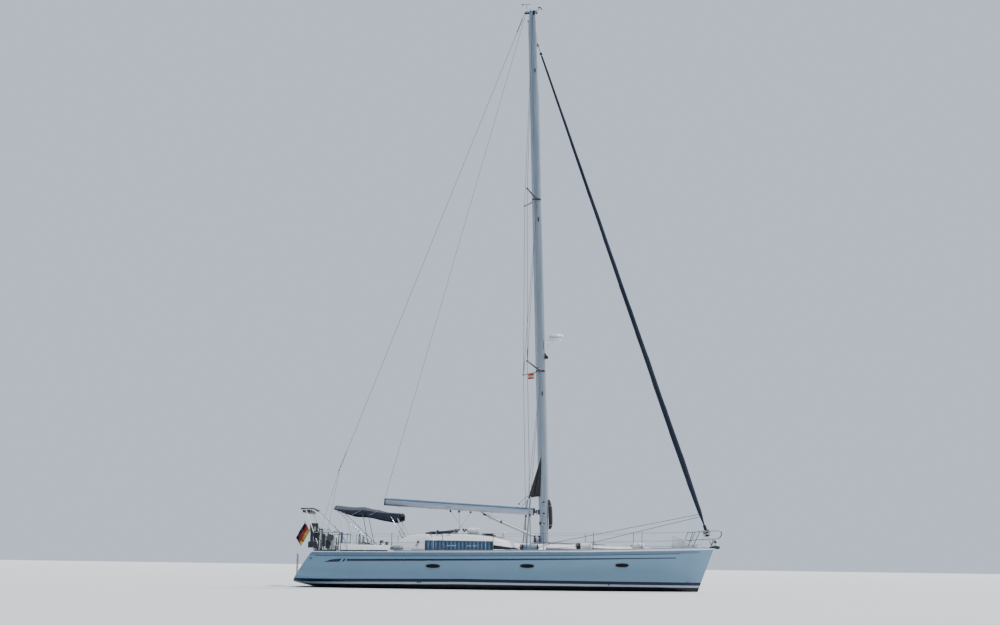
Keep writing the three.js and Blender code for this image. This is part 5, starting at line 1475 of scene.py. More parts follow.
def make_vang():
    """Rigid vang between the mast and the boom."""
    foot = MAST_FRAME @ vec(-0.2448, 0, mast_height(VANG_Z))
    head = vec(VANG_LUG_X, 0, 2.6445)
    at = lambda s: mix(foot, head, s)
    b = Build()
    b.add(tube([at(0.045), at(0.66)], 0.042, 20), "vang_grey")
    b.add(tube([at(0.64), at(0.93)], 0.033, 20), "spar")
    for low, high, thick in ((0.64, 0.67, 0.046), (0.93, 0.985, 0.036), (0.03, 0.06, 0.044)):
        b.add(tube([at(low), at(high)], thick, 20), "black_plastic")
    for place, thick in ((at(0.012), 0.022), (at(0.988), 0.026)):
        b.add(tube([place - vec(0, thick, 0), place + vec(0, thick, 0)], 0.016, 14), "steel")
    for up in (-0.058, 0.06):
        b.add(tube([at(0.1) + vec(0, 0, up), at(0.9) + vec(0, 0, up)], 0.008, 6), "rope_white")
    b.done("rod_vang", "boom", "boom_paint", "vang")


def make_masthead():
    """Lights, wind vane and aerial at the masthead, and the radar."""
    b = Build("track_black")
    top = lambda out, up, side=0: on_mast(20.06 + up, out, side)
    b.add(tube([top(-0.07, 0), top(-0.07, 0.09)], 0.016, 12))
    b.add(ball(top(-0.07, 0.105), 0.036), "white_plastic")
    b.add(block((-0.1, -0.06, 20.04), (-0.03, 0.06, 20.078), 0.008), place=MAST_FRAME)
    b.add(block((0, -0.085, 19.9), (0.1, -0.07, 20.09), 0.01), place=MAST_FRAME)
    b.add(block((-0.26, -0.035, 19.96), (-0.13, 0.035, 20.075), 0.025, 3), place=MAST_FRAME)
    b.add(tube([top(-0.2, 0.01), top(-0.22, 0.28)], 0.007, 8))
    b.add(tube([top(-0.35, 0.285), top(-0.05, 0.305)], 0.009, 8))
    b.add(ball(top(-0.37, 0.285), 0.03))
    b.add(tube([top(0.1, 0.02), top(0.24, 0.08)], 0.01, 8))
    b.add(tube([top(0.22, 0.175), top(0.3, 0.165), top(0.37, 0.07)], [0.02, 0.026, 0.014], 12, True))
    b.add(tube([top(0.24, 0.07), top(0.245, 0.17)], 0.008, 8))
    b.add(block((-0.19, -0.02, 19.62), (-0.15, 0.02, 19.72), 0.015, 3), "black_plastic", MAST_FRAME)
    b.done("masthead_gear", "hull", "track_black")

    b = Build()
    dome = [(0, 0), (0.2, 0), (0.255, 0.02), (0.272, 0.06), (0.272, 0.11), (0.262, 0.155), (0.225, 0.205),
        (0.15, 0.238), (0.06, 0.249), (0, 0.25)]
    b.add(lathe(dome, 48), "white_plastic", MAST_FRAME @ shift((0.61, 0, 7.33)))
    b.add(lathe([(0.268, 0.092), (0.2745, 0.094), (0.2745, 0.106), (0.268, 0.108)], 48), "grey_plastic",
        MAST_FRAME @ shift((0.61, 0, 7.33)))
    b.done("radar_scanner", "hull", "white_plastic", "radar_dome")
    b = Build("white_plastic")
    b.add(block((0.16, -0.088, 7.3), (0.7, 0.088, 7.328), 0.008), place=MAST_FRAME)
    for side in (1, -1):
        b.add(tube([on_mast(7.06, 0.165, side * 0.06), on_mast(7.3, 0.52, side * 0.06)], 0.011, 10))
    b.add(block((0.15, -0.085, 7.02), (0.166, 0.085, 7.32), 0.006), place=MAST_FRAME)
    b.done("radar_platform", "hull", "white_plastic", "radar_bracket")


# Rails and frames
def make_guardrails():
    """Stanchions with their braces and two wires on each side."""
    for side, name in SIDES:
        b = Build("steel")
        for x in STANCHION_X:
            foot, top = rail_place(x, side), rail_place(x, side, 0.612)
            b.add(tube([foot, top], [0.0125, 0.0115], 12))
            b.add(ball(top, 0.014, 10), "black_plastic")
            b.add(flange(foot, STANCHION_SOCKET))
        for x in (-2.14, 1.32, 3.05):
            brace = rail_place(x, side, 0.3)
            b.add(tube([brace, rail_place(x + 0.2, side, 0)], 0.009, 8))
        for up in (0.598, 0.305):
            stops = [-5.56, *STANCHION_X, 6.56]
            for a, c in zip(stops, stops[1:]):
                line = [rail_place(x, side, up) for x in spread(a, c, 5)]
                line = [p - vec(0, 0, 0.008 * sin(pi * s)) for p, s in zip(line, spread(0, 1, 5))]
                b.add(tube(line, size("line"), 6), "wire_strand")
        b.done("guardrail_" + name + "_line", "hull", "steel_tube", "guardrail_" + name)


STANCHION_SOCKET = [(0, 0), (0.038, 0), (0.038, 0.006), (0.022, 0.012), (0.017, 0.06), (0, 0.06)]
PULPIT_SOCKET = [(0, 0), (0.036, 0), (0.036, 0.006), (0.018, 0.012), (0, 0.012)]
ARCH_SOCKET = [(0, 0), (0.045, 0), (0.045, 0.006), (0.02, 0.014), (0, 0.014)]
FLANGE = [(0, 0), (0.038, 0), (0.036, 0.008), (0.018, 0.013), (0, 0.013)]


def flange(foot, profile=FLANGE):
    """The fitting at a tube's foot."""
    return moved(lathe(profile, 18), shift(foot))


PULPIT_TOP = [(6.64, 0.61, 2.085), (7.15, 0.4, 2.125), (7.56, 0.19, 2.15)]
PULPIT_LOW = [(6.62, 0.6, 1.8), (7.15, 0.37, 1.838), (7.52, 0.15, 1.862), (7.69, 0.06, 1.885)]


def mirrored(points, side):
    """Points given for port, on either side."""
    return [vec(x, side * y, z) for x, y, z in points]


def make_pulpit():
    """Tubes round the bow with their feet and a lamp."""
    b = Build("steel")
    over = mirrored(PULPIT_TOP, 1) + [vec(7.74, 0, 2.16)] + mirrored(PULPIT_TOP, -1)[::-1]
    b.add(tube(over, 0.0138, 12, True))
    for side in (1, -1):
        b.add(tube(mirrored(PULPIT_LOW, side), size("rail_tube"), 12, True))
        for (x, y, z), foot in (((6.665, 0.6, 2.087), 6.47), ((6.93, 0.5, 2.106), 6.64),
                ((7.52, 0.15, 1.862), 7.38)):
            b.add(tube([(x, side * y, z), on_deck(foot, side * (deck_edge(foot) - 0.085))],
                size("rail_tube"), 12))
        for x in (6.47, 6.64, 7.38):
            b.add(flange(on_deck(x, side * (deck_edge(x) - 0.085)), PULPIT_SOCKET))
    b.add(tube([(7.69, 0.06, 1.885), (7.705, 0, 1.888), (7.69, -0.06, 1.885)], size("rail_tube"), 12, True))
    for side in (1, -1):
        b.add(tube([(7.725, side * 0.05, 2.16), (7.78, side * 0.05, 2.1), (7.768, side * 0.05, 1.97),
            (7.69, side * 0.055, 1.885)], size("rail_tube"), 12, True))
    lamp = lathe([(0, 0), (0.042, 0.002), (0.045, 0.01), (0.045, 0.075), (0.036, 0.09), (0, 0.092)], 20)
    b.add(lamp, "black_plastic", shift((7.561, 0, 1.705)))
    b.add(tube([(7.561, 0, 1.79), (7.53, 0, 1.862)], 0.009, 8))
    b.done("pulpit_tubes", "hull", "steel_tube", "pulpit")


AFT_DECK = 1.245
PUSHPIT = [(-5.6, 1.86), (-6.15, 1.81), (-6.5, 1.62), (-6.56, 1.2), (-6.56, 0.52)]


def make_pushpit():
    """Stern rails, their gate lines, and what is clamped to them."""
    b = Build("steel")
    for side in (1, -1):
        for up in (0.62, 0.32):
            line = [vec(x, side * y, AFT_DECK + up) for x, y in PUSHPIT]
            b.add(tube(line, 0.0135 if up > 0.5 else 0.0115, 12, True))
        for x, y in ((-5.62, 1.858), (-6.33, 1.745), (-6.56, 1), (-6.56, 0.54)):
            foot = vec(x, side * y, deck_z(x, y))
            b.add(tube([foot, vec(x, side * y, AFT_DECK + 0.62)], size("rail_tube"), 12))
            b.add(flange(foot))
    for up in (0.61, 0.32):
        b.add(tube(sagging((-6.56, 0.53, AFT_DECK + up), (-6.56, -0.53, AFT_DECK + up), 0.012), 0.0042, 6),
            "wire_strand")
    b.done("pushpit_tubes", "hull", "steel_tube", "pushpit")

    b = Build("black_plastic")
    lifebelt = [vec(-6.42 - 0.02 * sin(a), 1.02 + 0.2 * cos(a), 1.72 + 0.23 * sin(a))
        for a in spread(0.5, 5.8, 20)]
    b.add(tube(lifebelt, 0.058, 12, True), "webbing")
    sling = block((-6.5, -1.34, 1.5), (-6.4, -1.06, 1.86), 0.035, 3)
    b.add(sling, "webbing")
    for y in (-1.34, -1.2, -1.06):
        b.add(block((-6.506, y - 0.012, 1.495), (-6.395, y + 0.012, 1.866), 0.004))
    b.add(tube([(-6.3, -1.7, 1.24), (-6.3, -1.7, 1.93)], 0.042, 14), "webbing")
    b.add(ball(vec(-6.3, -1.7, 1.95), 0.045))
    reel = lathe([(0, -0.07), (0.12, -0.07), (0.12, -0.055), (0.07, -0.05), (0.09, 0), (0.07, 0.05),
        (0.12, 0.055), (0.12, 0.07), (0, 0.07)], 26)
    b.add(reel, "dark_grey", shift((-5.98, -1.83, 1.69)) @ QUARTER_X)
    b.add(block((-6.2, -1.8, 1.5), (-6.05, -1.72, 1.74), 0.03, 3), "grey_plastic")
    for x, y, z, wide, tall, finish in (
        (-6.53, -1.42, 1.62, 0.075, 0.3, "black_plastic"), (-6.36, -1.66, 1.56, 0.06, 0.26, "bag_cloth"),
        (-6.22, -1.79, 1.6, 0.05, 0.22, "black_plastic"), (-6.06, -1.81, 1.46, 0.07, 0.15, "bag_cloth"),
        (-5.88, -1.85, 1.55, 0.05, 0.2, "grey_plastic"), (-6.5, -1.5, 1.93, 0.04, 0.07, "dark_grey"),
    ):
        b.add(block((x - wide, y - 0.045, z - tall), (x + wide, y + 0.045, z + tall), 0.035, 3), finish)
    for y, z, rope in ((-1.5, 1.6, "rope_white"), (1.48, 1.6, "rope_blue"), (-1.62, 1.48, "rope_blue")):
        b.add(coil_on_rail((-6.34, y, z), 0.1), rope)
    b.add(block((-5.64, -1.815, 1.5), (-5.56, -1.755, 1.88), 0.02, 3), "plank_blue")
    for x, low, high, finish in (
        (-6.62, 1.28, 2.06, "white_plastic"), (-6.5, 1.26, 1.92, "black_plastic"),
        (-6.16, 1.27, 1.98, "white_plastic"),
        (-6.02, 1.27, 1.8, "black_plastic"), (-5.86, 1.27, 1.9, "white_plastic"),
        (-5.72, 1.27, 1.84, "black_plastic"),
        (-6.57, 1.26, 1.99, "dark_grey"), (-6.46, 1.26, 2.02, "dark_grey"),
        (-6.36, 1.26, 1.86, "white_plastic"),
        (-6.28, 1.26, 1.95, "dark_grey"), (-6.22, 1.26, 1.78, "black_plastic"),
        (-6.09, 1.26, 1.88, "dark_grey"),
        (-5.94, 1.26, 1.74, "dark_grey"), (-5.8, 1.26, 1.7, "dark_grey"),
    ):
        y = -1.2 if x < -6.4 else -1.76
        b.add(tube([(x, y, low), (x + 0.03, y, high)], 0.017, 10), finish)
    b.done("pushpit_gear", "hull", "canvas")


def coil_on_rail(centre, radius):
    """A hanging coil of rope."""
    turn = QUARTER_Y @ Matrix.Rotation(0.25, 4, "X")
    points = coil((0, 0, 0), radius, 5, 0.016)
    points = [Vector(centre) + turn @ vec(p.x * 1.35, p.y, p.z) for p in points]
    return tube(points, size("rope"), 6)


ARCH = [(-5.75, 1.69), (-5.83, 1.6), (-6.3, 1.3), (-6.64, 1.04), (-6.76, 0.98), (-7.11, 0.98)]
ARCH_Z = [coaming_top(-5.75) - 0.008, 1.7, 2.28, 2.61, 2.66, 2.66]


def make_arch():
    """Stern arch with its legs, and the solar panels on it."""
    b = Build("white_plastic")
    for side in (1, -1):
        line = [vec(x, side * y, z) for (x, y), z in zip(ARCH, ARCH_Z)]
        b.add(tube(line, 0.0205, 14, True))
        b.add(tube([(-6.33, side * 1.65, deck_z(-6.33, 1.65)), (-6.96, side * 0.985, 2.658)], 0.0165, 12))
        b.add(flange(line[0], ARCH_SOCKET), "steel")
        b.add(tube([(-6.05, side * 1.46, 1.97), (-6.52, side * 1.36, 1.99)], 0.01, 10), "steel")
    for x in (-6.78, -7.11):
        b.add(tube([(x, 0.985, 2.66), (x, -0.985, 2.66)], 0.0165, 12), "steel")
    b.add(block((-7.08, -0.93, 2.56), (-6.81, 0.93, 2.672), 0.02, 3), "dark_grey")
    b.done("stern_arch_tubes", "hull", "steel_tube", "stern_arch")

    b = Build()
    z = 2.6794
    b.add(block((-7.135, -1.01, z), (-6.67, 1.01, z + 0.034), 0.004), "black_plastic")
    for y in (-0.75, -0.25, 0.25, 0.75):
        b.add(block((-7.12, y - 0.02, z - 0.01), (-6.685, y + 0.02, z + 0.002), 0.003), "dark_grey")
    for y0, y1 in ((-0.99, -0.006), (0.006, 0.99)):
        b.add(block((-7.118, y0, z + 0.03), (-6.687, y1, z + 0.035), 0.001), "solar_cells")
    b.done("solar_panels", "hull", "solar_glass", "solar_panel")


HOOD_HALF = 1.42
HOOD_BOWS = (-5.85, -4.96, -4.45, -3.71)


def hood_z(x, y):
    """The cloth's top, flatter across and steeper at its sides towards the bow."""
    drop = 0.175 - 0.105 * share(x, -5.2, -3.9)
    return at_x(HOOD_CROWN, x)[1] - drop * abs(y / HOOD_HALF) ** 2.2


def hood_hem(x):
    """The skirt's lower edge, which rises to both ends."""
    low = at_x(HOOD_CROWN, x)[1] - 0.325
    rise = 0.125 * (1 - share(x, -5.93, -5.4)) + 0.12 * share(x, -3.85, -3.6)
    return low + rise


def hood_cloth():
    """One sheet from hem to hem over the bows, sagging between them."""
    rings = []
    for x in spread(-5.935, -3.6, 64):
        sag = 0.02 * min(1, min(abs(x - bow) for bow in HOOD_BOWS) / 0.3) ** 1.3
        ring = []
        for s in spread(-1, 1, 49):
            flat = min(1, abs(s) / 0.84)
            down = max(0, (abs(s) - 0.84) / 0.16)
            crease = down * (0.012 * sin(x * 21) + 0.006 * sin(x * 47 + 1))
            z = hood_z(x, HOOD_HALF * flat) - 0.006 - sag * (1 - flat ** 4)
            y = HOOD_HALF * flat - 0.015 * down + crease
            ring.append(vec(x, copysign(y, s), z + (hood_hem(x) - z) * down))
        rings.append(ring)
    cloth = skin(rings, closed=False, capped=False)
    bmesh.ops.recalc_face_normals(cloth, faces=cloth.faces)
    bmesh.ops.solidify(cloth, geom=list(cloth.faces), thickness=size("cloth"))
    return cloth


def make_bimini():
    """A cloth stretched over three bows with a hanging skirt, seams and bound edges."""
    b = Build("canvas").add(hood_cloth())
    for x in (-5.932, *HOOD_BOWS[1:3], -3.603):
        seam = [vec(x, y, hood_z(x, y) - 0.004) for y in spread(-HOOD_HALF, HOOD_HALF, 25)]
        b.add(ribbon(seam, vec(0.018, 0, 0), 0.003))
    for side in (1, -1):
        hem = [vec(x, side * (HOOD_HALF - 0.012), hood_hem(x) + 0.006) for x in spread(-5.925, -3.61, 24)]
        b.add(ribbon(hem, vec(0, 0, 0.008), 0.004))
        for x, lean in ((-5.3, 0.3), (-4.72, 0.3)):
            strap = [vec(x + lean * u, side * (HOOD_HALF + 0.006),
                hood_z(x, HOOD_HALF) - 0.01 - 0.15 * (1 - u)) for u in (0, 1)]
            b.add(ribbon(strap, vec(0.007, 0, 0), 0.003), "webbing")
    hood = b.done("bimini_cloth", "hull", "canvas", "bimini_canopy", sharp=60)


def ribbon(points, half, thick):
    """A flat band along points, half its width to each side."""
    level = abs(half.z) < 1e-6 and abs(points[0].y - points[-1].y) > 1e-6 or abs(half.y) > 0
    lift = vec(0, 0, thick) if level else vec(0, copysign(thick, points[0].y), 0)
    return skin([[p - half, p + half, p + half + lift, p - half + lift] for p in points])


BOWS = ((-5.85, -4.56), (-4.96, -4.7), (-4.02, -3.52))


def make_bimini_frame():
    """Three bows, side rails and straps under the cloth."""
    b = Build("webbing")
    for top_x, foot_x in BOWS:
        over = [vec(top_x, y, hood_z(top_x, y) - 0.03) for y in spread(1.33, -1.33, 15)]
        feet = [vec(foot_x, s * 1.56, coaming_top(foot_x) + 0.004) for s in (1, -1)]
        knees = [mix(foot, end, 0.93) + vec(0, s * 0.045, 0)
            for foot, end, s in zip(feet, (over[0], over[-1]), (1, -1))]
        b.add(tube([feet[0], knees[0]] + over + [knees[1], feet[1]], 0.0125, 12), "steel")
        for foot in feet:
            b.add(block(foot - vec(0.03, 0.02, 0.004), foot + vec(0.03, 0.02, 0.03), 0.006), "black_plastic")
    for side in (1, -1):
        rail = [vec(x, side * 1.35, hood_z(x, 1.35) - 0.052) for x in spread(-5.85, -3.75, 9)]
        b.add(tube(rail, 0.0115, 10), "steel")
        b.add(tube([(-5.845, side * 1.395, 2.64), (-5.42, side * 1.7, coaming_top(-5.42) + 0.01)], 0.008, 6))
        b.add(tube([(-3.72, side * 1.395, 2.4), (-3.4, side * 1.56, coaming_top(-3.4) + 0.006)], 0.008, 6))
        b.add(tube([(-3.72, side * 1.405, 2.39), (-3.57, side * 1.56, coaming_top(-3.57) + 0.006)], 0.008, 6))
    b.done("bimini_bows", "hull", "steel_tube", "bimini_frame")


# Cockpit
def make_wheels():
    """Two wheels with a bound rim and six spokes."""
    for side, name in SIDES:
        centre = vec(-5.06, side * 0.88, 1.44)
        b = Build("steel")
        rim = [centre + vec(0, 0.395 * cos(a), 0.395 * sin(a)) for a in circle(48)]
        b.add(tube(rim, 0.014, 12, closed=True), "stitched_leather")
        for k in range(6):
            a = pi * k / 3 + 0.26
            out = vec(0, cos(a), sin(a))
            b.add(tube([centre + out * 0.03, centre + out * 0.386], [0.0075, 0.0062], 10))
            b.add(tube([centre + out * 0.355, centre + out * 0.388], 0.0095, 10))
        hub = [(0, -0.022), (0.044, -0.022), (0.048, -0.016), (0.048, 0.01), (0.03, 0.022), (0.014, 0.027),
            (0, 0.028)]
        b.add(lathe(hub, 26), place=shift(centre) @ BACK_Y)
        b.done("wheel_" + name + "_rim", "wheel_" + name, "wheel_rim", "wheel_" + name)


def make_pedestals():
    """Helm columns with a sloping instrument face and a compass."""
    for side, name in SIDES:
        y = side * 0.88
        rings = []
        for s, aft, fore, half in ((0, -5.008, -4.802, 0.091), (0.06, -5, -4.81, 0.085),
                (0.55, -4.995, -4.805, 0.098), (0.86, -5.004, -4.802, 0.126), (1, -5.008, -4.802, 0.129)):
            ring = []
            for a in circle(28):
                c, n = cos(a), sin(a)
                u = power(c, 0.45)
                v = power(n, 0.45)
                x = (aft + fore) / 2 + (fore - aft) / 2 * u
                top = 1.56 - 0.06 * (x + 5.008) / 0.206
                ring.append(vec(x, y + half * v, 0.701 + (top - 0.701) * s))
            rings.append(ring)
        b = Build("steel").add(skin(rings), "gelcoat")
        tilt = shift((-4.905, y, 1.531)) @ Matrix.Rotation(0.284, 4, "Y")
        b.add(block((-0.088, -0.112, -0.002), (0.085, 0.112, 0.006), 0.003), "dark_grey", tilt)
        b.add(block((-0.08, -0.1, 0.005), (-0.005, 0.1, 0.01), 0.002), "window_glass", tilt)
        compass = lathe([(0, 0), (0.052, 0), (0.052, 0.008), (0.04, 0.026), (0.022, 0.037), (0, 0.04)], 24)
        b.add(compass, "window_glass", tilt @ shift((0.045, 0, 0.004)))
        b.add(tube([(-5.028, y, 1.44), (-4.99, y, 1.44)], 0.04, 20))
        b.add(tube([(-4.97, y - 0.135, 1.34), (-4.97, y - 0.16, 1.45), (-4.96, y - 0.162, 1.52)], 0.008, 8,
            True))
        guard = [vec(-4.8, y + s * 0.12, z) for s, z in ((1, 1.2), (1.05, 1.56), (0.95, 1.64), (-0.95, 1.64),
            (-1.05, 1.56), (-1, 1.2))]
        b.add(tube([p + vec(0.022, 0, 0) for p in guard], 0.0105, 10, True))
        b.done("helm_column_" + name, "hull", "deck_gelcoat", "pedestal_" + name)


def make_cockpit():
    """Sheet winches, table, teak, helm seats, sliding hatch and washboard."""
    for side, name in SIDES:
        b = Build()
        place = shift((-4.25, side * 1.49, coaming_top(-4.25) + 0.001))
        b.add(winch_shape(0.092, 0.168), "steel", place)
        b.add(block((-0.03, -0.012, 0.15), (0.06, 0.012, 0.158), 0.003), "black_plastic", place)
        b.done("sheet_winch_" + name, "hull", "steel_polished", "winch_" + name)

    b = Build("gelcoat")
    b.add(block((-4.25, -0.168, 1.29), (-3.35, 0.168, 1.33), 0.01, 3), "teak")
    b.add(block((-4.248, -0.15, 1.1), (-4.08, 0.15, 1.48), 0.03, 3))
    b.add(tube([(-4.16, 0.12, 1.47), (-4.16, 0.12, 1.6), (-4.16, -0.12, 1.6), (-4.16, -0.12, 1.47)], 0.012,
        10), "steel")
    b.add(block((-4.248, -0.06, 0.702), (-4.13, 0.06, 1.295), 0.02))
    b.add(block((-3.52, -0.055, 0.702), (-3.41, 0.055, 1.295), 0.02))
    b.done("cockpit_table_leaf", "hull", "teak", "cockpit_table")

    b = Build()
    for low, high in (
        ((-5.88, -1.3, 0.7), (-4.7, 1.3, 0.708)), ((-4.64, -0.545, 0.7), (-2.82, 0.545, 0.708)),
        ((-4.63, 0.58, 1.09), (-2.82, 1.315, 1.098)), ((-4.63, -1.315, 1.09), (-2.82, -0.58, 1.098)),
        ((-6.305, -0.4, 0.7), (-5.905, 0.4, 0.708)), ((-6.7, -0.4, 0.5), (-6.33, 0.4, 0.508)),
        ((-7.22, -0.4, 0.23), (-6.73, 0.4, 0.238)),
    ):
        b.add(block(low, high, 0.002), "teak")
    b.done("cockpit_teak", "hull", "teak")

    b = Build()
    for side in (1, -1):
        seat = [(-5.895, 0.5), (-5.895, 1.32), (-5.52, 1.32), (-5.45, 1.26), (-5.45, 0.56), (-5.52, 0.5)]
        b.add(skin([[vec(x, side * y, z) for x, y in seat] for z in (0.702, 1.14)]), "gelcoat")
        b.add(skin([[vec(x - 0.01 * (x > -5.8), side * y, z) for x, y in seat] for z in (1.14, 1.15)]),
            "teak")
    b.done("helm_seats", "hull", "deck_gelcoat")

    b = Build()
    b.add(block((-2.8, -0.335, SLIDE_Z + 0.007), (-2.128, 0.335, SLIDE_Z + 0.025), 0.008, 3),
        "smoked_acrylic")
    b.add(block((-2.8, -0.3, SLIDE_Z - 0.004), (-2.77, 0.3, SLIDE_Z + 0.031), 0.006), "gelcoat")
    b.add(tube([(-2.74, -0.1, SLIDE_Z + 0.024), (-2.74, -0.09, SLIDE_Z + 0.036),
        (-2.74, 0.09, SLIDE_Z + 0.036), (-2.74, 0.1, SLIDE_Z + 0.024)], 0.006, 8, True), "steel")
    b.done("sliding_hatch", "slide_hatch", "tinted_acrylic", "companionway_hatch")

    b = Build()
    b.add(block((-2.745, -0.2895, 1.011), (-2.72, 0.2895, SLIDE_Z - 0.016), 0.004), "smoked_acrylic")
    for y in (-0.2995, 0.2995):
        b.add(block((-2.775, y - 0.014, 1.09), (-2.752, y + 0.014, SLIDE_Z - 0.02), 0.004), "steel")
    b.done("washboard_panel", "hull", "tinted_acrylic", "washboard")


def make_hatches():
    """Two deck hatches with acrylic lids and their hinges."""
    for name, x, half in HATCHES:
        place = hatch_frame(x, half)
        b = Build()
        b.add(block((-half, -half, 0.0004), (half, half, 0.022), 0.014, 3), "spar", place)
        b.add(block((-half + 0.035, -half + 0.035, 0.018), (half - 0.035, half - 0.035, 0.03), 0.006),
            "smoked_acrylic", place)
        for side in (1, -1):
            b.add(block((half - 0.05, side * half * 0.55 - 0.03, 0.02),
                (half - 0.004, side * half * 0.55 + 0.03, 0.0295), 0.004), "black_plastic", place)
        b.add(block((-half + 0.012, -0.03, 0.02), (-half + 0.045, 0.03, 0.0295), 0.003), "black_plastic",
            place)
        b.done(name + "_hatch_frame", name + "_hatch", "tinted_acrylic", name + "_hatch_lid")


# Foredeck
LOCKER_HINGE = vec(5.999841, 0.225027, 1.51199)
LOCKER_AXIS = vec(0.986235, -0.164372, 0.017963)


def make_locker_lid():
    """The anchor locker's lid, standing open on its port edge, with ribs and a strut eye inside."""
    shut = shift(LOCKER_HINGE) @ Matrix.Rotation(radians(-96), 4, LOCKER_AXIS)
    shut = shut @ shift(-LOCKER_HINGE)
    slope = (deck_z(6.9, 0.07) - deck_z(6, 0.2)) / 0.9
    ring = lambda grow, up: [
        vec(x, y, deck_z(6, 0.2) + slope * (x - 6) - 0.001 + up)
        for x, y in ((6.006 - grow, 0.219 + grow), (6.894 + grow, 0.069 + grow),
            (6.894 + grow, -0.069 - grow), (6.006 - grow, -0.219 - grow))
    ]
    b = Build()
    b.add(skin([ring(-0.004, -0.026), ring(0, -0.022), ring(0, -0.006), ring(-0.006, 0)]), "lid_white", shut)
    b.add(skin([ring(-0.045, -0.031), ring(-0.04, -0.025)]), "lid_white", shut)
    b.add(skin([[vec(x, y, deck_z(6, 0.2) + slope * (x - 6) + up)
        for x, y in ((6.004, -0.222), (6.896, -0.072), (6.896, -0.052), (6.004, -0.196))]
        for up in (-0.024, 0.0005)]), "grey_plastic", shut)
    for x in (6.18, 6.66):
        y = 0.225 - (x - 6) / 6 - 0.03
        z = deck_z(x, y) - 0.001
        b.add(tube([(x - 0.03, y + 0.028, z + 0.008), (x + 0.03, y + 0.024, z + 0.008)], 0.008, 10), "steel",
            shut)
        b.add(block((x - 0.022, y - 0.045, z - 0.003), (x + 0.022, y + 0.022, z + 0.003), 0.002), "steel",
            shut)
    b.add(tube([(6.4, -0.1, 1.478), (6.4, -0.06, 1.47), (6.44, -0.06, 1.478)], 0.006, 8, True), "steel", shut)
    b.done("locker_lid_shell", "locker_lid", "deck_gelcoat", "anchor_locker_lid")


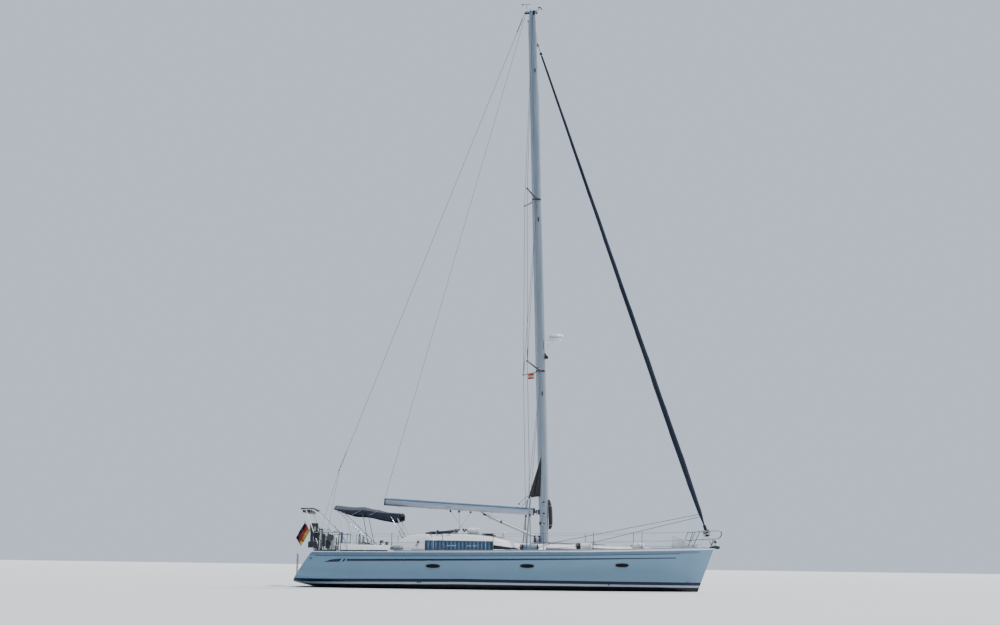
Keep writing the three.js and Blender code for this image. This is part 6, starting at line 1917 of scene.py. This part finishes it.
def make_foredeck():
    """Windlass, bow roller, cleats, tracks, grab rails, clutches and small gear on the roof."""
    b = Build()
    b.add(block((6.06, -0.08, 1.09), (6.24, 0.08, 1.2), 0.018, 3), "track_black")
    drum = [(0, 0), (0.055, 0), (0.066, 0.012), (0.05, 0.03), (0.042, 0.055), (0.05, 0.08), (0.066, 0.1),
        (0.04, 0.115), (0.018, 0.118), (0, 0.112)]
    b.add(lathe(drum, 28), "steel", shift((6.15, 0, 1.1995)))
    b.done("windlass_body", "hull", "track_black", "windlass")

    b = Build("green_paint")
    z = deck_z(7.475)
    b.add(block((7.15, -0.07, z + 0.001), (7.56, 0.07, z + 0.012), 0.003))
    for side in (1, -1):
        cheek = [(7.33, z + 0.002), (7.4, z + 0.07), (7.56, z + 0.095), (7.7, z + 0.075), (7.72, z + 0.03),
            (7.64, z - 0.03), (7.5, z + 0.002)]
        b.add(skin([[vec(x, side * y, h) for x, h in cheek] for y in (0.0602, 0.0698)]))
        b.add(tube([(7.49, side * 0.05, z + 0.115), (7.55, side * 0.066, z + 0.12),
            (7.62, side * 0.066, z + 0.09)], 0.008, 8, True), "steel")
    for x, up, radius in ((7.66, 0.02, 0.046), (7.56, 0.048, 0.029)):
        roller = lathe([(0, -0.058), (radius, -0.057), (radius, -0.046), (radius * 0.62, -0.012),
            (radius * 0.62, 0.012), (radius, 0.046), (radius, 0.057), (0, 0.058)], 26)
        b.add(roller, place=shift((x, 0, z + up)) @ QUARTER_X)
        b.add(tube([(x, -0.074, z + up), (x, 0.074, z + up)], 0.01, 12), "steel")
    b.done("bow_roller_cheeks", "hull", "green_paint", "bow_roller")

    b = Build("steel")
    for side in (1, -1):
        for x in (-5.95, 0.1, 6.72):
            b.add(cleat(rail_place(x, side, 0, 0.15), 0.14))
        for x0, x1 in ((0.15, 2.55), (-3.3, -2.82)):
            line = [on_deck(x, side * (1.52 if x > 0 else 1.86 - 0.02), 0.006) for x in spread(x0, x1, 8)]
            b.add(ribbon(line, vec(0, 0.016, 0), 0.014), "track_black")
        grab = [on_roof(x, side * 0.8 * at_x(ROOF, x)[2], up) for x, up in ((0.95, 0), (1.05, 0.055),
            (1.7, 0.06), (2.45, 0.055), (2.55, 0))]
        b.add(tube(grab, 0.0115, 10))
        grab = [on_roof(x, side * 0.78 * at_x(ROOF, x)[2], up) for x, up in ((-1.2, 0), (-1.12, 0.055),
            (-0.7, 0.055), (-0.62, 0))]
        b.add(tube(grab, 0.0115, 10))
        for k in range(4):
            y = side * (0.46 + 0.075 * k)
            b.add(block((-2, y - 0.026, roof_z(-2, y)), (-1.88, y + 0.026, roof_z(-2, y) + 0.034), 0.01),
                "black_plastic")
            b.add(block((-2.03, y - 0.018, roof_z(-2, y) + 0.028), (-1.93, y + 0.018, roof_z(-2, y) + 0.05),
                0.008), "grey_plastic")
            rope = [on_roof(x, y + 0.12 * side * (x + 1.9) / 2.6, 0.016) for x in spread(-1.88, 0.55, 14)]
            b.add(tube(rope, 0.0058, 6), "rope_white" if k % 2 else "rope_blue")
        b.add(winch_shape(0.072, 0.14), place=shift(on_roof(-2.35, side * 0.62, 0)))
    ribs = [(0, 0), (0.09, 0.004), (0.112, 0.025)]
    ribs += [(0.12 - 0.009 * (k % 2), 0.045 + 0.33 * k / 16) for k in range(17)] + [(0.112, 0.395),
        (0.09, 0.416)]
    for x, y, radius, arc in ((-2.615, -1.24, 0.115, 6.1), (-2.26, -1.22, 0.15, 3.1),
            (-1.95, -1.2, 0.12, 2.6)):
        ring = [vec(x + radius * cos(a), y, 1.72 + radius * sin(a)) for a in spread(0.1, arc, 22)]
        b.add(tube(ring, 0.008, 6), "dark_rubber")
    vent = [(0, 0), (0.085, 0), (0.065, 0.04), (0.06, 0.15), (0.075, 0.21), (0.04, 0.255), (0, 0.262)]
    b.add(lathe(vent, 20), "white_plastic", shift((-0.01, -0.6, roof_z(-0.01, 0.6))))
    for x, y, z, r, rope in ((1.06, -0.26, 1.715, 0.085, "rope_blue"),
            (1.17, -0.2, 1.72, 0.075, "rope_white"), (1.24, -0.3, 1.71, 0.08, "rope_blue"),
            (1.1, 0.24, 1.715, 0.08, "rope_blue")):
        b.add(coil_on_rail((x, y, z), r), rope)
    b.add(lathe([(0, 0), (0.055, 0), (0.04, 0.03), (0.04, 0.07), (0.055, 0.1), (0, 0.11)], 22),
        "track_black", shift((1.292, -0.05, 2.27)))
    b.add(lathe(ribs + [(0, 0.42)], 28), "white_plastic", shift((-1.31, -0.42, roof_z(-1.1, 0.4) + 0.118))
        @ QUARTER_Y)
    for x0, x1, up, finish in ((-0.76, -0.4, 0.075, "black_plastic"), (-0.385, -0.3, 0.07, "red_plastic"),
            (-0.285, 0.02, 0.05, "white_plastic")):
        z = roof_z(x0, 0.5)
        b.add(block((x0, -0.66, z - 0.02), (x1, -0.42, z + up), 0.018, 3), finish)
    b.done("deck_hardware", "hull", "track_black")


def cleat(at, long):
    """A horn cleat along the deck."""
    bar = tube([at + vec(-long, 0, 0.045), at + vec(-0.04, 0, 0.052), at + vec(0.04, 0, 0.052),
        at + vec(long, 0, 0.045)], [0.007, 0.013, 0.013, 0.007], 10, True)
    legs = block(at + vec(-0.055, -0.014, -0.002), at + vec(0.055, 0.014, 0.048), 0.01)
    return into(bar, legs)


# Loose gear
FENDERS = (
    ("aft", -3.93, -1.905, 0.46, 0.095, "fender_grey", 0, 0),
    ("waist", 0.5, -1.6, 0.69, 0.105, "fender_blue", 0.1, 0.06),
    ("fore", 2.44, -1.59, 0.6, 0.125, "fender_white", 0.14, 0),
    ("bow", 4.4, -1.135, 0.52, 0.115, "fender_white", 0, 0),
)


def fender_profile(long, radius):
    """Radius and place along a fender's skin, from its aft eye to its fore one."""
    end = [(0.03, 0.018), (0.045, 0.03), (0.72 * radius, 0.055), (0.94 * radius, 0.085), (radius, 0.12)]
    return [(0, 0.018)] + end + [(r, long - s) for r, s in reversed(end)] + [(0, long - 0.018)]


def make_fenders():
    """Four fenders on deck, with dark ends and lashings."""
    for name, aft, y, long, radius, finish, dark_aft, dark_fore in FENDERS:
        z = deck_z(aft + long / 2, y) + radius - 0.003
        place = shift((aft, y, z)) @ QUARTER_Y
        b = Build().add(lathe(fender_profile(long, radius), 32), finish, place)
        for start, end, far in ((0, 0.03, False), (0, 0.03, True), (0.03, 0.03 + dark_aft, False),
                (0.03, 0.03 + dark_fore, True)):
            if end - start < 0.01:
                continue
            flip = (lambda s: long - s) if far else (lambda s: s)
            swell = 0.034 if start == 0 else radius * 1.012
            sleeve = [(0, flip(start)), (swell * 0.75, flip(start)), (swell, flip(start + 0.012)),
                (swell, flip(end)), (0, flip(end))]
            b.add(lathe(sleeve, 28), "dark_rubber", place)
        for s in (0.16, long - 0.16):
            rib = [(radius - 0.004, s - 0.006), (radius + 0.0012, s), (radius - 0.004, s + 0.006),
                (radius - 0.004, s - 0.006)]
            b.add(lathe(rib, 32), "dark_grey", place)
        b.add(tube(sagging((aft + 0.012, y, z), rail_place(aft + 0.1, -1, 0.3), 0.05, 7), 0.0055, 6),
            "rope_white")
        slot = "fender_white" if "white" in finish else "fender_grey"
        b.done("fender_" + name + "_body", "hull", slot, "fender_" + name)


def make_gangway():
    """A folded plank lashed on edge along the guardrail."""
    x0, x1 = -2.74, -0.42
    y = -(deck_edge(-1.58) - 0.198)
    z = deck_z(-1.58, y) + 0.006
    b = Build("plank_blue")
    for up in (0, 0.3):
        b.add(block((x0, y - 0.025, z + up), (x1, y + 0.025, z + up + 0.05), 0.012, 3))
    for x in spread(x0 + 0.12, x1 - 0.12, 17):
        b.add(block((x - 0.028, y - 0.0235, z + 0.02), (x + 0.028, y + 0.02, z + 0.33), 0.006), "plank_light")
    b.add(block((x0 + 0.01, y - 0.009, z + 0.02), (x1 - 0.01, y + 0.009, z + 0.33), 0.002))
    for x in (x0, x1 - 0.05):
        b.add(block((x, y - 0.0252, z), (x + 0.05, y + 0.0252, z + 0.35), 0.012), "dark_grey")
    for x in (x0 + 0.82, x0 + 1, x0 + 1.52, x0 + 1.7):
        for dx in (-0.05, 0, 0.05):
            b.add(block((x + dx - 0.014, y - 0.0245, z + 0.165), (x + dx + 0.014, y - 0.018, z + 0.193),
                0.004), "white_plastic")
    for x in (x0 + 0.3, x1 - 0.25):
        b.add(tube([(x, y + 0.028, z + 0.3), (x, y - 0.03, z + 0.345), (x, y - 0.03, z), (x, y + 0.028, z)],
            0.006, 6, True, closed=True), "rope_white")
    b.done("gangway_boards", "hull", "gangway_plank", "gangway")


HOOD_PIPE = [
    (-2.7, 1.08, None), (-2.3, 1.09, None), (-1.9, 0.98, -0.01),
    (-1.7, 0.62, 0.044), (-1.66, 0, 0.054),
]


def make_folded_hood():
    """The sprayhood folded down round the hatch garage, lashed with straps."""
    half = []
    for x, y, over in HOOD_PIPE:
        z = roof_z(x, y) + 0.062 if over is None else GARAGE_TOP + over
        half.append(vec(x, y, z))
    line = [vec(p.x, -p.y, p.z) for p in half[:-1]] + half[::-1]
    guide = smooth_line(line, 90)
    rings = []
    for i, p in enumerate(guide):
        q = guide[min(i + 1, len(guide) - 1)] - guide[max(i - 1, 0)]
        turn = frame_along((0, 0, 0), q).to_3x3()
        end = min(1, 0.35 + 0.13 * min(i, len(guide) - 1 - i))
        strap = 1 - 0.14 * exp(-(((i % 18) - 9) / 1.3) ** 2)
        ring = []
        for a in circle(24):
            fold = 1 + 0.1 * sin(3 * a + i * 0.11) + 0.06 * sin(5 * a - i * 0.23)
            r = 0.05 * fold * end * strap
            ring.append(p + turn @ vec(r * cos(a), r * sin(a), 0))
        rings.append(ring)
    b = Build().add(skin(rings), "canvas")
    for i in range(9, len(guide), 18):
        p, q = guide[i], guide[min(i + 1, len(guide) - 1)]
        loop = [p + frame_along((0, 0, 0), q - p).to_3x3() @ vec(0.047 * cos(a), 0.047 * sin(a), 0)
            for a in circle(16)]
        b.add(tube(loop, 0.006, 6, closed=True), "webbing")
    hood = b.done("sprayhood_roll", "hull", "canvas", "sprayhood_folded", sharp=60)


def smooth_line(points, count):
    """Points on a smooth curve through a few."""
    rows = [tuple(p) for p in points]
    return [Vector(between(rows, t)) for t in spread(0, len(rows) - 1 - 1e-6, count)]


MAST_BAG = [(0.52, 0.09, 0.11), (0.64, 0.15, 0.19), (1, 0.165, 0.215), (1.35, 0.14, 0.185), (1.56, 0.08, 0.1)]


def make_mast_bag():
    """A padded bag strapped to the front of the mast."""
    rings = []
    for along in spread(0.52, 1.56, 30):
        _, deep, wide = at_x(MAST_BAG, along)
        ring = []
        for a in circle(28):
            crease = 1 - 0.035 * abs(sin(2.5 * a + 3 * along)) - 0.02 * sin(9 * along + 2 * a)
            c = max(-0.82, cos(a))
            ring.append(on_mast(along, 0.16 + deep / 2 + deep / 2 * c * crease, wide / 2 * sin(a) * crease))
        rings.append(ring)
    b = Build().add(skin(rings), "bag_cloth")
    for along in (0.66, 1.34):
        _, deep, wide = at_x(MAST_BAG, along)
        loop = [on_mast(along, 0.158 + deep / 2 * (1 + cos(a)), wide / 2 * 1.01 * sin(a)) for a in circle(24)]
        b.add(tube(loop, 0.006, 6, closed=True), "webbing")
    bag = b.done("halyard_bag", "hull", "bag_cloth", "mast_bag", sharp=60)


TRACK_X = -1.4


def make_track():
    """Mainsheet track on its feet, with a car and blocks."""
    z = roof_z(TRACK_X)
    b = Build("track_black")
    b.add(block((TRACK_X - 0.024, -0.76, z + 0.065), (TRACK_X + 0.024, 0.76, z + 0.095), 0.004))
    for side in (1, -1):
        b.add(block((-1.45, side * 0.7 - 0.035, roof_z(TRACK_X, 0.74)),
            (-1.35, side * 0.7 + 0.035, z + 0.066), 0.01), "gelcoat")
        b.add(block((-1.43, side * 0.745 - 0.014, z + 0.06), (-1.37, side * 0.745 + 0.014, z + 0.1), 0.008),
            "black_plastic")
    b.add(block((-1.44, -0.075, z + 0.092), (-1.36, 0.075, z + 0.125), 0.01, 3))
    for y in (-0.045, 0.045):
        b.add(pulley(vec(TRACK_X + y, y, z + 0.15), 0.038))
    b.done("traveller_track", "hull", "track_black", "mainsheet_track")


LADDER_X, LADDER_LOW = -7.3, 0.3


def make_ladder():
    """Boarding ladder, folded up against the transom."""
    b = Build("steel")
    for side in (1, -1):
        b.add(tube([(LADDER_X, side * 0.15, LADDER_LOW), (LADDER_X, side * 0.15, 1.125)], 0.0145, 14))
    for up in (0.14, 0.38, 0.62):
        b.add(block((LADDER_X - 0.018, -0.15, LADDER_LOW + up - 0.012),
            (LADDER_X + 0.018, 0.15, LADDER_LOW + up + 0.012), 0.006), "teak")
        b.add(tube([(LADDER_X, -0.155, LADDER_LOW + up - 0.016), (LADDER_X, 0.155, LADDER_LOW + up - 0.016)],
            0.009, 10))
    b.add(tube([(LADDER_X, -0.168, LADDER_LOW), (LADDER_X, 0.168, LADDER_LOW)], 0.009, 12))
    b.add(tube([(LADDER_X, -0.15, 1.122), (LADDER_X, 0.15, 1.122)], 0.0145, 14))
    b.done("swim_ladder_rungs", "ladder", "steel_tube", "swim_ladder")


def make_outboard():
    """A small outboard stowed on the pushpit."""
    at = vec(-6.56, -0.78, 1.865)
    b = Build()
    rings = []
    for up, k in ((0.062, 0.8), (0.075, 0.94), (0.16, 1), (0.25, 0.97), (0.305, 0.82), (0.329, 0.45)):
        ring = []
        for a in circle(28):
            c, s = cos(a), sin(a)
            ring.append(at + vec(-0.105 + 0.135 * k * power(c, 0.7), 0.109 * k * power(s, 0.7), up))
        rings.append(ring)
    b.add(skin(rings), "dark_grey")
    b.add(skin([[p + vec(0, 0, 0.001) for p in rings[1]], [p + vec(0, 0, 0.018) for p in rings[1]]]),
        "grey_plastic")
    b.done("outboard_cowl", "hull", "track_black")


# Ropes and cloth
SHEET_LEADS = ((-1.91, -1.43, 0.02), (-1.195, -1.61, -0.02), (-1.605, -1.59, 0.045))


def make_running_rigging():
    """Mainsheet, topping lift, headsail sheets, halyards and control lines."""
    axis = (BOOM_FORE - BOOM_AFT).normalized()
    track_z = roof_z(TRACK_X) + 0.15
    b = Build()
    for high_x, low_x, y in SHEET_LEADS:
        top = BOOM_AFT + axis * ((high_x - BOOM_AFT.x) / axis.x) + vec(0, y, -0.172)
        b.add(tube([top, vec(low_x, y, track_z)], size("sheet"), 6), "rope_white")
    b.add(pulley(vec(-1.6, 0.01, track_z), 0.036), "track_black")
    sheet = b.done("mainsheet", None, "wire")
    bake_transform(sheet)

    b = Build()
    for high, low in (((0.822, -0.3, 3.282), (0.525, -0.07, 3.005)),
            ((0.912, -0.3, 3.209), (0.615, -0.07, 2.905))):
        b.add(tube([Vector(high), Vector(low)], 0.007, 6), "rope_blue")
    b.add(ball(vec(0.525, -0.07, 3), 0.032), "black_plastic")
    b.done("boom_lashings", "boom", "wire")
    b = Build()
    low, high = BOOM_AFT + vec(0.02, 0, 0.14), on_mast(19.98, -0.25)
    b.add(tube([low, high], size("rope"), 6), "rope_blue")
    lift = b.done("topping_lift", None, "wire")
    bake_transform(lift)

    b = Build()
    for side, head, lead in ((-1, (6.95, -0.07, 2.72), (1.75, -1.3, 1.64)),
            (1, (6.97, 0.07, 2.63), (3.05, 1.02, 1.64))):
        b.add(tube([head, lead, on_deck(0.95, side * 1.62, 0.05), on_deck(-3.2, side * 1.82, 0.05)],
            size("sheet"), 8), "rope_blue")
    b.done("genoa_sheets", "hull", "wire")

    b = Build("rope_blue")
    for out, side, low in ((-0.165, 0.05, 1.1), (0.165, 0.05, 0.9), (0.165, -0.05, 0.9), (-0.1, -0.105, 1.4)):
        b.add(tube([on_mast(low, out, side), on_mast(19.9, out, side)], size("halyard"), 6), "rope_white")
    b.add(tube([on_mast(16.9, 0.16, 0), mix(on_mast(0.9, 0.16), on_mast(0.9, 0.3), 0.2)], size("halyard"), 6))
    for side in (0.115, -0.115):
        b.add(tube([on_mast(0.72, 0, side) + p for p in coil((0, 0, 0), 0.075, 5, 0.014,
            tilt=Matrix.Rotation(pi / 2, 3, "X"))], size("rope"), 6), "rope_white")
    b.add(tube(sagging((-6.31, -1.62, 1.26), (-6, -1.83, 1.3), 0.01), 0.006, 6))
    b.add(tube([on_roof(-2.62, -1.12, 0.03) + p for p in coil((0, 0, 0), 0.11, 4, 0.014)], 0.006, 6))
    b.done("halyards_and_coils", "hull", "wire")

    b = Build("rope_blue")
    line = [rail_place(x, 1, 0.09, 0.22) for x in spread(7, -5, 24)]
    b.add(tube(line, 0.0048, 6))
    b.add(tube([STAY_FRAME @ vec(0, -0.07, 0.53), vec(7, -0.31, 1.66), rail_place(6.5, -1, 0.1, 0.14),
        rail_place(-3.9, -1, 0.1, 0.1)], 0.0045, 6))
    b.done("control_lines", "hull", "wire")


def flag(corner, fly, hoist, wide, tall, ripple, taper=0):
    """A hanging cloth; U runs along the fly and V down the hoist, which taper narrows at its top."""
    bm = bmesh.new()
    bmesh.ops.create_grid(bm, x_segments=26, y_segments=18, size=0.5, calc_uvs=True)
    layer = bm.loops.layers.uv.verify()
    for face in bm.faces:
        for loop in face.loops:
            loop[layer].uv = (loop.vert.co.x + 0.5, 0.5 - loop.vert.co.y)
    for v in bm.verts:
        u, w = v.co.x + 0.5, 0.5 - v.co.y
        u_wide = u * (1 - taper * (1 - w))
        fold = ripple * u ** 0.6 * sin(9 * u + 2.2 * w) + 0.4 * ripple * sin(17 * u - 4 * w)
        v.co = corner + fly * (wide * u_wide) + hoist * (tall * w) + vec(0, fold, -0.04 * tall * u * u)
    return bm


STAFF_FOOT, STAFF_TOP = vec(-6.69, -0.42, 1.7), vec(-7.06, -0.42, 2.262)
FLAGS = (
    ("ensign", STAFF_TOP + vec(0.02, 0, -0.03), (-0.5, 0.03, -0.866), (0.53, 0, -0.848),
        0.6, 0.36, 0.045, 0, 1),
    ("courtesy_flag", on_mast(6.024, -0.27, -0.78), (-1, 0.05, -0.06), (0.03, 0, -1),
        0.22, 0.19, 0.02, 0, 1),
    ("black_pennant", on_mast(3.09, -0.04, -0.14), (-1, 0, -0.03), (-0.02, 0, -1),
        0.44, 1.42, 0.02, 0.94, 0.54),
)


def make_flags():
    """Ensign on its staff, courtesy flag and black pennant."""
    b = Build("white_plastic")
    b.add(tube([STAFF_FOOT, STAFF_TOP], [0.014, 0.011], 10))
    b.add(ball(STAFF_TOP, 0.02))
    b.add(tube([STAFF_FOOT + vec(0.05, 0, -0.02), (-6.38, -0.52, 1.66)], 0.01, 8), "black_plastic")
    b.add(tube([on_mast(5.95, -0.25, -0.78), on_mast(6.21, -0.25, -0.78)], 0.003, 6), "rope_white")
    b.add(tube([on_mast(1.35, -0.04, -0.14), on_mast(3.13, -0.04, -0.14)], 0.003, 6), "rope_white")
    b.done("flagstaff", "hull", "white_plastic")
    for name, corner, fly, hoist, wide, tall, ripple, taper, cut in FLAGS:
        cloth = flag(corner, Vector(fly).normalized(), Vector(hoist).normalized(), wide, tall, ripple, taper)
        obj = Build().add(cloth, name).done(name, "hull", "canvas", sharp=180)
        thick = obj.modifiers.new("thickness", "SOLIDIFY")
        thick.thickness = size("flag")


# Stage
CAMERA_AT = vec(-1.125, -50.13, 0.88)
CAMERA_YAW, CAMERA_PITCH, CAMERA_ROLL = radians(1), radians(10.26), radians(0.82)


def make_stage():
    """Floor, sky, two suns, a shade that only reflections see, and the camera."""
    floor = bpy.data.objects.new("floor", bpy.data.meshes.new("floor"))
    bm = bmesh.new()
    bmesh.ops.create_grid(bm, x_segments=2, y_segments=2, size=400)
    bm.to_mesh(floor.data)
    bm.free()
    floor.data.materials.append(FINISHES["floor"])
    bpy.context.scene.collection.objects.link(floor)
    world = bpy.data.worlds.new("studio")
    bpy.context.scene.world = world
    world.use_nodes = True
    world.node_tree.nodes["Background"].inputs["Color"].default_value = (0.74, 0.85, 1, 1)
    world.node_tree.nodes["Background"].inputs["Strength"].default_value = 0.85
    for name, energy, angle, aim, tint in (
        ("sun", 3.6, 5, (-0.4, 0.2, -0.89), (1, 0.97, 0.92)),
        ("back", 1.4, 20, (-0.45, -0.75, -0.5), (1, 0.98, 0.95)),
    ):
        light = bpy.data.lights.new(name, "SUN")
        light.energy, light.angle, light.color = energy, radians(angle), tint
        lamp = bpy.data.objects.new(name, light)
        lamp.rotation_euler = Vector(aim).to_track_quat("-Z", "Y").to_euler()
        bpy.context.scene.collection.objects.link(lamp)
    shade = bpy.data.objects.new("shade", bpy.data.meshes.new("shade"))
    bm = bmesh.new()
    bmesh.ops.create_grid(bm, x_segments=1, y_segments=1, size=140)
    moved(bm, shift((0, -56, 125)) @ QUARTER_X)
    bm.to_mesh(shade.data)
    bm.free()
    shade.data.materials.append(FINISHES["shade_cloth"])
    bpy.context.scene.collection.objects.link(shade)
    shade.visible_camera = shade.visible_shadow = False
    lens = bpy.data.cameras.new("photo")
    lens.lens, lens.sensor_width, lens.clip_end = 50, 36, 400
    camera = bpy.data.objects.new("photo", lens)
    forward = vec(sin(CAMERA_YAW), cos(CAMERA_YAW), tan(CAMERA_PITCH)).normalized()
    level = forward.cross((0, 0, 1)).normalized()
    rise = level.cross(forward)
    right = level * cos(CAMERA_ROLL) + rise * sin(CAMERA_ROLL)
    up = rise * cos(CAMERA_ROLL) - level * sin(CAMERA_ROLL)
    turn = Matrix((right, up, -forward)).transposed().to_4x4()
    camera.matrix_world = shift(CAMERA_AT) @ turn
    bpy.context.scene.collection.objects.link(camera)
    bpy.context.scene.camera = camera


# Add-on
def colour(label, text, default):
    return bpy.props.FloatVectorProperty(
        name=label, description=text, default=default, size=3, subtype="COLOR", min=0, max=1,
    )


def length(label, text, default):
    return bpy.props.FloatProperty(
        name=label, description=text, default=default, min=0.0005, max=0.1, unit="LENGTH", subtype="DISTANCE",
    )


class SloopSizes(bpy.types.PropertyGroup):
    """Sizes that many pieces share."""

    wire: length("Wire", "Radius of the shrouds and stays", 0.0066)
    line: length("Guard line", "Radius of the wires along the deck", 0.0036)
    rope: length("Rope", "Radius of coils and lashings", 0.0062)
    sheet: length("Sheet", "Radius of the sheets", 0.009)
    halyard: length("Halyard", "Radius of the halyards", 0.0042)
    rail_tube: length("Rail tube", "Radius of pulpit and pushpit tubes", 0.015)
    cloth: length("Cloth", "Thickness of the bimini's cloth", 0.003)
    flag: length("Flag", "Thickness of the flags", 0.0015)


class SloopColours(bpy.types.PropertyGroup):
    """Colours of the sloop's main finishes."""

    # Painted shade: the white gelcoat of the topsides coloured as its shaded side looks.
    topsides: colour("Topsides", "Hull above the boot stripe", (0.19, 0.32, 0.43))
    gelcoat: colour("Gelcoat", "Deck and mouldings", (0.9, 0.92, 0.95))
    non_skid: colour("Non-skid", "Walking surfaces", (0.6, 0.63, 0.65))
    stripe: colour("Stripe", "Boot and cove stripes", (0.003, 0.008, 0.045))
    # Painted shade: the white boot stripe coloured grey as it looks in shade.
    boot: colour("Boot", "Pale line under the boot stripe", (0.44, 0.52, 0.55))
    antifouling: colour("Antifouling", "Below the boot stripe", (0.01, 0.011, 0.014))
    # Painted shade: the pale mast coloured the blue-grey of its shaded side.
    spar: colour("Spar", "Mast and spreaders", (0.42, 0.48, 0.54))
    boom: colour("Boom", "Painted boom", (0.55, 0.59, 0.68))
    # Painted shade: the darker colour of the boom's upper side.
    boom_top: colour("Boom top", "The boom's upper strip", (0.1, 0.2, 0.31))
    canvas: colour("Canvas", "Bimini and sprayhood", (0.016, 0.024, 0.045))
    sail_cover: colour("Sail cover", "Strip on the furled sail", (0.006, 0.013, 0.036))
    roller: colour("Roller", "Bow roller's paint", (0.02, 0.075, 0.055))
    fender_grey: colour("Fender", "Grey fenders", (0.24, 0.28, 0.33))
    plank: colour("Gangway", "Folded gangway", (0.045, 0.1, 0.19))
    plank_light: colour("Gangway ribs", "Ribs of the folded gangway", (0.12, 0.22, 0.33))
    floor: colour("Floor", "Studio floor", (0.72, 0.73, 0.74))


def make_finishes():
    """Every finish, and those of the CAD nodes that stay in view."""
    c = bpy.context.scene.sloop_colours
    hull_finish(c)
    gelcoat_finishes(c)
    teak_finish("teak", (0.3, 0.2, 0.12), 0.055)
    underwater_finish("antifouling", c.antifouling)
    metal_finishes(c)
    cloth_finishes(c)
    rope_finish("rope_white", (0.62, 0.62, 0.6), (0.05, 0.08, 0.2))
    rope_finish("rope_blue", (0.025, 0.04, 0.085), (0.3, 0.32, 0.35))
    plain_finishes(c)
    for node, finish in NODE_FINISH.items():
        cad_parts[node].data.materials.clear()
        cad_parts[node].data.materials.append(FINISHES[finish])


def operator(make):
    """An operator that runs one of the functions above and takes its name and docstring."""
    key = make.__name__.removeprefix("make_")

    def execute(self, context):
        make()
        return {"FINISHED"}

    members = {
        "bl_idname": "sloop." + key, "bl_label": key.replace("_", " ").capitalize(),
        "__doc__": make.__doc__, "execute": execute,
    }
    return type("SLOOP_OT_" + key, (bpy.types.Operator,), members)


OPERATORS = [operator(make) for make in (
    make_finishes, make_hull, make_trim, make_underwater, make_deck, make_windows, make_toe_rails,
    make_mast, make_spreaders, make_masthead, make_shrouds, make_headsail, make_backstay,
    make_boom, make_vang, make_guardrails, make_pulpit, make_pushpit, make_arch, make_bimini,
    make_bimini_frame, make_wheels, make_pedestals, make_cockpit, make_hatches, make_locker_lid,
    make_foredeck, make_fenders, make_gangway, make_ladder, make_outboard, make_folded_hood,
    make_mast_bag, make_track, make_running_rigging, make_flags, make_stage,
)]


class SLOOP_PT_panel(bpy.types.Panel):
    """Buttons for each group of pieces, and the colours."""

    bl_label = "Sloop"
    bl_idname = "SLOOP_PT_panel"
    bl_space_type = "VIEW_3D"
    bl_region_type = "UI"
    bl_category = "Sloop"

    def draw(self, context):
        for made in OPERATORS:
            self.layout.operator(made.bl_idname)
        for group in (context.scene.sloop_sizes, context.scene.sloop_colours):
            for key in type(group).__annotations__:
                self.layout.prop(group, key)


CLASSES = [SloopSizes, SloopColours, *OPERATORS, SLOOP_PT_panel]


def register():
    for made in CLASSES:
        bpy.utils.register_class(made)
    bpy.types.Scene.sloop_sizes = bpy.props.PointerProperty(type=SloopSizes)
    bpy.types.Scene.sloop_colours = bpy.props.PointerProperty(type=SloopColours)


def unregister():
    del bpy.types.Scene.sloop_colours, bpy.types.Scene.sloop_sizes
    for made in reversed(CLASSES):
        bpy.utils.unregister_class(made)


def main():
    register()
    for made in OPERATORS:
        run = getattr(bpy.ops.sloop, made.bl_idname.split(".")[1])
        if run() != {"FINISHED"}:
            raise RuntimeError(made.bl_idname + " did not finish")
    bpy.context.view_layer.update()


if __name__ == "__main__":
    main()
